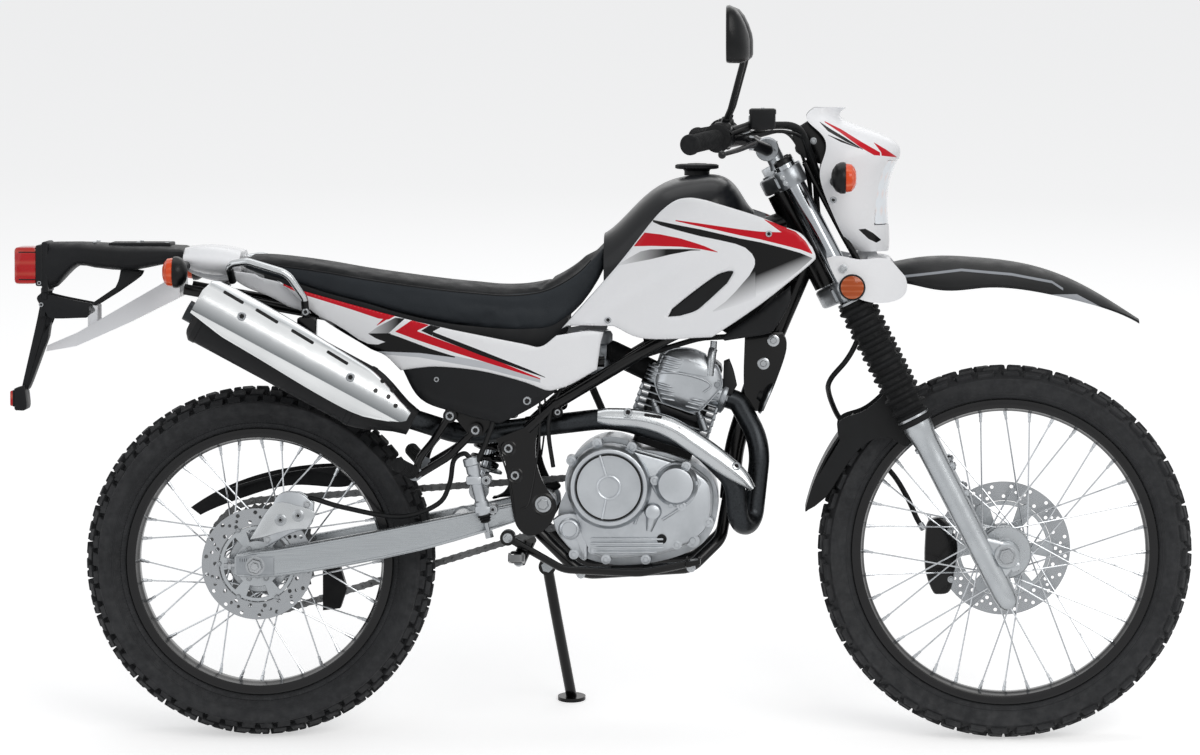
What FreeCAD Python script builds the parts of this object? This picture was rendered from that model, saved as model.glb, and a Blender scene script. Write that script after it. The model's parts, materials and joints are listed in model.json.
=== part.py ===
import FreeCAD, Part
import math
import os

# A dual sport motorcycle, parked: it leans to its left on its side stand.
# Every piece is modelled on the upright machine and then set down leaning.
# Upright axes: X forward from the rear axle, Y to the left, Z up from the ground.

doc = FreeCAD.newDocument("DualSportMotorcycle")
sheet = doc.addObject("Spreadsheet::Sheet", "Sizes")

SIZES = {
    "wheelbase": 1360,
    "rake_angle": 27.2,
    "fork_trail": 105,
    "lean_angle": 9,
    "origin_ahead": 622,
    "origin_left": 199,
    "front_radius": 341,
    "front_tyre_width": 80,
    "front_lug_pitches": 22,
    "front_shoulder_turn": 27,
    "front_tyre_section": 75,
    "front_rim_width": 56,
    "front_hub_flange": 48,
    "front_flange_offset": 30,
    "rear_radius": 320.5,
    "rear_tyre_width": 120,
    "rear_lug_pitches": 24,
    "rear_shoulder_turn": 36,
    "lug_height": 8,
    "rear_tyre_section": 89.5,
    "rear_rim_width": 72,
    "rear_hub_flange": 56,
    "rear_flange_offset": 34,
    "rim_flange_height": 13,
    "rim_depth": 9,
    "rim_wall": 4,
    "seat_gap": 0.25,
    "crown_radius": 64,
    "spoke_count": 36,
    "spoke_radius": 1.7,
    "axle_radius": 8,
    "fork_spread": 98,
    "leg_offset": 27,
    "stem_radius": 14,
    "clamp_height": 34,
    "stanchion_radius": 18,
    "fork_lower_radius": 22,
    "fork_flare_radius": 27,
    "boot_radius": 35,
    "boot_ridges": 9,
    "bar_radius": 11.1,
    "grip_radius": 16,
    "light_tube": 10,
    "swingarm_pivot_x": 522,
    "swingarm_pivot_z": 432,
    "swingarm_spread": 108,
    "front_disc_radius": 122.5,
    "rear_disc_radius": 101.5,
    "disc_thickness": 4,
    "front_disc_y": 62,
    "rear_disc_y": 80,
    "chain_y": 76,
    "chain_width": 16,
    "chain_rise": 5,
    "sprocket_thickness": 6,
    "sprocket_radius": 100,
    "drive_sprocket_radius": 32,
    "drive_sprocket_x": 590,
    "drive_sprocket_z": 432,
    "chain_links": 52,
    "disc_holes": 24,
    "panel_wall": 4,
    "header_radius": 19,
    "muffler_height": 114,
    "muffler_width": 96,
    "muffler_y": 163,
    "stand_pivot_x": 520,
    "stand_pivot_y": 118,
    "stand_pivot_z": 300,
}

for row, (alias, value) in enumerate(SIZES.items(), start=1):
    sheet.set("A%d" % row, alias.replace("_", " "))
    sheet.set("B%d" % row, str(value))
    sheet.setAlias("B%d" % row, alias)
# The rims follow the wheels: a tyre keeps the height of its section.
for which in ("front", "rear"):
    row += 1
    sheet.set("A%d" % row, which + " seat radius")
    sheet.set("B%d" % row, "=%s_radius - %s_tyre_section" % (which, which))
    sheet.setAlias("B%d" % row, which + "_seat_radius")
doc.recompute()


def size(alias):
    return float(sheet.get(alias))


def vec(x, y, z):
    return FreeCAD.Vector(x, y, z)


X_AXIS = vec(1, 0, 0)
Y_AXIS = vec(0, 1, 0)
Z_AXIS = vec(0, 0, 1)

# The leaning machine: its ground line is turned about X, lifted until the
# rounded tyres touch the floor, and shifted to put the row's origin below it.
LEAN = size("lean_angle")
LIFT = size("crown_radius") * (1 - math.cos(math.radians(LEAN)))
leaned = FreeCAD.Placement(
    vec(-size("origin_ahead"), -size("origin_left"), LIFT),
    FreeCAD.Rotation(X_AXIS, -LEAN),
)

# The steering head's own frame: z up the steering axis, x forward across it.
RAKE = size("rake_angle")
STEER_FOOT = size("wheelbase") + size("fork_trail")
raked = FreeCAD.Placement(
    vec(STEER_FOOT, 0, 0),
    FreeCAD.Rotation(Y_AXIS, -RAKE),
)
steered = leaned.multiply(raked)
# What steers is drawn from the front axle's foot, so it follows the wheelbase.
fronted = leaned.multiply(
    FreeCAD.Placement(vec(size("wheelbase"), 0, 0), FreeCAD.Rotation())
)
raked_fore = FreeCAD.Placement(
    vec(size("fork_trail"), 0, 0),
    FreeCAD.Rotation(Y_AXIS, -RAKE),
)


def to_steering(x, y, z):
    """A point of the upright machine, in the steering head's own frame."""
    return raked.inverse().multVec(vec(x, y, z))


FRONT_AXLE = to_steering(size("wheelbase"), 0, size("front_radius"))
AXLE_LEAD = FRONT_AXLE.x
AXLE_HEIGHT = FRONT_AXLE.z


def leg_height(z):
    """How far up the fork leg a height of the upright machine lies."""
    lean = math.radians(RAKE)
    return (z - size("leg_offset") * math.sin(lean)) / math.cos(lean)


nodes = []


def keep(item, label, placement=leaned):
    """Make a finished object a sub-part: its name and its place."""
    item.Label = label
    item.Placement = placement
    nodes.append(item)
    return item


def bind(item, **cells):
    for name, expression in cells.items():
        item.setExpression(name, expression)
    return item


def shaped(name, shape):
    item = doc.addObject("Part::Feature", name)
    item.Shape = shape
    return item


def turned_to(start, direction):
    """Placement whose z axis runs along a direction."""
    return FreeCAD.Placement(start, FreeCAD.Rotation(Z_AXIS, direction))


def rod(name, start, end, radius):
    """A round bar between two points, its radius an expression of the sheet."""
    bar = doc.addObject("Part::Cylinder", name)
    bar.Height = (end - start).Length
    bar.Placement = turned_to(start, end - start)
    return bind(bar, Radius=radius)


def spun(name, start, end, radius, bore):
    """A round bar with a bore right through."""
    outer = rod(name + "Outer", start, end, radius)
    inner = rod(name + "Bore", start, end, bore)
    return cut(name, outer, inner)


def cut(name, base, *tools):
    item = base
    for index, tool in enumerate(tools):
        label = name if index == len(tools) - 1 else "%sStep%d" % (name, index)
        step = doc.addObject("Part::Cut", label)
        step.Base = item
        step.Tool = tool
        item = step
    return item


def fuse(name, *pieces):
    item = doc.addObject("Part::MultiFuse", name)
    item.Shapes = list(pieces)
    item.Refine = True
    return item


def group(name, *pieces):
    item = doc.addObject("Part::Compound", name)
    item.Links = list(pieces)
    return item


def common(name, first, second):
    item = doc.addObject("Part::Common", name)
    item.Base = first
    item.Tool = second
    return item


def mirrored(name, source):
    """The same piece on the other side of the machine."""
    item = doc.addObject("Part::Mirroring", name)
    item.Source = source
    item.Base = vec(0, 0, 0)
    item.Normal = Y_AXIS
    return item


def curve_edges(points):
    """A line through two points, or one smooth curve through more."""
    if len(points) == 2:
        return Part.LineSegment(points[0], points[1]).toShape()
    spline = Part.BSplineCurve()
    spline.interpolate(points)
    return spline.toShape()


def closed_wire(stretches, place):
    """A closed outline: each stretch goes on from where the last one ended."""
    runs = [list(stretches[0])]
    for stretch in stretches[1:]:
        runs.append([runs[-1][-1]] + list(stretch))
    if runs[-1][-1] != runs[0][0]:
        runs.append([runs[-1][-1], runs[0][0]])
    return Part.Wire([curve_edges([place(*point) for point in run]) for run in runs])


def side_slab(name, stretches, y_low, y_high):
    """A solid whose side view is the outline, between two widths."""
    wire = closed_wire(stretches, lambda x, z: vec(x, y_low, z))
    profile = shaped(name + "Outline", Part.Face(wire))
    slab = doc.addObject("Part::Extrusion", name)
    slab.Base = profile
    slab.DirMode = "Custom"
    slab.Dir = Y_AXIS
    slab.LengthFwd = y_high - y_low
    slab.Solid = True
    return slab


def curved_wall(name, plan, z_low, z_high, flare, wall):
    """A thin upright wall along a plan curve; flare moves its top sideways."""
    def band(z, shift):
        outer = [vec(x, y + shift, z) for x, y in plan]
        inner = [vec(x, y + shift + wall, z) for x, y in plan]
        inner.reverse()
        edges = [
            curve_edges(outer),
            curve_edges([outer[-1], inner[0]]),
            curve_edges(inner),
            curve_edges([inner[-1], outer[0]]),
        ]
        return Part.Wire(edges)
    loft = Part.makeLoft([band(z_low, 0), band(z_high, flare)], True, True)
    return shaped(name, loft)


def panel(name, stretches, plan, flare, levels=None, wall="panel_wall"):
    """A moulded panel on the right: a side outline cut from a curved wall."""
    zs = [point[1] for stretch in stretches for point in stretch]
    low, high = levels or (min(zs) - 20, max(zs) + 20)
    skin = curved_wall(name + "Wall", plan, low, high, flare, size(wall))
    ys = [point[1] for point in plan] + [point[1] + flare for point in plan]
    slab = side_slab(name + "Cutter", stretches, min(ys) - 10, max(ys) + 20)
    return common(name, skin, slab)


def route(points, bends=None):
    """A path of straight runs joined by tangent arcs.

    Without bends, each arc is as large as the shorter of its two runs allows.
    """
    edges = []
    here = points[0]
    for index in range(1, len(points) - 1):
        back = points[index - 1] - points[index]
        ahead = points[index + 1] - points[index]
        shorter = min(back.Length, ahead.Length)
        back.normalize()
        ahead.normalize()
        half_turn = (math.pi - back.getAngle(ahead)) / 2
        if bends:
            radius = bends[index - 1]
            reach = radius * math.tan(half_turn)
        else:
            reach = 0.45 * shorter
            radius = reach / math.tan(half_turn)
        start = points[index] + back * reach
        end = points[index] + ahead * reach
        sagitta = radius / math.cos(half_turn) - radius
        middle = points[index] + (back + ahead).normalize() * sagitta
        if (start - here).Length > 0.01:
            edges.append(Part.LineSegment(here, start).toShape())
        edges.append(Part.Arc(start, middle, end).toShape())
        here = end
    edges.append(Part.LineSegment(here, points[-1]).toShape())
    return Part.Wire(edges)


def pipe(name, points, radius, bends=None):
    """A round tube swept along a bent route."""
    points = [vec(*point) for point in points]
    spine = shaped(name + "Path", route(points, bends))
    ring = doc.addObject("Part::Circle", name + "Ring")
    ring.Placement = turned_to(points[0], points[1] - points[0])
    bind(ring, Radius=radius)
    tube = doc.addObject("Part::Sweep", name)
    tube.Sections = [ring]
    tube.Spine = (spine, ["Edge%d" % (n + 1) for n in range(len(spine.Shape.Edges))])
    tube.Solid = True
    tube.Frenet = False
    return tube


def smooth_ring(points):
    spline = Part.BSplineCurve()
    spline.interpolate(points, PeriodicFlag=True)
    return Part.Wire(spline.toShape())


def oval_section(x, z_bottom, z_top, half_width, square=0.78):
    """A rounded section across the machine, widest at its middle height."""
    middle = (z_top + z_bottom) / 2
    half = (z_top - z_bottom) / 2
    corner_y = half_width * square
    corner_z = half * square
    outline = [
        (0, -half), (corner_y, -corner_z), (half_width, 0), (corner_y, corner_z),
        (0, half), (-corner_y, corner_z), (-half_width, 0), (-corner_y, -corner_z),
    ]
    return smooth_ring([vec(x, y, middle + z) for y, z in outline])


def lofted(name, sections, ruled=False):
    return shaped(name, Part.makeLoft(sections, True, ruled))


def turned(name, profile, centre, axis=Y_AXIS):
    """A body turned about the wheel's axle: profile points are radius, side."""
    points = [centre + X_AXIS * radius + Y_AXIS * side for radius, side in profile]
    wire = Part.makePolygon(points + [points[0]])
    source = shaped(name + "Profile", Part.Face(wire))
    body = doc.addObject("Part::Revolution", name)
    body.Source = source
    body.Base = centre
    body.Axis = axis
    body.Angle = 360
    body.Solid = True
    return body


# Wheels: tyre, rim, and a hub whose spokes cross three times.

def facet(*corners):
    return Part.Face(Part.makePolygon(list(corners) + [corners[0]]))


LUG_ROWS = (0, 0.34, 0.5, 0.84)  # where a pitch's two rows start and end
TREAD_EDGE = (0.66, 0.6)  # how far up the tyre's height its tread ends, on a lug and between
EDGE_INSET = 5  # the floor between lugs is narrower by this on each side
FLANK = (0.14, 4)  # the flank's foot above the rim: a share of the height, and outwards


def lugged_tyre(which, centre):
    """A tyre in flat facets: a carcass with two staggered rows of lugs a pitch."""
    radius = size(which + "_radius")
    half = size(which + "_tyre_width") / 2
    crown = size("crown_radius")
    seat = size(which + "_seat_radius") + size("seat_gap")
    bead = size(which + "_rim_width") / 2 - size("rim_wall") - size("seat_gap")
    flange = size(which + "_seat_radius") + size("rim_flange_height") + 1
    height = radius - seat
    pitches = int(size(which + "_lug_pitches"))
    # Flats between the rings' corners still clear the round rim.
    widened = 1 / math.cos(math.pi / (2 * pitches))
    turns = [math.radians(LEAN), math.radians(size(which + "_shoulder_turn"))]

    def station(depth, edge):
        """Radial and side places across the tread, at a depth below its top."""
        right = [
            (radius - crown + (crown - depth) * math.cos(turn), (crown - depth) * math.sin(turn))
            for turn in turns
        ] + [edge]
        return [(radial, -side) for radial, side in reversed(right)] + right

    top = station(0, (seat + TREAD_EDGE[0] * height, half))
    floor = station(size("lug_height"), (seat + TREAD_EDGE[1] * height, half - EDGE_INSET))
    foot = (flange * widened + FLANK[0] * height, bead + FLANK[1])
    wall = [(seat * widened, bead), (flange * widened, bead), foot]

    def spot(place, way):
        # The middle of a centre lug stands on the ground.
        turn = math.radians(360 / pitches * (way - LUG_ROWS[1] / 2) - 90)
        radial, side = place
        return centre + vec(radial * math.cos(turn), side, radial * math.sin(turn))

    def band(low, high, start, end):
        return facet(spot(low, start), spot(high, start), spot(high, end), spot(low, end))

    faces = []
    for pitch in range(pitches):
        ways = [pitch + share for share in LUG_ROWS] + [pitch + 1]
        for start, middle, end in (ways[0:3], ways[2:5]):
            faces.append(band((seat * widened, -bead), (seat * widened, bead), start, end))
            for hand in (-1, 1):
                ring = [(radial, hand * side) for radial, side in wall]
                faces.append(band(ring[0], ring[1], start, end))
                faces.append(band(ring[1], ring[2], start, end))
                edge = floor[-1] if hand > 0 else floor[0]
                faces.append(facet(spot(ring[2], start), spot(ring[2], end), spot(edge, middle)))
                faces.append(facet(spot(ring[2], start), spot(edge, start), spot(edge, middle)))
                faces.append(facet(spot(ring[2], end), spot(edge, middle), spot(edge, end)))
        for slot in range(len(LUG_ROWS)):
            start, end = ways[slot], ways[slot + 1]
            for across in range(len(floor) - 1):
                low, high = floor[across], floor[across + 1]
                if slot % 2 or (across + slot // 2) % 2:
                    faces.append(band(low, high, start, end))
                    continue
                low_top, high_top = top[across], top[across + 1]
                faces.append(band(low_top, high_top, start, end))
                faces.append(band(low, low_top, start, end))
                faces.append(band(high, high_top, start, end))
                for way in (start, end):
                    faces.append(facet(spot(low, way), spot(low_top, way), spot(high_top, way), spot(high, way)))
    shell = Part.Shell(faces)
    shell.sewShape()
    solid = Part.Solid(shell)
    if solid.Volume < 0:
        solid.reverse()
    return shaped(which.title() + "Tyre", solid)


def rim_profile(which):
    seat = size(which + "_seat_radius")
    half = size(which + "_rim_width") / 2
    wall = size("rim_wall")
    flange = seat + size("rim_flange_height")
    inner = seat - size("rim_depth")
    return [
        (inner, -half * 0.45), (seat - wall, -half), (flange, -half),
        (flange, -half + wall), (seat, -half + wall),
        (seat, half - wall), (flange, half - wall), (flange, half),
        (seat - wall, half), (inner, half * 0.45),
    ]


def spokes(which, centre):
    """Laced spokes from the hub's flanges to the rim."""
    count = int(size("spoke_count"))
    hub = size(which + "_hub_flange") - 4
    offset = size(which + "_flange_offset")
    rim = size(which + "_seat_radius") - size("rim_depth") - 3 * size("seat_gap")
    bars = []
    for index in range(count):
        flange = 1 if index % 2 else -1
        pulls = 1 if (index // 2) % 2 else -1
        rim_turn = 360 / count * index
        hub_turn = rim_turn + pulls * 58
        head = offset * flange + 5 * pulls * flange
        lean = math.radians(hub_turn)
        far = math.radians(rim_turn)
        start = centre + vec(hub * math.cos(lean), head, hub * math.sin(lean))
        reach = vec(rim * math.cos(far), 6.5 * flange, rim * math.sin(far))
        end = centre + reach
        bar = doc.addObject("Part::Prism", "%sSpoke%d" % (which.title(), index))
        bar.Polygon = 6
        bar.Height = (end - start).Length
        bar.Placement = turned_to(start, end - start)
        bind(bar, Circumradius="Sizes.spoke_radius")
        bars.append(bar)
    return bars


def hub_profile(which, left, right):
    flange = size(which + "_hub_flange")
    offset = size(which + "_flange_offset")
    bore = size("axle_radius") + 1
    return [
        (bore, -right), (flange * 0.45, -right), (flange * 0.52, -offset - 9),
        (flange, -offset - 9), (flange, -offset + 9),
        (flange * 0.56, -offset + 14), (flange * 0.56, offset - 14),
        (flange, offset - 9), (flange, offset + 9), (flange * 0.52, offset + 9),
        (flange * 0.45, left), (bore, left),
    ]


DRILL_RADIUS = 3.5
DRILL_ROWS = (20, 9)  # how far inside the disc's edge each row of holes lies


def disc(name, centre, side, radius, inner):
    """A brake disc, drilled in two staggered rows round its braking band."""
    half = size("disc_thickness") / 2
    profile = [
        (inner, side - half), (radius, side - half),
        (radius, side + half), (inner, side + half),
    ]
    count = int(size("disc_holes"))
    drills = []
    for index in range(count):
        turn = math.radians(360 / count * index)
        reach = radius - DRILL_ROWS[index % 2]
        way = vec(math.cos(turn), 0, math.sin(turn)) * reach
        base = centre + way + Y_AXIS * (side - 2 * half)
        drills.append(Part.makeCylinder(DRILL_RADIUS, 4 * half, base, Y_AXIS))
    return cut(name, turned(name + "Blank", profile, centre), shaped(name + "Drills", Part.makeCompound(drills)))


rear_centre = vec(0, 0, size("rear_radius"))
front_centre = vec(size("wheelbase"), 0, size("front_radius"))

for which, centre in (("front", front_centre), ("rear", rear_centre)):
    title = which.title()
    keep(lugged_tyre(which, centre), which + "_tyre")
    keep(turned(title + "Rim", rim_profile(which), centre), which + "_rim")

front_hub_body = turned("FrontHubBody", hub_profile("front", 56, 56), front_centre)
keep(fuse("FrontHub", front_hub_body, *spokes("front", front_centre)), "front_hub")
rear_hub_body = turned("RearHubBody", hub_profile("rear", 70, 70), rear_centre)
keep(fuse("RearHub", rear_hub_body, *spokes("rear", rear_centre)), "rear_hub")

front_disc = disc(
    "FrontDisc", front_centre, size("front_disc_y"), size("front_disc_radius"), 30
)
keep(front_disc, "front_disc")
rear_disc = disc(
    "RearDisc", rear_centre, -size("rear_disc_y"), size("rear_disc_radius"), 32
)
keep(rear_disc, "rear_disc")
sprocket_left = size("chain_y") + size("sprocket_thickness") / 2
sprocket_right = size("chain_y") - size("sprocket_thickness") / 2
sprocket = turned(
    "RearSprocket",
    [
        (34, sprocket_right), (size("sprocket_radius"), sprocket_right),
        (size("sprocket_radius"), sprocket_left), (34, sprocket_left),
    ],
    rear_centre,
)
keep(sprocket, "rear_sprocket")

# Chain: one fixed loop round both sprockets.

PIN_EDGES = (8, -4)  # a link's outer and inner edge at a pin, from the pitch line
WAIST_EDGES = (5.4, -1.8)  # and between two pins
CHAIN_SLACK = 0.4


def chain_course():
    """Both pitch radii, the sprockets' distance, and the runs' slope and taper."""
    big = size("sprocket_radius") + size("chain_rise")
    small = size("drive_sprocket_radius") + size("chain_rise")
    ahead = size("drive_sprocket_x")
    up = size("drive_sprocket_z") - rear_centre.z
    span = math.hypot(ahead, up)
    return big, small, span, math.atan2(up, ahead), math.asin((big - small) / span)


def chain_point(centre, radius, turn):
    return centre + vec(math.cos(turn), 0, math.sin(turn)) * radius


drive_centre = vec(size("drive_sprocket_x"), 0, size("drive_sprocket_z"))


def chain_loop(grow):
    """The loop's side outline, at a distance from the pitch line."""
    big, small, span, slope, taper = chain_course()
    upper, lower = slope + math.pi / 2 - taper, slope - math.pi / 2 + taper
    high_back = chain_point(rear_centre, big + grow, upper)
    high_front = chain_point(drive_centre, small + grow, upper)
    low_back = chain_point(rear_centre, big + grow, lower)
    low_front = chain_point(drive_centre, small + grow, lower)
    back = chain_point(rear_centre, big + grow, slope + math.pi)
    nose = chain_point(drive_centre, small + grow, slope)
    edges = [
        Part.LineSegment(high_back, high_front).toShape(),
        Part.Arc(high_front, nose, low_front).toShape(),
        Part.LineSegment(low_front, low_back).toShape(),
        Part.Arc(low_back, back, high_back).toShape(),
    ]
    wire = Part.Wire(edges)
    wire.translate(vec(0, size("chain_y") - size("chain_width") / 2, 0))
    return wire


def chain_band(grow, margin):
    """The room that the chain takes, with a margin all round it."""
    width = size("chain_width") + 2 * margin
    outer = Part.Face(chain_loop(PIN_EDGES[0] + grow)).extrude(vec(0, width, 0))
    inner = Part.Face(chain_loop(PIN_EDGES[1] - CHAIN_SLACK - grow)).extrude(vec(0, width, 0))
    band = outer.cut(inner)
    band.translate(vec(0, -margin, 0))
    return band


def along_chain(share, grow):
    """A point of the loop, a share of the way round it and moved outwards."""
    big, small, span, slope, taper = chain_course()
    run = span * math.cos(taper)
    over = small * (math.pi - 2 * taper)
    way = share * (2 * run + over + big * (math.pi + 2 * taper))
    front = drive_centre + Y_AXIS * size("chain_y")
    back = rear_centre + Y_AXIS * size("chain_y")
    upper, lower = slope + math.pi / 2 - taper, slope - math.pi / 2 + taper
    if way < run:
        part = way / run
        return chain_point(back, big + grow, upper) * (1 - part) + chain_point(front, small + grow, upper) * part
    way -= run
    if way < over:
        return chain_point(front, small + grow, upper - way / small)
    way -= over
    if way < run:
        part = way / run
        return chain_point(front, small + grow, lower) * (1 - part) + chain_point(back, big + grow, lower) * part
    return chain_point(back, big + grow, lower - (way - run) / big)


def chain_links():
    """The loop as link plates: full at each pin and waisted between pins."""
    count = 2 * int(size("chain_links"))
    faces = []
    for pin, waist in zip(PIN_EDGES, WAIST_EDGES):
        points = [along_chain(index / count, waist if index % 2 else pin) for index in range(count)]
        faces.append(facet(*points))
    band = faces[0].cut(faces[1])
    band.translate(vec(0, -size("chain_width") / 2, 0))
    return band.extrude(vec(0, size("chain_width"), 0))


keep(shaped("Chain", chain_links()), "chain")

# Frame: head tube, backbone, cradle, rails and pivot plates.

CLAMP_LOW = leg_height(808)
CLAMP_HIGH = leg_height(1012)
HEAD_LOW = CLAMP_LOW + size("clamp_height") + 3
HEAD_HIGH = CLAMP_HIGH - 3


def on_axis(height):
    """A point of the steering axis in the upright machine."""
    return raked.multVec(vec(0, 0, height))


HEAD_X = on_axis(HEAD_HIGH - 55).x
BACKBONE = [(HEAD_X, 0, 948), (HEAD_X - 118, 0, 905), (600, 0, 769)]
head_tube = rod("HeadTube", on_axis(HEAD_LOW), on_axis(HEAD_HIGH), "28")
head_bore = rod(
    "HeadBore", on_axis(HEAD_LOW - 5), on_axis(HEAD_HIGH + 5), "Sizes.stem_radius + 0.05"
)
backbone = pipe("Backbone", BACKBONE, "21", [160])
keep(
    cut("FrameBackbone", fuse("BackboneRaw", head_tube, backbone), head_bore),
    "frame_backbone",
)


def cradle(side, name):
    """A lower tube: from the downtube's foot, under the engine, to the pivot plate."""
    y = side * 98
    return pipe(
        name,
        [
            (858, side * 8, 452), (843, side * 66, 368), (790, y, 318), (590, y, 306),
            (505, y, 390),
        ],
        "Sizes.light_tube + 1",
        [50, 40, 60],
    )


downtube = pipe(
    "Downtube",
    [(HEAD_X + 26, 0, 884), (HEAD_X - 23, 0, 770), (900, 0, 640), (866, 0, 530), (858, 0, 436)],
    "18",
    [400, 400, 300],
)


def plate(side, name):
    """The plate that holds the swingarm's pivot."""
    outline = [
        [(436, 551), (517, 583)],
        [(512, 500), (544, 440)],
        [(534, 396), (502, 376), (472, 397)],
        [(462, 450), (455, 500), (436, 551)],
    ]
    low = side * 106 - 5
    return side_slab(name, outline, low, low + 10)


plate_right = plate(-1, "PlateRight")
plate_left = plate(1, "PlateLeft")
cradle_raw = fuse("CradleRaw", downtube, cradle(1, "CradleLeft"), cradle(-1, "CradleRight"))
head_space = rod("HeadSpace", on_axis(HEAD_LOW - 9), on_axis(HEAD_HIGH), "28.1")
keep(cut("FrameCradle", cradle_raw, head_space, plate_right, plate_left), "frame_cradle")


def rail(side, name):
    """A main tube from a pivot plate up and forward to the downtube."""
    return pipe(
        name,
        [(492, side * 104, 568), (540, side * 102, 612), (733, side * 84, 727), (HEAD_X - 2, side * 14, 846)],
        "Sizes.light_tube + 1",
        [60, 120],
    )


rail_right = cut("RailTubeRight", rail(-1, "RailRightRaw"), downtube)
rail_left = cut("RailTubeLeft", rail(1, "RailLeftRaw"), downtube)
keep(
    group(
        "FrameRails",
        fuse("RailRight", rail_right, plate_right),
        fuse("RailLeft", rail_left, plate_left),
    ),
    "frame_rails",
)


def seat_rail(side, name):
    y = side * 84
    return pipe(
        name,
        [(632, y, 690), (520, y, 690), (120, y, 775), (-132, y * 0.85, 820)],
        "Sizes.light_tube",
        [150, 300],
    )


def hanger_tab(side, name):
    """The plate under the stay that carries the passenger's footrest."""
    outline = [
        [(346, 648), (343, 586)], [(364, 586)], [(388, 557)], [(412, 557)], [(432, 584)],
        [(424, 612)], [(372, 630)],
    ]
    low = side * 99.5 - 2.5
    return side_slab(name, outline, low, low + 5)


def panel_post(side, name, x, z, reach):
    """A short post from the seat rail to the back of the side panel."""
    return rod(name, vec(x, side * 84, z), vec(x, side * reach, z), "7")


def stay(side, name):
    return pipe(
        name,
        [(448, side * 102, 594), (372, side * 100, 620), (262, side * 88, 735)],
        "Sizes.light_tube - 1",
        [80],
    )


keep(
    fuse(
        "Subframe",
        seat_rail(-1, "SeatRailRight"), seat_rail(1, "SeatRailLeft"),
        stay(-1, "StayRight"), stay(1, "StayLeft"),
        hanger_tab(-1, "TabRight"), hanger_tab(1, "TabLeft"),
        panel_post(-1, "PostRearRight", 200, 758, 123.3), panel_post(1, "PostRearLeft", 200, 758, 123.3),
        panel_post(-1, "PostFrontRight", 420, 711, 138.4), panel_post(1, "PostFrontLeft", 420, 711, 138.4),
        rod("ShockTube", vec(476, -84, 703), vec(476, 84, 703), "8"),
        rod("CrossTubeRear", vec(-60, -78, 807), vec(-60, 78, 807), "9"),
    ),
    "subframe",
)

# Swingarm: two box arms, a pivot tube, a cross tube and the wheel's axle.

PIVOT = vec(size("swingarm_pivot_x"), 0, size("swingarm_pivot_z"))


def arm_height(share):
    """How high an arm's middle lies, at a share of the way from axle to pivot."""
    return rear_centre.z + share * (PIVOT.z - rear_centre.z)


def arm(side, name):
    """A box arm that is deepest at its middle."""
    sections = []
    wide = size("swingarm_spread")
    for x, y, share, half_height, half_width in (
        (-38, wide, 0, 20, 13), (40, wide, 0.05, 26, 13),
        (300, wide - 6, 0.48, 26, 14), (520, 84, 0.99, 15, 10),
    ):
        y = y * side
        z = arm_height(share)
        corners = [
            vec(x, y - half_width, z - half_height), vec(x, y + half_width, z - half_height),
            vec(x, y + half_width, z + half_height), vec(x, y - half_width, z + half_height),
        ]
        sections.append(Part.makePolygon(corners + [corners[0]]))
    return lofted(name, sections, True)


keep(
    fuse(
        "Swingarm",
        arm(-1, "ArmRight"), arm(1, "ArmLeft"),
        rod("PivotTube", PIVOT - Y_AXIS * 100.7, PIVOT + Y_AXIS * 100.7, "18"),
        rod("CrossTube", vec(368, -100, arm_height(0.64)), vec(368, 100, arm_height(0.64)), "19"),
        rod("RearAxle", rear_centre - Y_AXIS * 134, rear_centre + Y_AXIS * 134, "Sizes.axle_radius"),
        rod("AxleNutRight", rear_centre - Y_AXIS * 134, rear_centre - Y_AXIS * 119, "15"),
        rod("AxleNutLeft", rear_centre + Y_AXIS * 119, rear_centre + Y_AXIS * 134, "15"),
    ),
    "swingarm",
)
upper_eye = spun("ShockUpperEye", vec(476, -14, 703), vec(476, 14, 703), "17", "8.2")
shock_body = cut(
    "ShockTopped",
    rod("ShockBody", vec(405, 0, 470), vec(474, 0, 694), "20"),
    rod("ShockTubeSpace", vec(476, -40, 703), vec(476, 40, 703), "8.2"),
)
keep(
    fuse(
        "Shock",
        shock_body,
        rod("ShockSpring", vec(412, 0, 495), vec(456, 0, 650), "33"),
        rod("ShockLowerEye", vec(400, -18, 450), vec(400, 18, 450), "18"),
        upper_eye,
        rod("ShockShank", vec(400, 0, 452), vec(410, 0, 487), "10"),
    ),
    "shock_absorber",
)

# Engine: one closed block with its covers, finned cylinder and head.

case_outline = [
    [(562, 452), (571, 508), (600, 540), (700, 530)],
    [(760, 520), (800, 505)],
    [(828, 480), (838, 430), (828, 385), (800, 352)],
    [(752, 332), (716, 324), (626, 324), (575, 345)],
    [(552, 380), (548, 415), (562, 452)],
]
CYLINDER_LEAN = math.degrees(math.atan2(786 - 722, 680 - 488))
cylinder_place = FreeCAD.Placement(vec(735, 0, 527), FreeCAD.Rotation(Y_AXIS, CYLINDER_LEAN))
deck = doc.addObject("Part::Box", "DeckSpace")
deck.Length = 170
deck.Width = 160
deck.Height = 60
deck.Placement = cylinder_place.multiply(
    FreeCAD.Placement(vec(-85, -80, 0), FreeCAD.Rotation())
)
CASE_LEFT = size("chain_y") - size("chain_width") / 2 - 4
case_block = cut("CaseBlock", side_slab("CaseSlab", case_outline, -76, CASE_LEFT), deck)
DRIVE = vec(size("drive_sprocket_x"), 0, size("drive_sprocket_z"))
keep(
    fuse(
        "Crankcase",
        case_block,
        rod("DriveShaft", DRIVE + Y_AXIS * (CASE_LEFT - 4), DRIVE + Y_AXIS * 84, "13"),
        rod("DriveSprocket", DRIVE + Y_AXIS * 73, DRIVE + Y_AXIS * 79, "Sizes.drive_sprocket_radius"),
    ),
    "crankcase",
)

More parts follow.
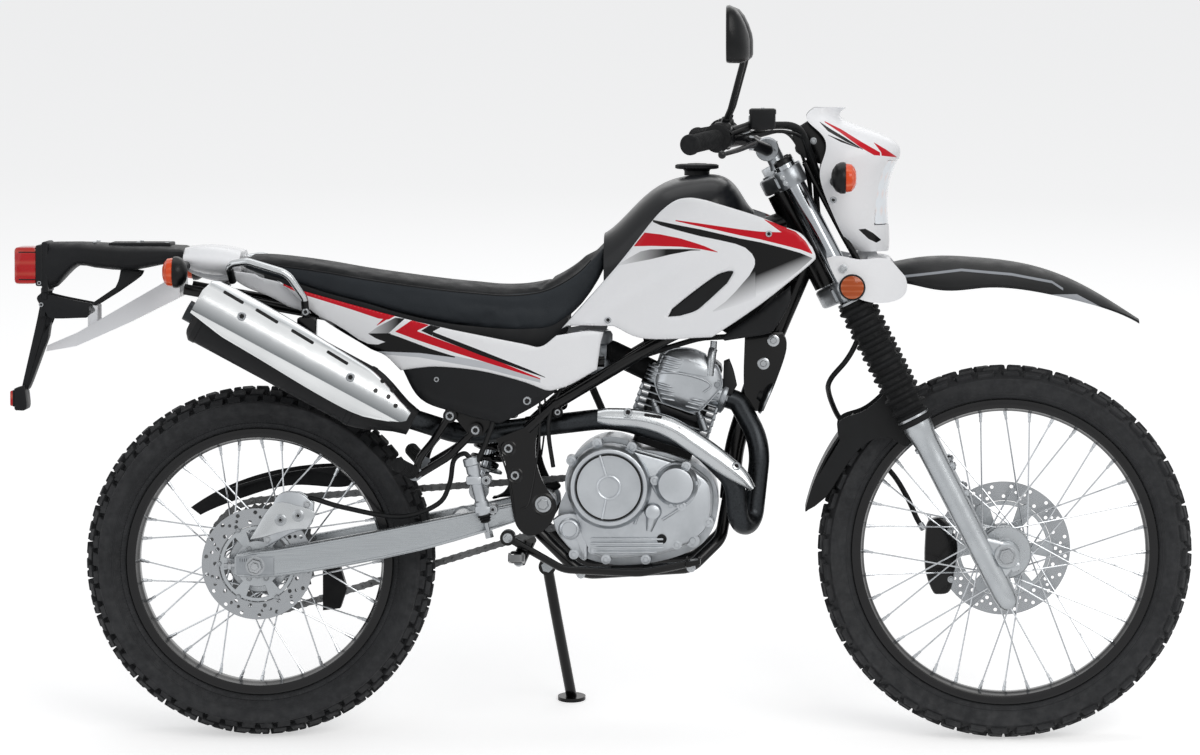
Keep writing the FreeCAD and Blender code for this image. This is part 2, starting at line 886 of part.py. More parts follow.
right_cover = side_slab(
    "ClutchCoverBase",
    [
        [(585, 470), (592, 520), (642, 541), (700, 526)],
        [(750, 512), (795, 495)],
        [(822, 470), (826, 430), (816, 390), (785, 362)],
        [(740, 345), (690, 338), (620, 340), (592, 370)],
        [(583, 400), (580, 440), (585, 470)],
    ],
    -122, -76,
)
clutch = rod("ClutchDome", vec(642, -148, 466), vec(642, -121, 466), "66")
filter_cover = rod("FilterCover", vec(763, -150, 470), vec(763, -121, 470), "31")
left_cover = side_slab(
    "GeneratorCoverBase",
    [
        [(644, 470), (660, 512), (720, 518)],
        [(780, 500), (812, 460), (805, 390), (760, 350)],
        [(700, 345), (656, 380), (644, 470)],
    ],
    CASE_LEFT, 112,
)
generator = rod("GeneratorDome", vec(728, 111, 432), vec(728, 132, 432), "62")
keep(
    group(
        "EngineCovers",
        fuse("RightCover", right_cover, clutch, filter_cover),
        fuse("LeftCover", left_cover, generator),
    ),
    "engine_covers",
)


def rounded_block(name, length, width, low, high, corner):
    """A block with rounded upright edges, in the cylinder's own frame."""
    block = doc.addObject("Part::Box", name + "Block")
    block.Length = length
    block.Width = width
    block.Height = high - low
    block.Placement = FreeCAD.Placement(vec(-length / 2, -width / 2, low), FreeCAD.Rotation())
    doc.recompute()
    uprights = [
        (index + 1, corner, corner)
        for index, edge in enumerate(block.Shape.Edges)
        if abs(edge.tangentAt(edge.FirstParameter).z) > 0.99
    ]
    rounded = doc.addObject("Part::Fillet", name)
    rounded.Base = block
    rounded.Edges = uprights
    return rounded


fins = []
for index in range(8):
    low = 22 + index * 12.2
    fins.append(rounded_block("Fin%d" % index, 150, 132, low, low + 3, 18))
barrel = rounded_block("Barrel", 112, 100, 0, 112, 14)
head = rounded_block("Head", 132, 120, 112, 146, 16)
cam_box = rounded_block("CamBox", 118, 112, 146, 184, 20)
port = doc.addObject("Part::Cylinder", "ExhaustPort")
port.Radius = 26
port.Height = 34
port.Placement = FreeCAD.Placement(vec(40, -34, 128), FreeCAD.Rotation(Y_AXIS, 90))
cylinder_stack = fuse("CylinderStack", barrel, head, cam_box, port, *fins)
cylinder_stack.Placement = cylinder_place
cylinder_whole = group("CylinderUpright", cylinder_stack)
keep(group("Cylinder", cylinder_whole), "cylinder")
PORT_FACE = cylinder_place.multVec(vec(74, -34, 128))
PORT_OUT = cylinder_place.multVec(vec(104, -34, 128))
head_back = cylinder_place.multVec(vec(-66.3, 0, 129))
intake = fuse(
    "IntakeWhole",
    rod("InletPipe", head_back, vec(612, 0, 703), "21"),
    rod("Carburettor", vec(612, 0, 664), vec(612, 0, 744), "33"),
    rod("AirDuct", vec(612, 0, 704), vec(528, 0, 716), "28"),
)
keep(cut("Intake", intake, cylinder_whole), "intake")

# Exhaust: header loops down the front of the engine and back along its side.

MUFFLER_FRONT = vec(243, -size("muffler_y"), 606)
MUFFLER_REAR = vec(-90, -size("muffler_y"), 785)
MUFFLER_AXIS = (MUFFLER_REAR - MUFFLER_FRONT).normalize()
NOSE_INBOARD = 31
NOSE_TIP = MUFFLER_FRONT - MUFFLER_AXIS * 50 + Y_AXIS * NOSE_INBOARD
header = pipe(
    "Header",
    [
        tuple(PORT_FACE), tuple(PORT_OUT), (916, -60, 540), (900, -72, 392),
        (876, -124, 400), (868, -128, 478), (800, -116, 545), (650, -100, 590),
        (530, -70, 574), (410, -64, 558), (362, -69, 559), tuple(NOSE_TIP + vec(-6, -5, 3)),
    ],
    "Sizes.header_radius",
    [24, 120, 30, 28, 60, 130, 200, 200, 120, 60],
)
muffler_up = Y_AXIS.cross(MUFFLER_AXIS).normalize()
if muffler_up.z < 0:
    muffler_up = muffler_up * -1


def muffler_section(along, scale, inboard=0):
    """A rounded section across the muffler's own axis."""
    centre = MUFFLER_FRONT + MUFFLER_AXIS * along + Y_AXIS * inboard
    half = size("muffler_height") / 2 * scale
    wide = size("muffler_width") / 2 * scale
    shape = [
        (0, -half), (wide * 0.8, -half * 0.8), (wide, 0), (wide * 0.8, half * 0.8),
        (0, half), (-wide * 0.8, half * 0.8), (-wide, 0), (-wide * 0.8, -half * 0.8),
    ]
    return smooth_ring([centre + Y_AXIS * y + muffler_up * u for y, u in shape])


muffler_length = (MUFFLER_REAR - MUFFLER_FRONT).Length
can = lofted(
    "MufflerCan",
    [muffler_section(0, 1.0), muffler_section(muffler_length - 8, 1.0)],
    True,
)
nose = lofted("MufflerNose", [muffler_section(0, 1.0), muffler_section(-50, 0.44, NOSE_INBOARD)], True)
cap = lofted(
    "MufflerCap",
    [muffler_section(muffler_length - 8, 1.0), muffler_section(muffler_length + 8, 0.8)],
    True,
)
muffler = fuse("MufflerWhole", can, nose, cap)
exhaust_pipe = cut("ExhaustPipe", header, muffler, cylinder_whole)
keep(exhaust_pipe, "exhaust_pipe")
keep(group("Muffler", muffler), "muffler")

muffler_shield = panel(
    "MufflerShield",
    [
        [(-108, 786), (-72, 836), (-52, 838)],
        [(-20, 822), (60, 778), (162, 716), (213, 685)],
        [(232, 668), (262, 634), (290, 604)],
        [(285, 596), (270, 590), (250, 590)],
        [(190, 604), (120, 640), (20, 700), (-48, 740)],
        [(-108, 786)],
    ],
    [(-120, -222), (60, -224), (300, -216)],
    0,
)
pipe_shield = panel(
    "PipeShield",
    [
        [(621, 608), (662, 610), (743, 601), (806, 561), (878, 513)],
        [(905, 466), (896, 459)],
        [(869, 471), (806, 520), (734, 570), (662, 576), (635, 581)],
        [(621, 608)],
    ],
    [(600, -152), (760, -156), (920, -154)],
    0,
)
keep(group("ExhaustShields", muffler_shield, pipe_shield), "exhaust_shields")

# Tank, seat and body panels.

SEAT_NOSE = 630
TANK_START = SEAT_NOSE + 0.3
TANK_NOSE = 902


def tank_section(share, z_bottom, z_top, half_width, square=0.78):
    """A section of the tank, at a share of the way from the seat to its nose."""
    x = TANK_START + share * (TANK_NOSE - TANK_START)
    return oval_section(x, z_bottom, z_top, half_width, square)


tank = lofted(
    "Tank",
    [
        tank_section(0, 800, 921, 80), tank_section(0.128, 806, 950, 96),
        tank_section(0.367, 830, 1008, 116), tank_section(0.625, 848, 1027, 124),
        tank_section(0.827, 868, 1019, 104), tank_section(0.926, 884, 988, 74, 0.7),
        tank_section(1, 904, 962, 44, 0.7),
    ],
)
keep(cut("FuelTank", tank, pipe("BackboneTunnel", BACKBONE, "24", [160])), "fuel_tank")
cap_centre = vec(798, 0, 1024)
keep(
    fuse(
        "FuelCap",
        rod("CapNeck", cap_centre + vec(0, 0, 4), cap_centre + vec(0, 0, 16), "23"),
        rod("CapTop", cap_centre + vec(0, 0, 14), cap_centre + vec(0, 0, 25), "39"),
    ),
    "fuel_cap",
)

shroud_outline = [
    [(609, 811), (663, 874), (713, 939)],
    [(735, 964), (762, 984), (789, 989), (816, 985)],
    [(909, 957), (951, 940), (987, 926), (1008, 901)],
    [(1014, 885), (1008, 874), (969, 841), (924, 805), (879, 773), (828, 739)],
    [(708, 735), (650, 757)],
    [(575, 757), (555, 751)],
    [(582, 781), (609, 811)],
]
shroud_plan = [(520, -112), (640, -136), (760, -164), (900, -186), (1040, -192)]
shroud_slot = side_slab(
    "ShroudSlot",
    [
        [(749, 775), (756, 789)],
        [(789, 816), (834, 849), (857, 858)],
        [(866, 856), (855, 836)],
        [(816, 800), (798, 786), (771, 777)],
        [(749, 775)],
    ],
    -260, -60,
)
shroud_right = cut("ShroudRight", panel("ShroudSkin", shroud_outline, shroud_plan, 26), shroud_slot)
keep(group("TankShrouds", shroud_right, mirrored("ShroudLeft", shroud_right)), "tank_shrouds")

lower_right = panel(
    "LowerCoverRight",
    [
        [(842, 737), (900, 776), (969, 830)],
        [(968, 800), (940, 752), (920, 742)],
        [(851, 731), (842, 737)],
    ],
    [(820, -138), (980, -146)],
    10,
)
# Below the seat: white side panels, with black covers tucked in behind their lower edge.

FLANK_LEVELS = (540, 860)
FLANK_FLARE = -6
side_plan = [(0, -112), (200, -124), (420, -140), (560, -134), (660, -118)]
TUCK = size("panel_wall") + 0.3
cover_plan = [(x, y + TUCK) for x, y in side_plan]
side_cover_right = panel(
    "SideCoverRight",
    [
        [(262, 690), (301, 624), (373, 598), (445, 580)],
        [(500, 608), (548, 640)],
        [(544, 656), (527, 655)],
        [(482, 671), (409, 690), (337, 697), (301, 695), (262, 690)],
    ],
    cover_plan, FLANK_FLARE, FLANK_LEVELS,
)
keep(
    group(
        "LowerCovers",
        lower_right, mirrored("LowerCoverLeft", lower_right),
        side_cover_right, mirrored("SideCoverLeft", side_cover_right),
    ),
    "lower_covers",
)

side_outline = [
    [(40, 838), (85, 820), (256, 774), (355, 751)],
    [(482, 726), (518, 720), (547, 740)],
    [(600, 748), (632, 746)],
    [(626, 723), (620, 678)],
    [(572, 651), (541, 641), (527, 641)],
    [(482, 658), (409, 676), (337, 683), (301, 681), (265, 676)],
    [(238, 702), (211, 714)],
    [(120, 770), (40, 838)],
]
side_right = panel("SidePanelRight", side_outline, side_plan, FLANK_FLARE, FLANK_LEVELS)
keep(group("SidePanels", side_right, mirrored("SidePanelLeft", side_right)), "side_panels")


def seat_section(x, bottom, top, half_width, crown):
    """Flat below, full at its sides and gently crowned above."""
    low = [(-half_width * 0.94, bottom), (half_width * 0.94, bottom)]
    points = [
        (half_width, bottom + (top - bottom) * 0.45),
        (half_width * 0.86, top - crown),
        (half_width * 0.45, top - crown * 0.18),
        (0, top),
        (-half_width * 0.45, top - crown * 0.18),
        (-half_width * 0.86, top - crown),
        (-half_width, bottom + (top - bottom) * 0.45),
    ]
    base = Part.LineSegment(vec(x, low[0][0], low[0][1]), vec(x, low[1][0], low[1][1])).toShape()
    arch = curve_edges([vec(x, y, z) for y, z in [low[1]] + points + [low[0]]])
    return Part.Wire([base, arch])


seat = lofted(
    "Seat",
    [
        seat_section(-30, 862, 882, 78, 8), seat_section(73, 828, 877, 96, 14),
        seat_section(200, 792, 856, 102, 16), seat_section(347, 756, 837, 104, 18),
        seat_section(450, 748, 827, 98, 18), seat_section(540, 752, 840, 88, 18),
        seat_section(585, 790, 868, 80, 18), seat_section(SEAT_NOSE, 862, 914, 66, 14),
    ],
)
keep(seat, "seat")

# Tail: white cowl and fender, black carrier, lamps and rails.

tail_cowl = lofted(
    "TailCowl",
    [
        oval_section(-132, 858, 893, 96), oval_section(-100, 846, 896, 104),
        oval_section(-30, 848, 886, 98),
    ],
)
keep(tail_cowl, "tail_cowl")
tail_body = lofted(
    "TailBody",
    [
        oval_section(-392, 815, 903, 48), oval_section(-330, 862, 904, 62),
        oval_section(-240, 852, 900, 74), oval_section(-140, 872, 897, 88),
    ],
)
licence_arm = side_slab(
    "LicenceArm",
    [
        [(-384, 838), (-330, 876)], [(-300, 862)], [(-303, 768)], [(-372, 761)], [(-420, 650)],
        [(-423, 601)], [(-449, 601)], [(-449, 634)], [(-430, 655)], [(-398, 768)],
    ],
    -36, 36,
)
TAIL_PARTS = [tail_body, licence_arm]


def flap_section(x, bottom, top, half_width):
    corners = [
        vec(x, -half_width, bottom), vec(x, -half_width * 0.7, top),
        vec(x, half_width * 0.7, top), vec(x, half_width, bottom),
    ]
    return Part.makePolygon(corners + [corners[0]])


rear_fender = lofted(
    "RearFender",
    [
        flap_section(-386, 706, 716, 62), flap_section(-330, 716, 740, 70),
        flap_section(-240, 756, 792, 78), flap_section(-160, 796, 838, 82),
        flap_section(-140, 806, 850, 84),
    ],
    True,
)
inner_fender = lofted(
    "InnerFender",
    [
        flap_section(-139, 770, 792, 66), flap_section(-60, 772, 797.7, 66),
        flap_section(60, 742, 764, 66), flap_section(190, 690, 712, 62),
    ],
    True,
)
tail_bracket = fuse("TailBracketRaw", *TAIL_PARTS)
keep(cut("RearFenderCut", rear_fender, licence_arm, tail_body), "rear_fender")
keep(group("TailBracket", tail_bracket, inner_fender), "tail_bracket")
lamp = doc.addObject("Part::Box", "TailLamp")
lamp.Length = 54
lamp.Width = 92
lamp.Height = 70
lamp.Placement = FreeCAD.Placement(vec(-447, -46, 827), FreeCAD.Rotation())
reflector = doc.addObject("Part::Box", "RearReflector")
reflector.Length = 8
reflector.Width = 60
reflector.Height = 30
reflector.Placement = FreeCAD.Placement(vec(-457.3, -30, 603), FreeCAD.Rotation())
keep(group("RearLamps", lamp, reflector), "rear_lamps")


def signal(name, x, y, z, side, stalk_end, back):
    """A winker: stalk, round body and domed lens facing out along X."""
    centre = vec(x, side * y, z)
    body = rod(name + "Body", centre, centre + X_AXIS * back * 26, "29")
    lens = rod(name + "Lens", centre - X_AXIS * back * 20, centre, "27")
    stalk = rod(name + "Stalk", centre + X_AXIS * back * 13, vec(*stalk_end), "7")
    return fuse(name, body, lens, stalk)


keep(
    group(
        "RearSignals",
        signal("RearSignalRight", -141, 178, 855, -1, (-128, -108, 862), 1),
        signal("RearSignalLeft", -141, 178, 855, 1, (-128, 108, 862), 1),
    ),
    "rear_signals",
)


def grab_rail(side, name):
    return pipe(
        name,
        [
            (-40, side * 112, 836), (-46, side * 142, 868), (-10, side * 150, 874),
            (62, side * 148, 852), (92, side * 136, 806), (94, side * 132, 774),
        ],
        "6.5",
        [16, 20, 40, 20],
    )


keep(group("GrabRails", grab_rail(-1, "GrabRailRight"), grab_rail(1, "GrabRailLeft")), "grab_rails")

# Pegs, pedals and rear brake.

def rider_peg(side, name):
    return fuse(
        name,
        rod(name + "Bar", vec(478, side * 120, 330), vec(474, side * 222, 344), "14"),
        rod(name + "Bracket", vec(488, side * 112, 352), vec(478, side * 126, 330), "13"),
    )


pedal = fuse(
    "BrakePedal",
    pipe(
        "PedalArm",
        [(462, -134, 372), (560, -150, 318), (700, -156, 312), (790, -150, 330)],
        "7",
        [60, 120],
    ),
    rod("PedalPad", vec(794, -170, 333), vec(794, -130, 333), "11"),
    rod("PedalPivot", vec(459, -144, 374), vec(459, -112, 374), "14"),
)
shifter = fuse(
    "ShiftLever",
    pipe("ShiftArm", [(612, 132, 352), (700, 150, 334), (762, 150, 334)], "6", [40]),
    rod("ShiftPad", vec(764, 134, 335), vec(764, 178, 335), "10"),
    rod("ShiftShaft", vec(610, CASE_LEFT + 0.3, 352), vec(610, 138, 352), "8"),
)


def passenger_peg(side, name):
    hanger = rod(name + "Hanger", vec(354, side * 124, 594), vec(292, side * 138, 490), "7")
    brace = rod(name + "Brace", vec(400, side * 120, 568), vec(292, side * 138, 484), "7")
    upper = rod(name + "UpperBoss", vec(354, side * 102.3, 594), vec(354, side * 130, 594), "8.5")
    lower = rod(name + "LowerBoss", vec(400, side * 102.3, 568), vec(400, side * 126, 568), "8.5")
    return fuse(
        name,
        hanger,
        brace,
        upper,
        lower,
        rod(name + "Peg", vec(290, side * 132, 490), vec(262, side * 200, 512), "13"),
    )


keep(
    group(
        "Footrests",
        rider_peg(-1, "RiderPegRight"), rider_peg(1, "RiderPegLeft"),
        pedal, shifter,
        passenger_peg(-1, "PassengerPegRight"), passenger_peg(1, "PassengerPegLeft"),
    ),
    "footrests",
)


def disc_space(name, centre, side, radius):
    """The room a turning disc needs inside its caliper."""
    reach = size("disc_thickness") / 2 + 2
    axis = Y_AXIS * (side - reach)
    return rod(name, centre + axis, centre + axis + Y_AXIS * 2 * reach, radius)


rear_caliper = side_slab(
    "RearCaliperBlock",
    [
        [(18, 352), (34, 440), (74, 452), (104, 432)],
        [(98, 392), (60, 376), (18, 352)],
    ],
    -size("rear_disc_y") - 13, -size("rear_disc_y") + 13,
)
keep(
    group(
        "RearBrake",
        rod("MasterCylinder", vec(396, -134, 500), vec(420, -134, 400), "13"),
        cut(
            "RearCaliper",
            rear_caliper,
            disc_space("RearDiscSpace", rear_centre, -size("rear_disc_y"), "Sizes.rear_disc_radius + 3"),
        ),
    ),
    "rear_brake",
)

CHAIN_OUT = size("chain_y") + size("chain_width") / 2
chain_guard = fuse(
    "ChainGuard",
    side_slab(
        "GuardPlate",
        [
            [(-138, 410), (-40, 462), (70, 488), (170, 492)],
            [(170, 462), (70, 452), (-30, 432), (-120, 396)],
            [(-138, 410)],
        ],
        CHAIN_OUT + 4, CHAIN_OUT + 7,
    ),
    side_slab(
        "GuardTop",
        [
            [(-60, 449), (20, 472), (90, 484), (166, 487)],
            [(166, 483), (90, 480), (20, 468), (-60, 445)],
            [(-60, 449)],
        ],
        CHAIN_OUT - 22, CHAIN_OUT + 5,
    ),
)
chain_room = shaped("ChainRoom", chain_band(1.5, 1.5))
chain_guide = cut(
    "ChainGuide",
    side_slab(
        "GuideBlock",
        [[(108, 222), (108, 300)], [(140, 302)], [(152, 262)], [(140, 226)]],
        CHAIN_OUT - size("chain_width") - 5, CHAIN_OUT + 10.7,
    ),
    chain_room,
)
sprocket_cover = side_slab(
    "SprocketCover",
    [
        [(556, 440), (566, 490), (590, 500)], [(628, 484)], [(636, 440)],
        [(630, 396)], [(600, 376)], [(566, 384)],
    ],
    CHAIN_OUT + 3, CHAIN_OUT + 22,
)
keep(group("ChainGuards", chain_guard, chain_guide, sprocket_cover), "chain_guards")

# Steering: clamps, fork, handlebar, lamps and fender.

LEG = size("leg_offset")
SPREAD = size("fork_spread")


def clamp(name, low, high):
    """A triple clamp, its two leg bosses joined across the steering stem."""
    outline = [
        vec(LEG + 28, -SPREAD, low), vec(LEG + 28, SPREAD, low),
        vec(LEG - 4, SPREAD + 26, low), vec(LEG - 26, SPREAD, low),
        vec(-30, 28, low), vec(-30, -28, low),
        vec(LEG - 26, -SPREAD, low), vec(LEG - 4, -SPREAD - 26, low),
    ]
    block = shaped(
        name + "Block",
        Part.Face(Part.makePolygon(outline + [outline[0]])).extrude(vec(0, 0, high - low)),
    )
    return block


def leg_rod(name, side, low, high, radius):
    y = side * SPREAD
    return rod(name, vec(LEG, y, low), vec(LEG, y, high), radius)


CLAMP = size("clamp_height")
clamp_low = clamp("LowerClamp", CLAMP_LOW, CLAMP_LOW + CLAMP)
clamp_high = clamp("UpperClamp", CLAMP_HIGH, CLAMP_HIGH + CLAMP - 4)
clamp_bores = [
    leg_rod("ClampBore%d" % index, side, CLAMP_LOW - 20, CLAMP_HIGH + 80, "Sizes.stanchion_radius + 0.1")
    for index, side in enumerate((-1, 1))
]
stem = rod("Stem", vec(0, 0, CLAMP_LOW), vec(0, 0, CLAMP_HIGH + 36), "Sizes.stem_radius")
keep(
    fuse(
        "TripleClamps",
        cut("LowerClampBored", clamp_low, *clamp_bores),
        cut("UpperClampBored", clamp_high, *clamp_bores),
        stem,
    ),
    "triple_clamps",
    steered,
)
LOWER_TOP = leg_height(600)
LOWER_FOOT = leg_height(246)
STANCHION_TOP = leg_height(1058)
keep(
    group(
        "ForkTubes",
        leg_rod("StanchionRight", -1, LOWER_TOP + 0.2, STANCHION_TOP, "Sizes.stanchion_radius"),
        leg_rod("StanchionLeft", 1, LOWER_TOP + 0.2, STANCHION_TOP, "Sizes.stanchion_radius"),
    ),
    "fork_tubes",
    steered,
)
BOOT_LOW = LOWER_TOP - 22
BOOT_HIGH = CLAMP_LOW - 3


def boot(side, name):
    """A ribbed rubber boot over the upper leg."""
    ridges = int(size("boot_ridges"))
    outer = size("boot_radius")
    wall = 3
    neck = size("fork_flare_radius") + 0.3
    pitch = (BOOT_HIGH - BOOT_LOW - 24) / ridges
    outside = [(neck, BOOT_LOW), (neck + wall, BOOT_LOW), (neck + wall, BOOT_LOW + 20)]
    for index in range(ridges):
        low = BOOT_LOW + 20 + index * pitch
        outside.append((outer, low + pitch * 0.5))
        outside.append((outer - 6, low + pitch))
    outside.append((outer - 6, BOOT_HIGH))
    inside = [(size("stanchion_radius") + 0.3, BOOT_HIGH), (size("stanchion_radius") + 0.3, BOOT_HIGH - 4)]
    inside.append((neck, BOOT_HIGH - 4))
    points = [vec(LEG + radius, side * SPREAD, z) for radius, z in outside + inside]
    source = shaped(name + "Profile", Part.Face(Part.makePolygon(points + [points[0]])))
    body = doc.addObject("Part::Revolution", name)
    body.Source = source
    body.Base = vec(LEG, side * SPREAD, 0)
    body.Axis = Z_AXIS
    body.Angle = 360
    body.Solid = True
    return body


keep(group("ForkBoots", boot(-1, "BootRight"), boot(1, "BootLeft")), "fork_boots", steered)


def fork_lower(side, name):
    y = side * SPREAD
    lug = rod(
        name + "AxleLug",
        vec(AXLE_LEAD, y - 15, AXLE_HEIGHT), vec(AXLE_LEAD, y + 15, AXLE_HEIGHT), "24",
    )
    web = doc.addObject("Part::Box", name + "Web")
    web.Length = AXLE_LEAD - LEG
    web.Width = 24
    web.Height = 84
    web.Placement = FreeCAD.Placement(vec(LEG, y - 12, AXLE_HEIGHT - 42), FreeCAD.Rotation())
    return [
        leg_rod(name + "Tube", side, LOWER_FOOT, LOWER_TOP, "Sizes.fork_lower_radius"),
        leg_rod(name + "Flare", side, LOWER_TOP - 30, LOWER_TOP, "Sizes.fork_flare_radius"),
        lug,
        web,
    ]


front_axle = rod(
    "FrontAxle", vec(AXLE_LEAD, -124, AXLE_HEIGHT), vec(AXLE_LEAD, 124, AXLE_HEIGHT),
    "Sizes.axle_radius",
)
keep(
    fuse("ForkLowers", front_axle, *fork_lower(-1, "LowerRight"), *fork_lower(1, "LowerLeft")),
    "fork_lowers",
    steered,
)

# Handlebar, with its risers, grips and controls, drawn from the front axle's foot.

AXLE_POINT = vec(0, 0, size("front_radius"))
bar = pipe(
    "Bar",
    [
        (-567, -402, 1089), (-494, -224, 1104), (-434, -96, 1074),
        (-434, 96, 1074), (-494, 224, 1104), (-567, 402, 1089),
    ],
    "Sizes.bar_radius",
    [60, 60, 60, 60],
)


def riser(side, name):
    return fuse(
        name,
        rod(name + "Post", vec(-412, side * 50, 1044), vec(-426, side * 50, 1070), "15"),
        rod(name + "Cap", vec(-434, side * 65, 1074), vec(-434, side * 35, 1074), "20"),
    )


keep(fuse("Handlebar", bar, riser(-1, "RiserRight"), riser(1, "RiserLeft")), "handlebar", fronted)


def along_bar(side, share):
    """A point on the straight outer end of the bar; share 0 is its tip."""
    return vec(-567 + 48 * share, side * (402 - 117.04 * share), 1089 + 9.863 * share)


def sleeve(name, side, start, end, radius):
    clearance = "Sizes.bar_radius + 0.1"
    return spun(name, along_bar(side, start), along_bar(side, end), radius, clearance)


def grip(side, name):
    tip = rod(name + "Tip", along_bar(side, -0.06), along_bar(side, -0.005), "Sizes.grip_radius")
    body = sleeve(name + "Body", side, -0.006, 0.92, "Sizes.grip_radius")
    flange = sleeve(name + "Flange", side, 0.92, 0.97, "Sizes.grip_radius + 8")
    return fuse(name, tip, body, flange)


keep(group("Grips", grip(-1, "GripRight"), grip(1, "GripLeft")), "grips", fronted)


def lever(side, name):
    return pipe(
        name,
        [
            (-488, side * 262, 1094), (-458, side * 280, 1089), (-480, side * 340, 1080),
            (-512, side * 412, 1072),
        ],
        "6",
        [14, 120],
    )


def control(side, name):
    housing = sleeve(name + "Housing", side, 0.98, 1.28, "21")
    return fuse(name, housing, lever(side, name + "Lever"))


reservoir = doc.addObject("Part::Box", "Reservoir")
reservoir.Length = 46
reservoir.Width = 56
reservoir.Height = 38
reservoir.Placement = FreeCAD.Placement(vec(-464, -268, 1113), FreeCAD.Rotation())
reservoir_neck = rod("ReservoirNeck", vec(-446, -243, 1128), vec(-491, -256, 1109), "7")
keep(
    group(
        "HandControls",
        fuse("RightControl", control(-1, "ControlRight"), reservoir_neck, reservoir),
        control(1, "ControlLeft"),
    ),
    "hand_controls",
    fronted,
)


def mirror(side, name):
    stem = pipe(
        name + "Stem",
        [
            (-509, side * 262, 1124.4), (-498, side * 276, 1150), (-474, side * 322, 1240),
            (-480, side * 400, 1272),
        ],
        "5",
        [60, 40],
    )
    sections = []
    for x, scale in ((-464, 0.55), (-476, 0.95), (-498, 1.0), (-504, 0.94)):
        shape = [
            (0, -50), (44, -44), (60, 0), (48, 44), (0, 52), (-48, 44), (-60, 0), (-44, -44),
        ]
        sections.append(
            smooth_ring([vec(x, side * 412 + y * scale, 1282 + z * scale) for y, z in shape])
        )
    return fuse(name, stem, lofted(name + "Head", sections, True))


keep(group("Mirrors", mirror(-1, "MirrorRight"), mirror(1, "MirrorLeft")), "mirrors", fronted)

gauge = doc.addObject("Part::Box", "GaugeCase")
gauge.Length = 40
gauge.Width = 104
gauge.Height = 68
gauge.Placement = FreeCAD.Placement(vec(-388, -52, 1072), FreeCAD.Rotation(Y_AXIS, 30))
keep(group("Gauge", gauge), "gauge", fronted)


def cowl_section(z, front, rear, half_width):
    """A plan section of the headlight cowl: round in front, open behind."""
    depth = front - rear
    points = [
        (rear, -half_width), (rear + depth * 0.5, -half_width * 0.98),
        (front - depth * 0.1, -half_width * 0.6), (front, 0),
        (front - depth * 0.1, half_width * 0.6), (rear + depth * 0.5, half_width * 0.98),
        (rear, half_width),
    ]
    arch = curve_edges([vec(x, y, z) for x, y in points])
    back = Part.LineSegment(vec(rear, half_width, z), vec(rear, -half_width, z)).toShape()
    return Part.Wire([arch, back])


COWL_LEVELS = (
    (890, -213, -268, 66), (930, -212, -302, 92), (985, -214, -326, 112),
    (1040, -202, -338, 122), (1066, -192, -330, 120), (1105, -232, -338, 98),
    (1150, -288, -348, 58),
)
wall = size("panel_wall")
cowl_outer = lofted("CowlOuter", [cowl_section(*level) for level in COWL_LEVELS])
cowl_inner = lofted(
    "CowlInner",
    [cowl_section(z, front - wall, rear - 12, half - wall) for z, front, rear, half in COWL_LEVELS],
)
lens_window = doc.addObject("Part::Box", "LensWindow")
lens_window.Length = 80
lens_window.Width = 168
lens_window.Height = 118
lens_window.Placement = FreeCAD.Placement(vec(-240, -84, 938), FreeCAD.Rotation())
keep(cut("HeadlightCowl", cowl_outer, cowl_inner, lens_window), "headlight_cowl", fronted)

lens_shell = lofted(
    "LensShell",
    [cowl_section(z, front - 1, rear - 12, half - 1) for z, front, rear, half in COWL_LEVELS],
)
lens_block = doc.addObject("Part::Box", "LensBlock")
lens_block.Length = 70
lens_block.Width = 164
lens_block.Height = 114
lens_block.Placement = FreeCAD.Placement(vec(-238, -82, 940), FreeCAD.Rotation())
keep(common("HeadlightLens", lens_shell, lens_block), "headlight_lens", fronted)

keep(
    group(
        "FrontSignals",
        signal("FrontSignalRight", -293, 190, 1026, -1, (-310, -127, 1020), -1),
        signal("FrontSignalLeft", -293, 190, 1026, 1, (-310, 127, 1020), -1),
    ),
    "front_signals",
    fronted,
)


def arched(x, z_low, z_high, half_width, droop):
    """A section of the fender: a thin arch across the machine."""
    outer = [
        vec(x, -half_width, z_high - droop), vec(x, -half_width * 0.7, z_high - droop * 0.4),
        vec(x, 0, z_high), vec(x, half_width * 0.7, z_high - droop * 0.4),
        vec(x, half_width, z_high - droop),
    ]
    thick = z_high - z_low
    inner = [point - Z_AXIS * thick for point in outer]
    inner.reverse()
    edges = [
        curve_edges(outer), curve_edges([outer[-1], inner[0]]),
        curve_edges(inner), curve_edges([inner[-1], outer[0]]),
    ]
    return Part.Wire(edges)


blade = lofted(
    "FenderBlade",
    [
        arched(-210, 862, 868, 66, 30), arched(-170, 870, 876, 76, 40), arched(-130, 874, 880, 90, 52),
        arched(-45, 871, 877, 92, 46), arched(40, 860, 865, 84, 40),
        arched(140, 824, 828, 66, 26), arched(242, 762, 766, 30, 4),
    ],
)
GUARD_OUT = SPREAD - size("fork_flare_radius") - 3.9
guard_web = doc.addObject("Part::Revolution", "GuardWeb")
web_points = [
    AXLE_POINT + X_AXIS * radius + Y_AXIS * side
    for radius, side in ((368, -GUARD_OUT), (372, -GUARD_OUT), (372, GUARD_OUT), (368, GUARD_OUT))
]
web_face = Part.Face(Part.makePolygon(web_points + [web_points[0]]))
web_face.rotate(AXLE_POINT, Y_AXIS, -138)
guard_web.Source = shaped("GuardWebSection", web_face)
guard_web.Base = AXLE_POINT
guard_web.Axis = Y_AXIS
guard_web.Angle = -30
guard_web.Solid = True
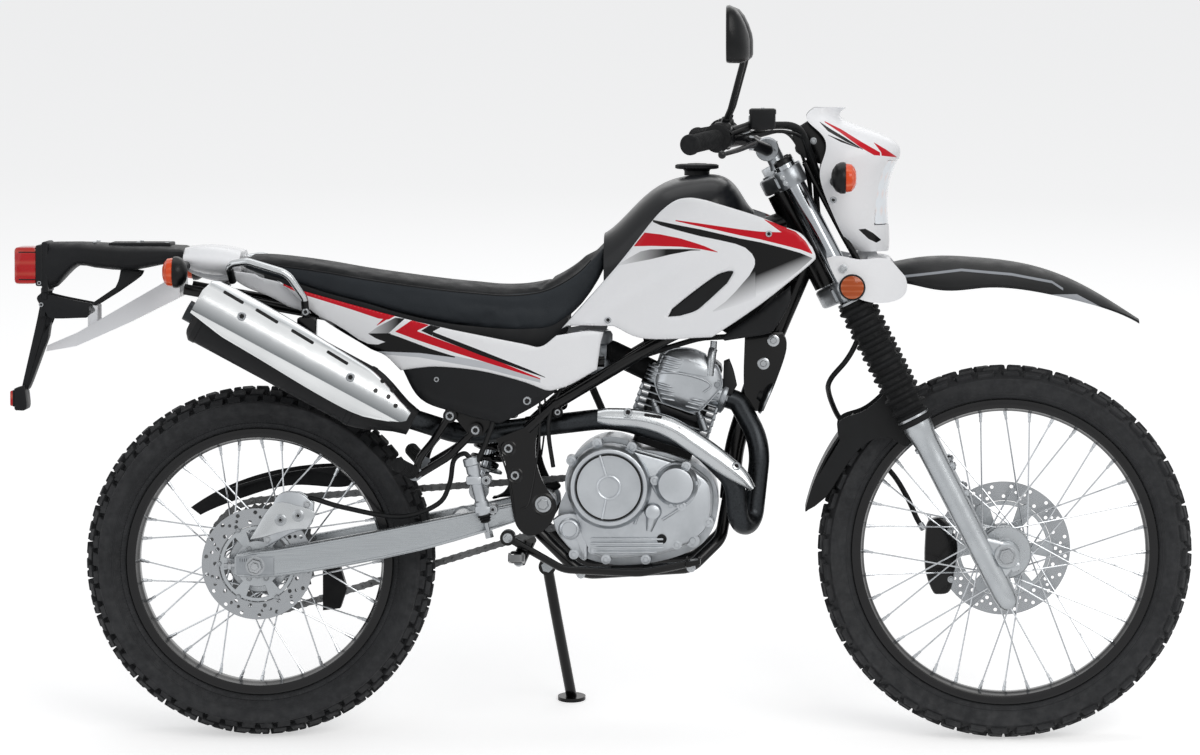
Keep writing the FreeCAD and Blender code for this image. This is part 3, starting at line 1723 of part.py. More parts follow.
GUARD_SIDE = [
    [(-364, 417), (-352, 457), (-328, 502), (-301, 547)],
    [(-295, 587), (-264, 598), (-237, 616), (-219, 634)],
    [(-205, 629)],
    [(-197, 593), (-170, 547)],
    [(-183, 537), (-201, 547), (-228, 553), (-250, 544), (-295, 493), (-328, 442)],
    [(-346, 427)],
]
guard = fuse(
    "ForkGuard",
    guard_web,
    side_slab("GuardRight", GUARD_SIDE, -GUARD_OUT, -GUARD_OUT + 4),
    side_slab("GuardLeft", GUARD_SIDE, GUARD_OUT - 4, GUARD_OUT),
)
keep(group("FenderBlades", blade, guard), "fender_blades", fronted)
BASE_SIDE = [
    [(-326, 880), (-300, 884), (-269, 878), (-230, 880), (-210, 876)],
    [(-184, 846)],
    [(-188, 810), (-229, 799), (-265, 806), (-292, 821), (-312, 848), (-326, 880)],
]
wing = panel("FenderWing", BASE_SIDE, [(-340, -140), (-270, -140), (-210, -116), (-170, -86)], 14)
base_top = lofted(
    "FenderTop",
    [
        arched(-252, 877, 881, 119, 8), arched(-232, 877, 881, 113, 9),
        arched(-210.3, 874, 878, 104, 12),
    ],
)
boss = doc.addObject("Part::Box", "FenderBoss")
boss.Length = 48
boss.Width = 70
boss.Height = 60
boss.Placement = raked_fore.multiply(
    FreeCAD.Placement(vec(LEG + 28.3, -35, CLAMP_LOW + 6), FreeCAD.Rotation())
)
keep(fuse("FrontFender", base_top, wing, mirrored("FenderWingLeft", wing), boss), "front_fender", fronted)

caliper_front = side_slab(
    "FrontCaliperBlock",
    [
        [(-143, 300), (-138, 390)],
        [(-110, 396), (-84, 340)],
        [(-98, 262), (-130, 262)],
        [(-143, 300)],
    ],
    size("front_disc_y") - 12, size("front_disc_y") + 17,
)
keep(
    cut(
        "FrontCaliper",
        caliper_front,
        disc_space("FrontDiscSpace", AXLE_POINT, size("front_disc_y"), "Sizes.front_disc_radius + 3"),
    ),
    "front_caliper",
    fronted,
)


def beside_axis(ahead, y, up):
    """A point given in the steering head's frame, drawn from the front axle's foot."""
    return tuple(raked_fore.multVec(vec(ahead, y, up)))


hose = pipe(
    "BrakeHose",
    [
        (-435, -206.5, 1122), (-374, -165, 1122), beside_axis(78, -92, 1152),
        beside_axis(70, -56, 1080), beside_axis(66, -47, 970), beside_axis(64, -48, 880),
        beside_axis(-20, -46, 800), (-324, -8, 650), (-320, 44, 620), (-302, 84, 576),
        (-252, 95, 522), (-200, 95, 474), (-172, 92, 425), (-158, 84, 392), (-146, 76, 374),
    ],
    "5",
)
keep(hose, "brake_hose", fronted)

# Side stand: its pad lies flat on the floor under the leaning machine.

STAND_PIVOT = vec(size("stand_pivot_x"), size("stand_pivot_y"), size("stand_pivot_z"))
FOOT_Y = 250
FOOT_X = 560
floor_slope = math.tan(math.radians(LEAN))
foot_z = FOOT_Y * floor_slope - LIFT / math.cos(math.radians(LEAN))
foot_centre = vec(FOOT_X, FOOT_Y, foot_z)
floor_turn = FreeCAD.Rotation(X_AXIS, LEAN)
foot_up = floor_turn.multVec(Z_AXIS)
stand = fuse(
    "SideStand",
    pipe(
        "StandLeg",
        [
            tuple(STAND_PIVOT), tuple(STAND_PIVOT + vec(14, 36, -90)),
            tuple(foot_centre + foot_up * 4),
        ],
        "10",
        [120],
    ),
    rod("StandPad", foot_centre, foot_centre + foot_up * 7, "26"),
    rod("StandHinge", STAND_PIVOT - Y_AXIS * 9, STAND_PIVOT + Y_AXIS * 9, "16"),
)
keep(stand, "side_stand")

doc.recompute()
unsound = [item.Name for item in doc.Objects if {"Invalid", "Error"} & set(item.State)]
unsound += [item.Label for item in nodes if item.Shape.isNull() or not item.Shape.isValid()]
if unsound:
    raise RuntimeError("not made: " + ", ".join(unsound))

os.makedirs("parts", exist_ok=True)
for item in nodes:
    item.Shape.exportStep(os.path.join("parts", item.Label + ".step"))

box = FreeCAD.BoundBox()
for item in nodes:
    box.add(item.Shape.BoundBox)
print("nodes", len(nodes))
corners = (box.XMin, box.YMin, box.ZMin, box.XMax, box.YMax, box.ZMax)
print("box", [round(value, 1) for value in corners])
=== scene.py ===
import json
import math

import bmesh
import bpy
from mathutils import Matrix, Vector
from mathutils.bvhtree import BVHTree
from mathutils.geometry import delaunay_2d_cdt

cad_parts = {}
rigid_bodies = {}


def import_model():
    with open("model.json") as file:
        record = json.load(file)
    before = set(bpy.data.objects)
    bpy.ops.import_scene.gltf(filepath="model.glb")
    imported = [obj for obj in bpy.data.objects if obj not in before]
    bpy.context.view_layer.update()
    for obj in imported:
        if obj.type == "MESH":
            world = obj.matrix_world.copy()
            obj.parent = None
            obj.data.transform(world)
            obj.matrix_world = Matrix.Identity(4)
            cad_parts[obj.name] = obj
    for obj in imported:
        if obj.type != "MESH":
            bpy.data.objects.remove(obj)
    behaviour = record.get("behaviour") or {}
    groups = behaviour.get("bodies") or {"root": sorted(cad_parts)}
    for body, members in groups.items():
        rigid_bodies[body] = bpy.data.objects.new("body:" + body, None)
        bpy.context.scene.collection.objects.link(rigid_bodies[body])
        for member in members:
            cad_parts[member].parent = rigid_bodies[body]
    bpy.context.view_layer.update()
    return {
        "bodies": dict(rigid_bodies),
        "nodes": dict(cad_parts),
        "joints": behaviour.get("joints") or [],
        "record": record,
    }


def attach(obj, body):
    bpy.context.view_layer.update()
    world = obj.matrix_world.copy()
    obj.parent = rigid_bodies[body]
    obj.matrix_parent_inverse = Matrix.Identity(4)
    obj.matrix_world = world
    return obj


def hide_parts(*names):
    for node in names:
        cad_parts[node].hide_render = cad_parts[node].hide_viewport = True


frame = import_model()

print("frame loaded:", len(frame["nodes"]), "nodes")

unturned = Matrix.Identity(4)

# The machine's own frame is in millimetres and upright: X ahead from the rear wheel's foot, Y left, Z up.
stance = {
    "lean": 9.0,  # degrees, over its side stand
    "ahead": 622.0, "left": 199.0,  # the parked frame's origin
    "crown": 64.0,  # radius across the tyres
    "rake": 27.2, "steerFoot": 1465.0,
    "fork": (27.0, 98.0),  # the legs, ahead of and beside the steering axis
}
rearAxle = Vector((0, 0, 320.5))
frontAxle = Vector((1360, 0, 341))
liftUp = stance["crown"] * (1 - math.cos(math.radians(stance["lean"])))
leanTurn = Matrix.Rotation(math.radians(-stance["lean"]), 4, "X")
parked = Matrix.Diagonal((0.001, 0.001, 0.001, 1)) @ Matrix.Translation(
    (-stance["ahead"], -stance["left"], liftUp)) @ leanTurn
raked = Matrix.Translation((stance["steerFoot"], 0, 0)) @ Matrix.Rotation(
    math.radians(-stance["rake"]), 4, "Y")


def onSteering(ahead, side, up):  # a point beside the steering axis
    return raked @ Vector((ahead, side, up))


def bent(points, bends=None, steps=7):  # straight runs joined by arcs
    points = [Vector(point) for point in points]
    path = [points[0]]
    for index in range(1, len(points) - 1):
        back = points[index - 1] - points[index]
        ahead = points[index + 1] - points[index]
        shorter = min(back.length, ahead.length)
        back.normalize()
        ahead.normalize()
        half = (math.pi - back.angle(ahead)) / 2
        if half < 0.01:
            continue
        reach = bends[index - 1] * math.tan(half) if bends else 0.45 * shorter
        centre = points[index] + (back + ahead).normalized() * reach / math.sin(half)
        arm = points[index] + back * reach - centre
        far = points[index] + ahead * reach - centre
        full = arm.angle(far)
        for step in range(steps + 1):
            share = step / steps
            path.append(centre + (arm * math.sin((1 - share) * full) + far * math.sin(share * full)) / math.sin(full))
    return path + [points[-1]]


def flowing(points, steps=8, closed=False):  # one smooth line through the points
    points = [Vector(point) for point in points]
    count = len(points)
    path = []
    for index in range(count if closed else count - 1):
        if closed:
            a, b, c, d = (points[(index + k) % count] for k in (-1, 0, 1, 2))
        else:
            b, c = points[index], points[index + 1]
            a = points[index - 1] if index else b * 2 - c
            d = points[index + 2] if index + 2 < count else c * 2 - b
        for step in range(steps):
            t = step / steps
            path.append(((b * 2) + (c - a) * t + (a * 2 - b * 5 + c * 4 - d) * t * t
                         + (b * 3 - a - c * 3 + d) * t * t * t) / 2)
    return path if closed else path + [points[-1]]


def outline(stretches, steps=6):  # lines through 2 points, curves through more, closed
    path = []
    last = None
    for stretch in stretches:
        run = ([last] if last else []) + list(stretch)
        last = run[-1]
        flat = [Vector((x, 0, z)) for x, z in run]
        path += flat[:-1] if len(flat) == 2 else flowing(flat, steps)[:-1]
    if (Vector((last[0], 0, last[1])) - path[0]).length > 0.01:
        path.append(Vector((last[0], 0, last[1])))
    return [(point.x, point.z) for point in path]


def flowingOutline(points, steps=5):  # one smooth closed outline
    return [(p.x, p.z) for p in flowing([(x, 0, z) for x, z in points], steps, True)]


def rounded(corners, radius, steps=4):  # a polygon with rounded corners
    count = len(corners)
    path = []
    for index in range(count):
        here = Vector(corners[index])
        back = (Vector(corners[index - 1]) - here)
        ahead = (Vector(corners[(index + 1) % count]) - here)
        reach = min(radius, back.length * 0.48, ahead.length * 0.48)
        start = here + back.normalized() * reach
        end = here + ahead.normalized() * reach
        for step in range(steps + 1):
            t = step / steps
            path.append(tuple(start * (1 - t) ** 2 + here * 2 * t * (1 - t) + end * t * t))
    return path


def circle(centre, radius, count=24, start=0.0):
    turns = [start + 2 * math.pi * index / count for index in range(count)]
    return [(centre[0] + radius * math.cos(turn), centre[1] + radius * math.sin(turn)) for turn in turns]


def pillow(count, power):  # a unit superellipse, squarer as the power falls
    return [tuple(math.copysign(abs(part) ** power, part) for part in point) for point in circle((0, 0), 1, count)]


def signedArea(path):
    return sum(a[0] * b[1] - b[0] * a[1] for a, b in zip(path, path[1:] + path[:1])) / 2


def shrunk(path, distance):  # a closed outline, moved inwards
    turn = 1 if signedArea(path) > 0 else -1
    moved = []
    for index, here in enumerate(path):
        before, after = Vector(path[index - 1]), Vector(path[(index + 1) % len(path)])
        here = Vector(here)
        first, second = (here - before), (after - here)
        if first.length < 1e-6 or second.length < 1e-6:
            moved.append(tuple(here))
            continue
        first.normalize()
        second.normalize()
        normal = Vector((-(first.y + second.y), first.x + second.x)) * turn
        if normal.length < 1e-6:
            moved.append(tuple(here))
            continue
        normal.normalize()
        across = max(0.35, normal.dot(Vector((-first.y, first.x)) * turn))
        moved.append(tuple(here + normal * distance / across))
    return moved


def smoothTable(table, x):  # a smooth value between (x, value) pairs
    if x <= table[0][0]:
        return table[0][1]
    for index in range(len(table) - 1):
        x0, y0 = table[index]
        x1, y1 = table[index + 1]
        if x <= x1:
            def slope(k):
                low, high = max(0, k - 1), min(len(table) - 1, k + 1)
                return (table[high][1] - table[low][1]) / (table[high][0] - table[low][0])
            t = (x - x0) / (x1 - x0)
            span = x1 - x0
            return ((2 * t ** 3 - 3 * t * t + 1) * y0 + (t ** 3 - 2 * t * t + t) * span * slope(index)
                    + (3 * t * t - 2 * t ** 3) * y1 + (t ** 3 - t * t) * span * slope(index + 1))
    return table[-1][1]


def column(rows, index, x):  # the smooth value of one column in a table of sections
    return smoothTable([(row[0], row[index]) for row in rows], x)


def inside(path, x, z):
    found = False
    for (x0, z0), (x1, z1) in zip(path, path[1:] + path[:1]):
        if (z0 > z) != (z1 > z) and x < (x1 - x0) * (z - z0) / (z1 - z0) + x0:
            found = not found
    return found


def edgeDistance(path, x, z):
    best = 1e9
    for (x0, z0), (x1, z1) in zip(path, path[1:] + path[:1]):
        dx, dz = x1 - x0, z1 - z0
        size = dx * dx + dz * dz
        t = 0 if size == 0 else max(0, min(1, ((x - x0) * dx + (z - z0) * dz) / size))
        best = min(best, math.hypot(x - x0 - dx * t, z - z0 - dz * t))
    return best


def evenly(path, pitch):  # a closed outline with points about a pitch apart
    spaced = []
    for (x0, z0), (x1, z1) in zip(path, path[1:] + path[:1]):
        count = max(1, round(math.hypot(x1 - x0, z1 - z0) / pitch))
        spaced += [(x0 + (x1 - x0) * k / count, z0 + (z1 - z0) * k / count) for k in range(count)]
    return spaced


def filled(loops):  # the points and chained edges of several closed loops
    flat, links = [], []
    for loop in loops:
        start = len(flat)
        flat += loop
        links += [(start + k, start + (k + 1) % len(loop)) for k in range(len(loop))]
    return flat, links


def cutFaces(found, path, holes):  # the triangles inside the outline and outside its holes
    faces = []
    for face in found[2]:
        x, z = (sum(found[0][k][axis] for k in face) / 3 for axis in (0, 1))
        if inside(path, x, z) and not any(inside(hole, x, z) for hole in holes):
            faces.append(list(face))
    return faces


class Shape:  # points and faces of one piece, in the machine's own frame
    def __init__(self, look=None):
        self.points, self.faces, self.lookOf, self.palette = [], [], [], []
        self.place = unturned
        self.current = 0
        if look:
            self.use(look)

    def use(self, look):
        if look not in self.palette:
            self.palette.append(look)
        self.current = self.palette.index(look)
        return self

    def add(self, points, faces):
        start = len(self.points)
        self.points += [self.place @ Vector(point) for point in points]
        self.faces += [[start + index for index in face] for face in faces]
        self.lookOf += [self.current] * len(faces)
        return self

    def loft(self, rings, caps=True, closed=False):
        count = len(rings[0])
        points = [point for ring in rings for point in ring]
        faces = []
        for row in range(len(rings) if closed else len(rings) - 1):
            a, b = row * count, (row + 1) % len(rings) * count
            faces += [[a + k, a + (k + 1) % count, b + (k + 1) % count, b + k] for k in range(count)]
        if caps and not closed:
            faces.append(list(range(count))[::-1])
            faces.append([(len(rings) - 1) * count + k for k in range(count)])
        return self.add(points, faces)

    def tube(self, path, radius, sides=14, caps=True, closed=False, flat=1.0):
        path = [Vector(point) for point in path]
        count = len(path)
        radii = radius if isinstance(radius, list) else [radius] * count
        normal = (path[1] - path[0]).orthogonal().normalized()
        rings = []
        for index, point in enumerate(path):
            after = path[(index + 1) % count] if closed else path[min(index + 1, count - 1)]
            before = path[index - 1] if closed else path[max(index - 1, 0)]
            ahead = (after - before).normalized()
            normal = (normal - ahead * normal.dot(ahead)).normalized()
            side = ahead.cross(normal)
            turns = [2 * math.pi * k / sides for k in range(sides)]
            rings.append([point + (normal * math.cos(t) + side * math.sin(t) * flat) * radii[index] for t in turns])
        return self.loft(rings, caps, closed)

    def lathe(self, profile, start, axis, sides=32, caps=True):  # profile: radius, way along the axis
        start, axis = Vector(start), Vector(axis).normalized()
        across = axis.orthogonal().normalized()
        other = axis.cross(across)
        turns = [2 * math.pi * k / sides for k in range(sides)]
        rings = []
        for radius, way in profile:
            radius = max(radius, 0.01)
            rings.append([start + axis * way + (across * math.cos(t) + other * math.sin(t)) * radius for t in turns])
        return self.loft(rings, caps)

    def ring(self, profile, centre, axis, sides=72):  # a closed profile turned round an axis
        return self.lathe(list(profile) + [profile[0]], centre, axis, sides, False)

    def slab(self, path, low, high, edge=0.0):  # a side outline between two widths, edges eased
        levels = [(low, 0), (high, 0)]
        if edge:
            levels = [(low, edge), (low + edge * 0.3, edge * 0.3), (low + edge, 0),
                      (high - edge, 0), (high - edge * 0.3, edge * 0.3), (high, edge)]
        rings = []
        for y, inset in levels:
            rings.append([(x, y, z) for x, z in (shrunk(path, inset) if inset else path)])
        return self.loft(rings)

    def stack(self, path, levels):  # a plan outline drawn in by an inset at each height
        return self.loft([[(x, y, z) for x, y in (shrunk(path, inset) if inset else path)] for z, inset in levels])

    def box(self, low, high, edge=1.5):
        (x0, y0, z0), (x1, y1, z1) = low, high
        return self.slab(rounded([(x0, z0), (x1, z0), (x1, z1), (x0, z1)], edge * 1.5, 3), y0, y1, edge)

    def bolt(self, centre, axis, size=6.0, kind="hex"):  # washer face and head, standing along the axis
        if kind == "hex":
            self.lathe([(0, 0), (size * 1.25, 0), (size * 1.25, size * 0.16), (size * 0.95, size * 0.22)], centre, axis,
                       18)
            self.lathe([(size * 0.92, size * 0.15), (size * 0.92, size * 0.62), (size * 0.78, size * 0.74),
                        (0, size * 0.74)],
                       centre, axis, 6)
        else:
            self.lathe([(size, 0), (size, size * 0.38), (size * 0.86, size * 0.56), (size * 0.64, size * 0.56),
                        (size * 0.58, size * 0.2), (0, size * 0.2)], centre, axis, 20)
            kept = self.current
            # The socket's recess is drawn in black frame paint: painted shade in the hollow of the head.
            self.use(black["frame"])
            self.lathe([(0, size * 0.2), (size * 0.57, size * 0.2), (size * 0.5, size * 0.27), (0, size * 0.27)],
                       centre, axis, 6)
            self.current = kept
        return self

    def moulded(self, path, surface, rim=5.0, pitch=9.0, wall=3.0, side=-1,
                holes=()):  # a moulded panel, rolled in at its edge
        edges = [evenly(path, pitch * 0.45)] + [evenly(hole, pitch * 0.4) for hole in holes]
        flat, links = filled(edges)
        for inset in (rim * 0.12, rim * 0.4, rim):
            for loop, way in zip(edges, [1] + [-1] * len(holes)):
                for x, z in shrunk(loop, inset * way)[::2 if inset > rim * 0.3 else 1]:
                    if inside(path, x, z) and min(edgeDistance(edge, x, z) for edge in edges) > inset * 0.93:
                        flat.append((x, z))
        xs, zs = [x for x, z in path], [z for x, z in path]
        rows = int((max(zs) - min(zs)) / (pitch * 0.87))
        for row in range(rows + 1):
            z = min(zs) + row * pitch * 0.87
            x = min(xs) + (pitch / 2 if row % 2 else 0)
            while x < max(xs):
                if inside(path, x, z) and min(edgeDistance(edge, x, z) for edge in edges) > rim + pitch * 0.45:
                    flat.append((x, z))
                x += pitch
        found = delaunay_2d_cdt([Vector(point) for point in flat], links, [], 0, 1e-4)
        spots = [tuple(point) for point in found[0]]
        faces = cutFaces(found, edges[0], edges[1:])
        rolled = []
        for x, z in spots:
            gap = min(rim, min(edgeDistance(edge, x, z) for edge in edges))
            rolled.append(rim - math.sqrt(max(0.0, rim * rim - (rim - gap) ** 2)))
        count = len(spots)
        outer = [(x, side * (surface(x, z) - roll), z) for (x, z), roll in zip(spots, rolled)]
        inner = [(x, side * (surface(x, z) - max(wall, roll + 0.8)), z) for (x, z), roll in zip(spots, rolled)]
        pairs = {}
        for face in faces:
            for a, b in zip(face, face[1:] + face[:1]):
                pairs[(a, b)] = True
        rims = [[a, b, count + b, count + a] for a, b in pairs if (b, a) not in pairs]
        return self.add(outer + inner, faces + [[count + k for k in reversed(face)] for face in faces]
                        + [list(reversed(face)) for face in rims])

    def mesh(self, name, sharp=32.0, place=None):
        data = bpy.data.meshes.new(name)
        place = parked if place is None else place
        data.from_pydata([place @ point for point in self.points], [], self.faces)
        for look in self.palette:
            data.materials.append(look)
        data.polygons.foreach_set("material_index", self.lookOf)
        tidy = bmesh.new()
        tidy.from_mesh(data)
        bmesh.ops.remove_doubles(tidy, verts=tidy.verts, dist=1e-6)
        bmesh.ops.recalc_face_normals(tidy, faces=tidy.faces)
        tidy.to_mesh(data)
        tidy.free()
        data.shade_smooth()
        data.set_sharp_from_angle(angle=math.radians(sharp))
        return data

    def make(self, name, body, replaces=(), sharp=32.0):
        piece = bpy.data.objects.new(name, self.mesh(name, sharp))
        return placed(piece, body, replaces)


def evaluated(item):  # the mesh that an object's modifiers make
    return bpy.data.meshes.new_from_object(item.evaluated_get(bpy.context.evaluated_depsgraph_get()))


def placed(piece, body, replaces=()):  # links the piece, ties it to its body and hides the nodes it replaces
    if piece.name not in scene.collection.objects:
        scene.collection.objects.link(piece)
    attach(piece, body)
    if replaces:
        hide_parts(*replaces)
    return piece


scene = bpy.context.scene
print("shaping tools ready")


# Materials

def tint(code):  # a screen colour as the shader's linear colour
    parts = [int(code[k:k + 2], 16) / 255 for k in (0, 2, 4)]
    return tuple(p / 12.92 if p <= 0.04045 else ((p + 0.055) / 1.055) ** 2.4 for p in parts) + (1.0,)


class Value:  # a socket, so that shader maths reads as maths
    def __init__(self, look, socket):
        self.look, self.socket = look, socket

    def __add__(self, other):
        return self.look.maths("ADD", self, other)

    def __sub__(self, other):
        return self.look.maths("SUBTRACT", self, other)

    def __rsub__(self, other):
        return self.look.maths("SUBTRACT", other, self)

    def __mul__(self, other):
        return self.look.maths("MULTIPLY", self, other)

    def __truediv__(self, other):
        return self.look.maths("DIVIDE", self, other)

    def __gt__(self, other):
        return self.look.maths("GREATER_THAN", self, other)

    def __lt__(self, other):
        return self.look.maths("LESS_THAN", self, other)

    __radd__ = __add__
    __rmul__ = __mul__


class Look:
    def __init__(self, name, colour, roughness, metallic=0.0, **sockets):
        self.material = bpy.data.materials.new(name)
        self.material.use_nodes = True
        self.tree = self.material.node_tree
        self.shader = self.tree.nodes["Principled BSDF"]
        self.colour, self.roughness = colour, roughness
        self.set("Base Color", colour)
        self.set("Roughness", roughness)
        self.set("Metallic", metallic)
        for socket, value in sockets.items():
            self.set(socket.replace("_", " "), value)

    def set(self, socket, value):
        self.join(self.shader.inputs[socket], value)
        return self

    def join(self, socket, value):
        if isinstance(value, Value):
            self.tree.links.new(value.socket, socket)
        else:
            socket.default_value = value

    def node(self, kind, settings=None, inputs=None, out=0):
        made = self.tree.nodes.new(kind)
        for key, value in (settings or {}).items():
            if key == "stops":
                ramp = made.color_ramp.elements
                while len(ramp) < len(value):
                    ramp.new(0.5)
                for stop, (place, colour) in zip(ramp, value):
                    stop.position = place
                    stop.color = colour if isinstance(colour, tuple) else (colour, colour, colour, 1)
            elif key == "curve":
                curve = made.mapping.curves[0]
                while len(curve.points) < len(value):
                    curve.points.new(0.5, 0.5)
                for point, spot in zip(curve.points, value):
                    point.location = spot
                    point.handle_type = "VECTOR"
                made.mapping.update()
            else:
                setattr(made, key, value)
        for key, value in (inputs or {}).items():
            self.join(made.inputs[key], value)
        return Value(self, made.outputs[out])

    def maths(self, operation, *values, clamp=False):
        return self.node("ShaderNodeMath", {"operation": operation, "use_clamp": clamp}, dict(enumerate(values)))

    def coords(self):  # upright millimetres of the machine
        if not hasattr(self, "spot"):
            back = leanTurn.inverted() @ Vector((-stance["ahead"], -stance["left"], liftUp))
            plain = self.node("ShaderNodeTexCoord", out="Object")
            self.spot = self.node("ShaderNodeMapping", {}, {
                "Vector": plain, "Location": tuple(-back), "Scale": (1000, 1000, 1000),
                "Rotation": (math.radians(stance["lean"]), 0, 0)})
        return self.spot

    def axes(self):
        if not hasattr(self, "parts"):
            split = self.node("ShaderNodeSeparateXYZ", {}, {"Vector": self.coords()}).socket.node
            self.parts = [Value(self, split.outputs[k]) for k in range(3)]
        return self.parts

    def stretched(self, scale, turn=(0, 0, 0)):
        return self.node("ShaderNodeMapping", {}, {"Vector": self.coords(), "Scale": scale,
                                                   "Rotation": tuple(math.radians(a) for a in turn)})

    def noise(self, size, detail=3.0, roughness=0.55, vector=None):  # size of its features in mm
        return self.node("ShaderNodeTexNoise", {}, {"Vector": vector or self.coords(), "Scale": 1 / size,
                                                    "Detail": detail, "Roughness": roughness}, "Fac")

    def cells(self, size, feature="F1", out="Distance"):
        return self.node("ShaderNodeTexVoronoi", {"feature": feature},
                         {"Vector": self.coords(), "Scale": 1 / size}, out)

    def ramp(self, value, *stops):
        return self.node("ShaderNodeValToRGB", {"stops": stops}, {"Fac": value})

    def scaled(self, value, low, high, to=(0.0, 1.0)):
        return self.node("ShaderNodeMapRange", {"clamp": True}, {
            "Value": value, "From Min": low, "From Max": high, "To Min": to[0], "To Max": to[1]})

    def mix(self, share, first, second):
        made = self.tree.nodes.new("ShaderNodeMix")
        made.data_type = "RGBA"
        self.join(made.inputs["Factor"], share)
        self.join(made.inputs[6], first)  # the colour sockets A and B
        self.join(made.inputs[7], second)
        return Value(self, made.outputs[2])

    def paint(self, share, colour):  # lays a colour over what is there
        self.colour = self.mix(share, self.colour, colour)
        return self.set("Base Color", self.colour)

    def bump(self, height, depth, strength=1.0):  # depth in mm
        inputs = {"Height": height, "Distance": depth / 1000, "Strength": strength}
        if hasattr(self, "normal"):
            inputs["Normal"] = self.normal
        self.normal = self.node("ShaderNodeBump", {}, inputs)
        return self.set("Normal", self.normal)

    def band(self, x, z, lower, upper, frame, soft=0.7):  # the strip between two lines of the side view
        x0, x1, z0, z1 = frame
        across = self.scaled(x, x0, x1)
        edges = []
        for line in (lower, upper):
            spots = [((px - x0) / (x1 - x0), (pz - z0) / (z1 - z0)) for px, pz in line]
            curve = self.node("ShaderNodeFloatCurve", {"curve": spots}, {"Value": across})
            edges.append(curve * (z1 - z0) + z0)
        above = self.maths("MULTIPLY_ADD", z - edges[0], 1 / soft, 0.5, clamp=True)
        below = self.maths("MULTIPLY_ADD", edges[1] - z, 1 / soft, 0.5, clamp=True)
        first = max(lower[0][0], upper[0][0])
        last = min(lower[-1][0], upper[-1][0])
        within = self.maths("MULTIPLY_ADD", x - first, 1 / soft, 0.5, clamp=True) * \
            self.maths("MULTIPLY_ADD", last - x, 1 / soft, 0.5, clamp=True)
        return above * below * within


def worn(look, shade, size=160.0, amount=0.5):  # faint unevenness of colour and gloss
    cloud = look.noise(size, 4.0)
    look.paint(look.scaled(cloud, 0.35, 0.75, (0.0, amount)), shade)
    look.set("Roughness", look.scaled(look.noise(size / 4, 3.0), 0.3, 0.7,
                                      (look.roughness * 0.85, min(1.0, look.roughness * 1.2))))
    return look


def glossWhite(name):  # moulded white body panel under lacquer
    look = Look(name, tint("f1f2f4"), 0.26, Coat_Weight=0.1, Coat_Roughness=0.05, Specular_IOR_Level=0.14)
    worn(look, tint("e4e6ea"), 220.0, 0.5)
    look.bump(look.noise(3.2, 2.0), 0.012)
    return look


def grainedBlack(name, colour="0d0e10", grain=0.9, roughness=0.5):  # textured black moulding
    look = Look(name, tint(colour), roughness, Specular_IOR_Level=0.2)
    worn(look, tint("15171a"), 90.0, 0.7)
    look.bump(look.cells(grain), 0.05)
    look.bump(look.noise(0.5, 2.0), 0.02)
    return look


def satinPaint(name, colour, roughness, coat=0.3, fleck="15161a"):
    look = Look(name, tint(colour), roughness, Specular_IOR_Level=0.22, Coat_Weight=coat, Coat_Roughness=0.12)
    worn(look, tint(fleck), 120.0, 0.5)
    look.bump(look.noise(1.4, 3.0), 0.02)
    return look


def castMetal(name, colour, roughness=0.42, grain=0.9, shade="8d9094"):  # painted or bare cast alloy
    look = Look(name, tint(colour), roughness, 0.9)
    worn(look, tint(shade), 60.0, 0.7)
    look.bump(look.noise(grain, 4.0), 0.09)
    look.bump(look.noise(14.0, 2.0), 0.15)
    return look


def brushedMetal(name, colour, roughness=0.3, scale=(0.02, 1.2, 1.2), turn=(0, 0, 0), shade="9a9da1"):
    look = Look(name, tint(colour), roughness, 1.0)
    streaks = look.noise(1.0, 3.0, 0.6, look.stretched(scale, turn))
    look.paint(look.scaled(streaks, 0.35, 0.7, (0.0, 0.55)), tint(shade))
    look.set("Roughness", look.scaled(streaks, 0.3, 0.7, (roughness * 0.75, roughness * 1.35)))
    look.bump(streaks, 0.02)
    return look


def satinMetal(name, colour, shade, roughness=0.24):
    look = Look(name, tint(colour), roughness, 1.0)
    worn(look, tint(shade), 80.0, 0.6)
    look.bump(look.noise(22.0, 2.0), 0.12)
    look.bump(look.noise(1.2, 2.0), 0.008)
    return look


def turnedMetal(name, colour, centre, roughness=0.26):  # fine rings round an axle
    look = Look(name, tint(colour), roughness, 1.0)
    x, y, z = look.axes()
    radius = look.maths("SQRT", (x - centre.x) * (x - centre.x) + (z - centre.z) * (z - centre.z))
    rings = look.noise(1.0, 3.0, 0.6, look.node("ShaderNodeCombineXYZ", {}, {"X": radius * 1.6, "Y": y * 0.05}))
    look.paint(look.scaled(rings, 0.35, 0.7, (0.0, 0.6)), tint("85888c"))
    look.set("Roughness", look.scaled(rings, 0.3, 0.7, (roughness * 0.7, roughness * 1.4)))
    look.bump(rings, 0.03)
    return look


def softRubber(name, colour="0d0e0f", grain=0.7, roughness=0.7):
    look = Look(name, tint(colour), roughness, Specular_IOR_Level=0.22)
    worn(look, tint("17181a"), 35.0, 0.8)
    look.bump(look.noise(grain, 4.0), 0.06)
    return look


def faintlyGlowingLens(name, colour, ribs, roughness=0.12):  # moulded lens with prisms behind its face
    # Each lens also glows faintly in its own colour, though no lamp behind it is lit: a painted glow.
    look = Look(name, tint(colour), roughness, Coat_Weight=0.25, Coat_Roughness=0.04, Specular_IOR_Level=0.2,
                Emission_Strength=0.1)
    x, y, z = look.axes()
    prisms = look.maths("PINGPONG", y if ribs > 0 else z, abs(ribs)) / abs(ribs)
    rows = look.maths("PINGPONG", z if ribs > 0 else y, abs(ribs) * 1.7) / (abs(ribs) * 1.7)
    look.paint(look.scaled(prisms * rows, 0.25, 0.8, (0.0, 0.22)), tint("ffb48c"))
    look.set("Emission Color", look.colour)
    look.bump(prisms, 0.5)
    return look


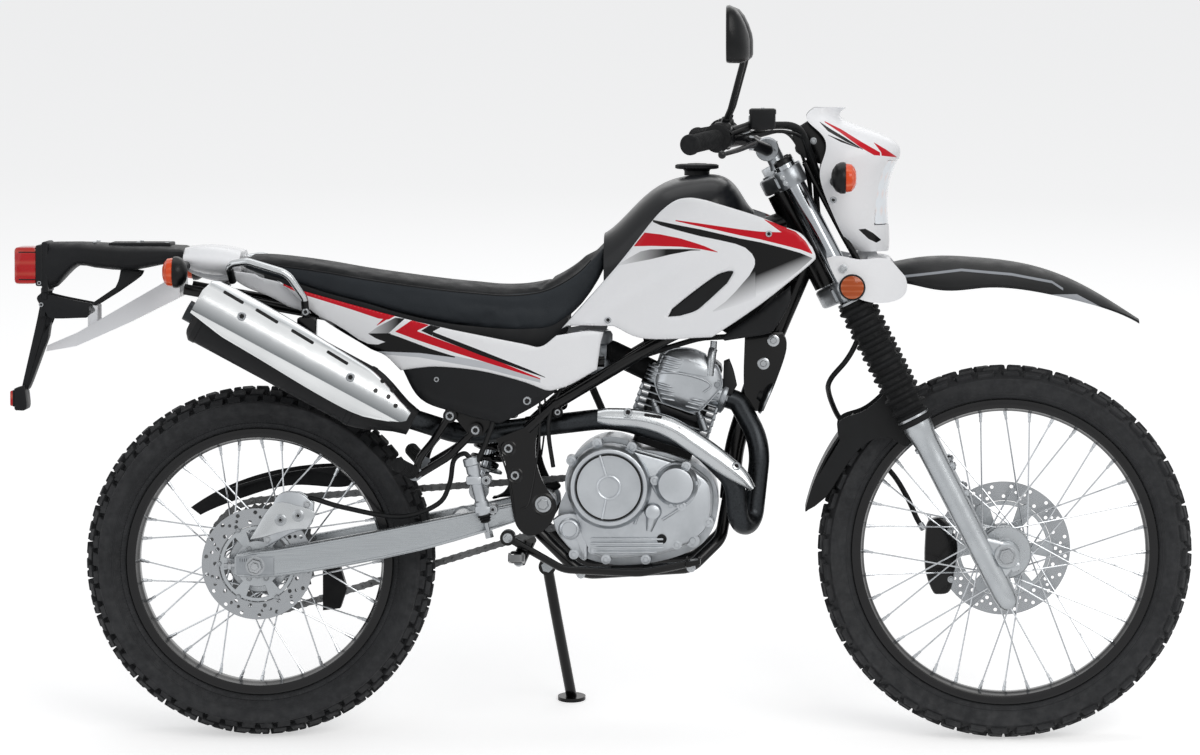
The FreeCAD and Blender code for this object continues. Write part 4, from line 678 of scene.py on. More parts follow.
black = {
    "frame": satinPaint("framePaint", "040405", 0.22, 0.1, "08090a").material,
    "moulding": grainedBlack("grainedMoulding").material,
    "smooth": grainedBlack("smoothMoulding", "08090a", 0.5, 0.32).material,
    "tank": satinPaint("tankSatin", "111316", 0.34, 0.15).material,
    "muffler": satinPaint("heatProofBlack", "0f1011", 0.46, 0.0).material,
    "rim": satinPaint("anodisedRim", "0a0a0c", 0.24, 0.2, "131417").material,
    "rubber": softRubber("softRubber").material,
    "hose": softRubber("hoseRubber", "08090a", 0.5, 0.5).material,
    "bar": satinPaint("barCoat", "0a0b0d", 0.34, 0.12).material,
}
metal = {
    "case": castMetal("caseSilver", "b3b7bb", 0.34, 0.9, "979b9f").material,
    "fin": castMetal("castFins", "9fa3a7", 0.38, 0.7, "7b7f83").material,
    "clamp": castMetal("forgedClamp", "94989c", 0.32, 0.8, "7c8084").material,
    "arm": brushedMetal("swingarmAlloy", "a5a9ac", 0.26, (0.015, 0.9, 0.9), (0, 11, 0), "8d9195").material,
    "leg": castMetal("forkSilver", "b0b4b7", 0.28, 1.6, "9b9fa3").material,
    "chrome": brushedMetal("hardChrome", "a3a7ab", 0.12, (0.05, 0.05, 1.4), (0, 27, 0), "8b8f93").material,
    "shield": satinMetal("shieldSatin", "b9bcbe", "a3a6a9").material,
    "pipe": brushedMetal("headerSteel", "2c2e30", 0.34, (0.3, 0.3, 0.3), (0, 0, 0), "3d4043").material,
    "spoke": brushedMetal("spokeSteel", "b9bcbf", 0.2, (0.4, 0.4, 0.4)).material,
    "zinc": castMetal("zincedBolt", "adb0b3", 0.26, 0.6, "85898c").material,
    "chain": castMetal("chainSteel", "6d6e6f", 0.34, 0.6, "444443").material,
    "frontDisc": turnedMetal("frontDiscSteel", "a4a7aa", frontAxle).material,
    "rearDisc": turnedMetal("rearDiscSteel", "a4a7aa", rearAxle).material,
}
lens = {
    "red": faintlyGlowingLens("redLens", "b00810", 6).material,
    "amber": faintlyGlowingLens("amberLens", "d8460c", 4).material,
    "reflector": faintlyGlowingLens("amberReflector", "a04410", 3).material,
    "clear": faintlyGlowingLens("clearLens", "e6ebf0", 9, 0.06).material,
}
print("materials ready")

# Stage: a pale floor, a soft studio and a camera at the photograph's side.

studio = {
    "camera": (983.0, -11000.0, 1282.0), "aim": (621.3, 0.0, 656.7),  # in the machine's own frame, mm
    "pictureWidth": 2192.0,  # mm seen across the picture at the machine
    "worldLevel": 0.4, "floorGlow": 0.52, "keyPower": 100.0, "fillPower": 16.0, "rimPower": 38.0,
}


def seenDirectly(tree):  # 1 for camera, glossy and transmission rays
    path = tree.nodes.new("ShaderNodeLightPath")
    total = path.outputs["Is Camera Ray"]
    for kind in ("Is Glossy Ray", "Is Transmission Ray"):
        more = tree.nodes.new("ShaderNodeMath")
        more.operation = "MAXIMUM"
        tree.links.new(total, more.inputs[0])
        tree.links.new(path.outputs[kind], more.inputs[1])
        total = more.outputs[0]
    return total


def makeStage():
    scene.view_settings.view_transform = "Standard"
    world = bpy.data.worlds.new("studioWorld")
    scene.world = world
    world.use_nodes = True
    nodes, links = world.node_tree.nodes, world.node_tree.links
    nodes.clear()
    lighting = nodes.new("ShaderNodeBackground")
    lighting.inputs["Color"].default_value = (0.97, 0.98, 1.0, 1)
    lighting.inputs["Strength"].default_value = studio["worldLevel"]
    backdrop = nodes.new("ShaderNodeBackground")
    backdrop.inputs["Color"].default_value = (1, 1, 1, 1)
    both = nodes.new("ShaderNodeMixShader")
    links.new(seenDirectly(world.node_tree), both.inputs["Fac"])
    links.new(lighting.outputs[0], both.inputs[1])
    links.new(backdrop.outputs[0], both.inputs[2])
    links.new(both.outputs[0], nodes.new("ShaderNodeOutputWorld").inputs["Surface"])

    data = bpy.data.meshes.new("studioFloor")
    reach = 30.0
    data.from_pydata([(-reach, -reach, 0), (reach, -reach, 0), (reach, reach, 0), (-reach, reach, 0)], [],
                     [(0, 1, 2, 3)])
    floor = bpy.data.objects.new("studioFloor", data)
    scene.collection.objects.link(floor)
    look = bpy.data.materials.new("paleFloor")
    look.use_nodes = True
    tree = look.node_tree
    shader = tree.nodes["Principled BSDF"]
    shader.inputs["Base Color"].default_value = (0.8, 0.8, 0.8, 1)
    shader.inputs["Roughness"].default_value = 0.9
    shader.inputs["Specular IOR Level"].default_value = 0.0
    glow = tree.nodes.new("ShaderNodeEmission")
    glow.inputs["Strength"].default_value = studio["floorGlow"]
    nothing = tree.nodes.new("ShaderNodeEmission")
    nothing.inputs["Strength"].default_value = 0
    shown = tree.nodes.new("ShaderNodeMixShader")
    tree.links.new(seenDirectly(tree), shown.inputs["Fac"])
    tree.links.new(nothing.outputs[0], shown.inputs[1])
    tree.links.new(glow.outputs[0], shown.inputs[2])
    total = tree.nodes.new("ShaderNodeAddShader")
    tree.links.new(shader.outputs[0], total.inputs[0])
    tree.links.new(shown.outputs[0], total.inputs[1])
    tree.links.new(total.outputs[0], tree.nodes["Material Output"].inputs["Surface"])
    data.materials.append(look)

    for name, spot, aim, size, power, colour in (
        ("keyLight", (2.4, -3.6, 3.6), (0.0, 0, 0.6), (3.4, 2.2), studio["keyPower"], (1, 0.985, 0.965)),
        ("fillLight", (-3.4, -3.0, 2.2), (-0.1, 0, 0.6), (2.6, 2.6), studio["fillPower"], (0.95, 0.97, 1)),
        ("topLight", (0.0, 0.6, 4.2), (0, 0, 0.5), (4.0, 2.4), studio["rimPower"], (1, 1, 1)),
        ("backLight", (0.5, 4.0, 2.6), (0, 0, 0.7), (3.6, 2.0), studio["fillPower"], (1, 1, 1)),
    ):
        light = bpy.data.lights.new(name, "AREA")
        light.shape = "RECTANGLE"
        light.size, light.size_y = size
        light.energy = power
        light.color = colour
        lamp = bpy.data.objects.new(name, light)
        scene.collection.objects.link(lamp)
        lamp.location = spot
        lamp.rotation_mode = "QUATERNION"
        lamp.rotation_quaternion = (Vector(aim) - Vector(spot)).to_track_quat("-Z", "Y")

    camera = bpy.data.objects.new("photoCamera", bpy.data.cameras.new("photoCamera"))
    scene.collection.objects.link(camera)
    spot, aim = Vector(studio["camera"]), Vector(studio["aim"])
    gaze = (aim - spot).to_track_quat("-Z", "Y").to_matrix().to_4x4()
    turn = leanTurn @ gaze
    camera.matrix_world = Matrix.Translation(parked @ spot) @ turn
    camera.data.sensor_width = 36
    camera.data.lens = 36 * (aim - spot).length / studio["pictureWidth"]
    camera.data.clip_end = 100
    scene.camera = camera


makeStage()

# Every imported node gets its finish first; finer pieces then take the place of most.

finishOf = {
    black["frame"]: "frame_backbone frame_cradle frame_rails subframe side_stand",
    metal["arm"]: "swingarm", metal["zinc"]: "shock_absorber footrests rear_brake front_caliper",
    metal["case"]: "crankcase engine_covers", metal["fin"]: "cylinder", black["rubber"]: "intake grips fork_boots",
    metal["pipe"]: "exhaust_pipe", black["muffler"]: "muffler", metal["shield"]: "exhaust_shields grab_rails",
    black["tank"]: "fuel_tank seat",
    black["moulding"]: "fuel_cap lower_covers tail_bracket chain_guards fender_blades gauge",
    black["smooth"]: "hand_controls mirrors", black["hose"]: "brake_hose", black["bar"]: "handlebar",
    metal["clamp"]: "triple_clamps", metal["chrome"]: "fork_tubes", metal["leg"]: "fork_lowers",
    lens["red"]: "rear_lamps", lens["amber"]: "rear_signals front_signals", lens["clear"]: "headlight_lens",
    black["rim"]: "front_rim rear_rim", metal["spoke"]: "front_hub rear_hub", metal["frontDisc"]: "front_disc",
    metal["rearDisc"]: "rear_disc rear_sprocket", metal["chain"]: "chain",
}
plainWhite = glossWhite("whitePanel").material
finishes = {name: plainWhite for name in ("tank_shrouds", "side_panels", "tail_cowl", "rear_fender", "headlight_cowl",
                                          "front_fender")}
for look, names in finishOf.items():
    finishes.update({name: look for name in names.split()})
tyreRubber = softRubber("tyreRubber", "0e0f10", 1.2, 0.78).material
finishes.update({"front_tyre": tyreRubber, "rear_tyre": tyreRubber})
for name, node in frame["nodes"].items():
    node.data.materials.clear()
    node.data.materials.append(finishes[name])
print("finishes laid on", len(finishes), "nodes")

# Geometry Nodes for whatever repeats.

def newTree(name, sockets):
    tree = bpy.data.node_groups.new(name, "GeometryNodeTree")
    tree.interface.new_socket("Geometry", in_out="INPUT", socket_type="NodeSocketGeometry")
    for label, kind in sockets:
        tree.interface.new_socket(label, in_out="INPUT", socket_type="NodeSocket" + kind)
    tree.interface.new_socket("Geometry", in_out="OUTPUT", socket_type="NodeSocketGeometry")
    start = tree.nodes.new("NodeGroupInput")
    finish = tree.nodes.new("NodeGroupOutput")
    return tree, start, finish


def treeNode(tree, kind, links=None, **settings):
    made = tree.nodes.new(kind)
    for key, value in settings.items():
        setattr(made, key, value)
    for key, value in (links or {}).items():
        if isinstance(value, bpy.types.NodeSocket):
            tree.links.new(value, made.inputs[key])
        else:
            made.inputs[key].default_value = value
    return made


def finishTree(tree, start, finish, instances):
    solid = treeNode(tree, "GeometryNodeRealizeInstances", {"Geometry": instances})
    painted = treeNode(tree, "GeometryNodeSetMaterial", {
        "Geometry": solid.outputs["Geometry"], "Material": start.outputs["Finish"]})
    tree.links.new(painted.outputs["Geometry"], finish.inputs["Geometry"])


def roundTree():  # copies of a unit, turned evenly about the Y axis
    tree, start, finish = newTree("roundTheAxle", [
        ("Unit", "Object"), ("Count", "Int"), ("First", "Float"), ("Finish", "Material")])
    spots = treeNode(tree, "GeometryNodePoints", {"Count": start.outputs["Count"]})
    index = treeNode(tree, "GeometryNodeInputIndex")
    step = treeNode(tree, "ShaderNodeMath", {0: 2 * math.pi, 1: start.outputs["Count"]}, operation="DIVIDE")
    turn = treeNode(tree, "ShaderNodeMath", {
        0: index.outputs["Index"], 1: step.outputs[0], 2: start.outputs["First"]}, operation="MULTIPLY_ADD")
    spin = treeNode(tree, "ShaderNodeCombineXYZ", {"Y": turn.outputs[0]})
    unit = treeNode(tree, "GeometryNodeObjectInfo", {"Object": start.outputs["Unit"]})
    copies = treeNode(tree, "GeometryNodeInstanceOnPoints", {
        "Points": spots.outputs[0], "Instance": unit.outputs["Geometry"], "Rotation": spin.outputs[0]})
    finishTree(tree, start, finish, copies.outputs["Instances"])
    return tree


def strewnTree():  # a unit on every point, its Z along the point's aim
    tree, start, finish = newTree("unitOnPoints", [("Unit", "Object"), ("Finish", "Material")])
    aim = treeNode(tree, "GeometryNodeInputNamedAttribute", {"Name": "aim"}, data_type="FLOAT_VECTOR")
    grow = treeNode(tree, "GeometryNodeInputNamedAttribute", {"Name": "grow"}, data_type="FLOAT")
    turn = treeNode(tree, "FunctionNodeAlignRotationToVector", {"Vector": aim.outputs[0]}, axis="Z")
    unit = treeNode(tree, "GeometryNodeObjectInfo", {"Object": start.outputs["Unit"]})
    copies = treeNode(tree, "GeometryNodeInstanceOnPoints", {
        "Points": start.outputs["Geometry"], "Instance": unit.outputs["Geometry"],
        "Rotation": turn.outputs["Rotation"], "Scale": grow.outputs[0]})
    finishTree(tree, start, finish, copies.outputs["Instances"])
    return tree


def pathTree():  # units along a closed line, each turned to follow it
    tree, start, finish = newTree("unitsAlongPath", [
        ("Unit", "Object"), ("Count", "Int"), ("Odd", "Int"), ("Finish", "Material")])
    line = treeNode(tree, "GeometryNodeMeshToCurve", {"Mesh": start.outputs["Geometry"]})
    spots = treeNode(tree, "GeometryNodeCurveToPoints", {"Curve": line.outputs[0], "Count": start.outputs["Count"]})
    index = treeNode(tree, "GeometryNodeInputIndex")
    parity = treeNode(tree, "ShaderNodeMath", {0: index.outputs[0], 1: 2.0}, operation="MODULO")
    wanted = treeNode(tree, "ShaderNodeMath", {0: parity.outputs[0], 1: start.outputs["Odd"], 2: 0.1},
                      operation="COMPARE")
    turn = treeNode(tree, "FunctionNodeAlignRotationToVector", {"Vector": spots.outputs["Tangent"]}, axis="X")
    unit = treeNode(tree, "GeometryNodeObjectInfo", {"Object": start.outputs["Unit"]})
    copies = treeNode(tree, "GeometryNodeInstanceOnPoints", {
        "Points": spots.outputs["Points"], "Selection": wanted.outputs[0],
        "Instance": unit.outputs["Geometry"], "Rotation": turn.outputs["Rotation"]})
    finishTree(tree, start, finish, copies.outputs["Instances"])
    return tree


trees = {"round": roundTree(), "strewn": strewnTree(), "path": pathTree()}


def grown(kind, unit, look, start=None, sharp=32.0, **values):  # the mesh a tree makes from a unit Shape
    model = bpy.data.objects.new("unit", unit.mesh("unit", sharp, unturned))
    holder = bpy.data.objects.new("holder", start or bpy.data.meshes.new("start"))
    for item in (model, holder):
        scene.collection.objects.link(item)
    modifier = holder.modifiers.new("nodes", "NODES")
    modifier.node_group = trees[kind]
    values.update({"Unit": model, "Finish": look})
    for item in trees[kind].interface.items_tree:
        if item.in_out == "INPUT" and item.name in values:
            modifier[item.identifier] = values[item.name]
    bpy.context.view_layer.update()
    mesh = evaluated(holder)
    for item in (model, holder):
        bpy.data.objects.remove(item)
    return mesh


def joined(name, meshes, place=None):  # several meshes as one, in the parked frame
    whole = bmesh.new()
    looks = []
    for mesh in meshes:
        start = len(whole.faces)
        whole.from_mesh(mesh)
        whole.faces.ensure_lookup_table()
        for face in whole.faces[start:]:
            look = mesh.materials[min(face.material_index, len(mesh.materials) - 1)]
            if look not in looks:
                looks.append(look)
            face.material_index = looks.index(look)
    data = bpy.data.meshes.new(name)
    whole.to_mesh(data)
    whole.free()
    for look in looks:
        data.materials.append(look)
    data.transform(parked if place is None else place)
    return data


def strewn(unit, look, spots, sharp=32.0):  # spots: point, aim and size of each copy
    start = bpy.data.meshes.new("spots")
    start.from_pydata([spot[0] for spot in spots], [], [])
    aim = start.attributes.new("aim", "FLOAT_VECTOR", "POINT")
    aim.data.foreach_set("vector", [part for spot in spots for part in spot[1]])
    grow = start.attributes.new("grow", "FLOAT", "POINT")
    grow.data.foreach_set("value", [spot[2] for spot in spots])
    start.update()
    return grown("strewn", unit, look, start, sharp)


def piece(name, meshes, body, slot, replaces=(), place=None):
    made = bpy.data.objects.new(name, joined(name, meshes, place))
    return placed(made, body, replaces)


hexBolt = Shape(metal["zinc"]).bolt((0, 0, 0), (0, 0, 1), 1.0)
socketBolt = Shape(metal["zinc"]).bolt((0, 0, 0), (0, 0, 1), 1.0, "socket")

# Wheels: lugged tyres, black rims, laced spokes, drilled discs.

wheels = {
    "front": {"centre": frontAxle, "radius": 341.0, "half": 39.6, "seat": 266.25, "bead": 23.75, "lug": 7.5,
              "pitches": 24, "rimHalf": 28.0, "flange": 48.0, "offset": 30.0, "shoulder": 31.0, "side": 37.5,
              "blocks": ((-7, 7, 0.04, 0.30, 0.05), (3, 14, 0.36, 0.62, -0.06), (-14, -3, 0.36, 0.62, 0.06),
                         (-6, 6, 0.70, 0.94, -0.05), (17, 27, 0.10, 0.40, 0.05), (-27, -17, 0.16, 0.46, -0.05),
                         (18, 27, 0.60, 0.90, 0.0), (-27, -18, 0.66, 0.96, 0.0),
                         (30, 39, 0.02, 0.34, 0.04), (30, 37, 0.50, 0.82, -0.04),
                         (-39, -30, 0.26, 0.58, -0.04), (-37, -30, 0.74, 1.06, 0.04))},
    "rear": {"centre": rearAxle, "radius": 320.5, "half": 59.6, "seat": 231.25, "bead": 31.75, "lug": 9.5,
             "pitches": 29, "rimHalf": 36.0, "flange": 56.0, "offset": 34.0, "shoulder": 50.0, "side": 57.0,
             "blocks": ((-9, 9, 0.04, 0.34, 0.06), (3, 19, 0.44, 0.70, -0.06), (-19, -3, 0.44, 0.70, 0.06),
                        (-8, 8, 0.78, 0.95, 0.0), (22, 36, 0.06, 0.40, 0.05), (-36, -22, 0.12, 0.46, -0.05),
                        (23, 36, 0.56, 0.88, -0.03), (-36, -23, 0.62, 0.94, 0.03),
                        (40, 57, 0.02, 0.38, 0.06), (40, 53, 0.52, 0.86, -0.04),
                        (-57, -40, 0.27, 0.63, -0.06), (-53, -40, 0.77, 1.11, 0.04))},
}


def tyreLug(shape, spec, low, high, start, end, skew):  # one block: eased top edge, drafted sides
    ring = spec["radius"] - stance["crown"]
    step = 2 * math.pi / spec["pitches"]
    middle = (low + high) / 2

    def spot(side, way, depth):
        lean = math.radians(side)
        reach = ring + (stance["crown"] - depth) * math.cos(lean)
        width = (stance["crown"] - depth) * math.sin(lean)
        turn = way * step
        return (reach * math.cos(turn), width, reach * math.sin(turn))
    rings = []
    tilt = 0.9
    for depth, grow in ((spec["lug"] + 2.5, 1.7), (1.0, 0.0), (0.0, -0.9)):
        more = math.degrees(grow / stance["crown"])
        further = grow / (spec["radius"] * step)
        corners = ((low - more, start - further), (high + more, start - further),
                   (high + more, end + further), (low - more, end + further))
        rings.append([spot(side, way + skew * (side - middle) / (high - low) * tilt, depth) for side, way in corners])
    shape.loft(rings)


def tyreCarcass(spec):
    height = spec["radius"] - spec["seat"]
    flange = spec["seat"] + 13.75
    right = [(spec["seat"], spec["bead"] - 6), (spec["seat"], spec["bead"]), (flange, spec["bead"]),
             (flange + 0.5, spec["rimHalf"] - 2), (flange + 3.5, spec["rimHalf"] + 1.5),
             (flange + 7, spec["rimHalf"] + 3.2), (flange + 9, spec["rimHalf"] + 4.5),
             (flange + 10, spec["rimHalf"] + 3.6)]
    right += [(spec["seat"] + 0.47 * height, spec["half"] - 3.2), (spec["seat"] + 0.56 * height, spec["half"] - 1.2),
              (spec["seat"] + 0.63 * height, spec["half"] - 0.9), (spec["seat"] + 0.645 * height, spec["half"] - 0.2),
              (spec["seat"] + 0.68 * height, spec["half"] - 0.4), (spec["seat"] + 0.695 * height, spec["half"] - 1.6)]
    crown = stance["crown"] - spec["lug"]
    turn = spec["side"] - 2
    while turn > 0:
        lean = math.radians(turn)
        radial = spec["radius"] - stance["crown"] + crown * math.cos(lean)
        if radial > right[-1][0] + 1.5:
            right.append((radial, crown * math.sin(lean)))
        turn -= 6
    return right + [(spec["radius"] - spec["lug"], 0)] + [(radial, -side) for radial, side in reversed(right)]


def tyreLook(name, centre, radius):
    look = Look(name, tint("1b1c1e"), 0.74, Specular_IOR_Level=0.4)
    worn(look, tint("2b2c2e"), 60.0, 0.8)
    x, y, z = look.axes()
    ahead, up = x - centre.x, z - centre.z
    reach = look.maths("SQRT", ahead * ahead + up * up)
    spin = look.maths("ARCTAN2", up, ahead)
    ribs = look.maths("PINGPONG", spin * 90.0, 1.0)  # fine radial ribs low on the wall
    where = look.scaled(reach, radius - 74, radius - 70) * look.scaled(reach, radius - 58, radius - 62)
    look.bump(ribs * where, 0.5)
    rings = look.maths("PINGPONG", reach, 1.4)
    look.bump(rings * look.scaled(reach, radius - 46, radius - 50) * look.scaled(reach, radius - 58, radius - 54), 0.35)
    look.bump(look.noise(0.9, 4.0), 0.07)
    dust = look.noise(6.0, 4.0)
    look.paint(look.scaled(dust, 0.5, 0.8, (0.0, 0.35)), tint("34363a"))
    return look.material


def makeTyre(which):
    spec = wheels[which]
    look = tyreLook(which + "TyreRubber", spec["centre"], spec["radius"])
    unit = Shape(look)
    for block in spec["blocks"]:
        tyreLug(unit, spec, *block)
    lugs = grown("round", unit, look, Count=spec["pitches"], First=0.0, sharp=20.0)
    carcass = Shape(look)
    carcass.ring(tyreCarcass(spec), (0, 0, 0), (0, 1, 0), 144)
    place = parked @ Matrix.Translation(spec["centre"])
    piece(which + "LuggedTyre", [carcass.mesh("carcass", 40, unturned), lugs], which + "_wheel",
          "tyre_rubber", [which + "_tyre"], place)


def makeRim(which):
    spec = wheels[which]
    shape = Shape(black["rim"])
    seat, half = spec["seat"] - 0.25, spec["rimHalf"]
    flange = seat + 13
    right = [(seat - 9.4, half * 0.3), (seat - 9, half * 0.42), (seat - 7.2, half * 0.52), (seat - 4.5, half - 4.5),
             (seat - 3.5, half - 1.2), (seat - 1.5, half - 0.2), (flange - 3, half), (flange - 0.8, half - 0.2),
             (flange, half - 1), (flange + 0.2, half - 2.4), (flange - 0.8, half - 3.8), (flange - 3, half - 4),
             (seat + 0.2, half - 4), (seat, half - 6)]
    shape.ring([(r, y) for r, y in right] + [(r, -y) for r, y in reversed(right)], (0, 0, 0), (0, 1, 0), 144)
    dimple = Shape(metal["spoke"])
    step = 2 * math.pi / 36  # between two spokes
    for index in range(4):
        flangeSide = 1 if index % 2 else -1
        pull = 1 if (index // 2) % 2 else -1
        hubTurn = step * index + pull * math.radians(58)
        hub, rim = spec["flange"] - 4, seat - 9.75
        start = Vector((hub * math.cos(hubTurn), spec["offset"] * flangeSide + 5 * pull * flangeSide,
                        hub * math.sin(hubTurn)))
        end = Vector((rim * math.cos(step * index), 6.5 * flangeSide, rim * math.sin(step * index)))
        way = (end - start).normalized()
        dimple.tube([start, start + way * 14, end - way * 26, end], [1.9, 1.45, 1.45, 1.45], 8)
        dimple.lathe([(1.4, -17), (2.6, -16.4), (2.6, -8), (3.3, -7.2), (3.3, 0.4)], end, way, 8)
        dimple.lathe([(0, -2.2), (3.2, -1.6), (3.2, 0.8), (1.6, 1.4)], start,
                     (0, 1 if pull * flangeSide > 0 else -1, 0), 10)
    laced = grown("round", dimple, metal["spoke"], Count=9, First=0.0)
    place = parked @ Matrix.Translation(spec["centre"])
    piece(which + "BlackRim", [shape.mesh("rim", 30, unturned)], which + "_wheel", which + "_rim",
          [which + "_rim"], place)
    hub = Shape(metal["leg"])
    flange, offset = spec["flange"], spec["offset"]
    end = 56 if which == "front" else 70
    hub.ring([(9, -end), (20, -end), (22, -end + 2), (24, -offset - 12), (27, -offset - 9), (flange - 2, -offset - 8.5),
              (flange, -offset - 6.5), (flange, -offset + 6.5), (flange - 2, -offset + 8.5),
              (flange * 0.66, -offset + 10),
              (flange * 0.56, -offset + 18), (flange * 0.52, 0), (flange * 0.56, offset - 18),
              (flange * 0.66, offset - 10),
              (flange - 2, offset - 8.5), (flange, offset - 6.5), (flange, offset + 6.5), (flange - 2, offset + 8.5),
              (27, offset + 9), (24, offset + 12), (22, end - 2), (20, end), (9, end)], (0, 0, 0), (0, 1, 0), 64)
    piece(which + "LacedHub", [hub.mesh("hub", 30, unturned), laced], which + "_wheel", which + "_hub",
          [which + "_hub"], place)


def pierced(shape, path, holes, low, high, edge=0.6):  # a flat plate with holes, in the side view
    loops = [path] + list(holes)
    flat, links = filled(loops)
    found = delaunay_2d_cdt([Vector(point) for point in flat], links, [], 0, 1e-4)
    faces = cutFaces(found, path, holes)
    inset = {}
    for loop, way in zip(loops, [1] + [-1] * len(holes)):
        for before, after in zip(loop, shrunk(loop, edge * way)):
            inset[(round(before[0], 3), round(before[1], 3))] = after
    spots = [tuple(point) for point in found[0]]
    eased = [inset.get((round(x, 3), round(z, 3)), (x, z)) for x, z in spots]
    count = len(spots)
    points = ([(x, high, z) for x, z in eased] + [(x, high - edge, z) for x, z in spots]
              + [(x, low + edge, z) for x, z in spots] + [(x, low, z) for x, z in eased])
    pairs = {(a, b) for face in faces for a, b in zip(face, face[1:] + face[:1])}
    walls = []
    for a, b in pairs:
        if (b, a) not in pairs:
            for level in range(3):
                walls.append([level * count + a, level * count + b, (level + 1) * count + b, (level + 1) * count + a])
    return shape.add(points, faces + [[3 * count + k for k in reversed(face)] for face in faces] + walls)


def arcBand(inner, outer, start, end, steps=8):
    turns = [math.radians(start + (end - start) * k / steps) for k in range(steps + 1)]
    return ([(outer * math.cos(t), outer * math.sin(t)) for t in turns]
            + [(inner * math.cos(t), inner * math.sin(t)) for t in reversed(turns)])


discs = {
    "front": {"outer": 122.5, "inner": 88.0, "side": 62.0, "look": "frontDisc", "rows": 20, "carrier": 6, "boss": 41.0},
    "rear": {"outer": 101.5, "inner": 70.0, "side": -80.0, "look": "rearDisc", "rows": 18, "carrier": 6, "boss": 36.0},
}


def makeDisc(which):
    spec = discs[which]
    look = metal[spec["look"]]
    shape = Shape(look)
    outer = circle((0, 0), spec["outer"], 96)
    holes = [circle((0, 0), spec["inner"], 72)]
    width = spec["outer"] - spec["inner"]
    for row in range(spec["rows"]):
        for place in range(3):
            reach = spec["inner"] + width * (0.22 + 0.27 * place)
            turn = 2 * math.pi * (row + 0.3 * place + (0.5 if row % 2 else 0) * (place == 1)) / spec["rows"]
            holes.append(circle((reach * math.cos(turn), reach * math.sin(turn)), 3.5 if place != 1 else 2.9, 12))
    low = spec["side"] - 2
    pierced(shape, outer, holes, low, low + 4, 0.4)
    shape.use(metal["leg"])
    windows = [arcBand(spec["boss"] + 6, spec["inner"] - 8, 360 / spec["carrier"] * k + 11,
                       360 / spec["carrier"] * (k + 1) - 11) for k in range(spec["carrier"])]
    teeth = []
    for k in range(120):
        turn = 2 * math.pi * k / 120
        bump = 3.5 if k % 20 in (0, 1, 19) else -1.0
        teeth.append(((spec["inner"] + bump) * math.cos(turn), (spec["inner"] + bump) * math.sin(turn)))
    inward = 1 if spec["side"] < 0 else -1
    plate = spec["side"] + inward * 4.2
    pierced(shape, teeth, windows + [circle((0, 0), 26, 32)], plate - 1.8, plate + 1.8, 0.6)
    outward = -inward
    bolts = []
    for k in range(spec["carrier"]):
        turn = 2 * math.pi * k / spec["carrier"]
        bolts.append(((spec["boss"] * 0.86 * math.cos(turn), plate + outward * 1.8,
                       spec["boss"] * 0.86 * math.sin(turn)),
                      (0, outward, 0), 5.2))
        rivet = (spec["inner"] + 0.5)
        bolts.append(((rivet * math.cos(turn), spec["side"] + outward * 1.8, rivet * math.sin(turn)), (0, outward, 0),
                      4.6))
    heads = strewn(socketBolt, metal["zinc"], bolts)
    piece(which + "DrilledDisc", [shape.mesh("disc", 30, unturned), heads], which + "_wheel",
          which + "_disc", [which + "_disc"], parked @ Matrix.Translation(wheels[which]["centre"]))


drive = {"chainSide": 76.0, "pitchRadius": 104.9, "teeth": 41, "smallRadius": 37.2, "smallCentre": (590.0, 432.0),
         "links": 104}


def makeSprocket():
    shape = Shape(metal["chain"])
    teeth = []
    for k in range(drive["teeth"] * 4):
        turn = 2 * math.pi * k / (drive["teeth"] * 4)
        reach = (94.5, 96.5, 100.0, 96.5)[k % 4]
        teeth.append((reach * math.cos(turn), reach * math.sin(turn)))
    holes = [circle((0, 0), 35, 40)]
    for k in range(6):
        turn = math.pi / 3 * k
        holes.append(circle((62 * math.cos(turn), 62 * math.sin(turn)), 11, 20))
        holes.append(circle((76 * math.cos(turn + 0.52), 76 * math.sin(turn + 0.52)), 7, 16))
    side = drive["chainSide"]
    pierced(shape, teeth, holes, side - 3, side + 3, 0.8)
    heads = strewn(hexBolt, metal["zinc"], [((47 * math.cos(t), side + 3, 47 * math.sin(t)), (0, 1, 0), 6.5)
                                             for t in [math.pi / 3 * k + 0.5 for k in range(6)]])
    piece("toothedSprocket", [shape.mesh("sprocket", 30, unturned), heads], "rear_wheel", "rear_sprocket",
          ["rear_sprocket"], parked @ Matrix.Translation(rearAxle))


def chainLink(width):  # two waisted plates and the rollers between them
    link = Shape(metal["chain"])
    pitch = 15.6
    plate = []
    for k in range(16):
        turn = 2 * math.pi * k / 16
        centre = pitch / 2 if math.cos(turn) > 0.05 else -pitch / 2 if math.cos(turn) < -0.05 else 0
        reach = 7.0 if abs(math.cos(turn)) > 0.05 else 5.4
        plate.append((centre + reach * math.cos(turn) * (1 if centre else 0), reach * math.sin(turn)))
    for side in (-1, 1):
        low = side * width / 2
        link.slab(plate, low - 0.9, low + 0.9)
        for end in (-1, 1):
            link.lathe([(2.6, 0.9), (2.6, 1.7), (1.9, 2.1)], (end * pitch / 2, low, 0), (0, side, 0), 8)
    link.lathe([(5.0, -3.4), (5.0, 3.4)], (pitch / 2, 0, 0), (0, 1, 0), 8)
    return link


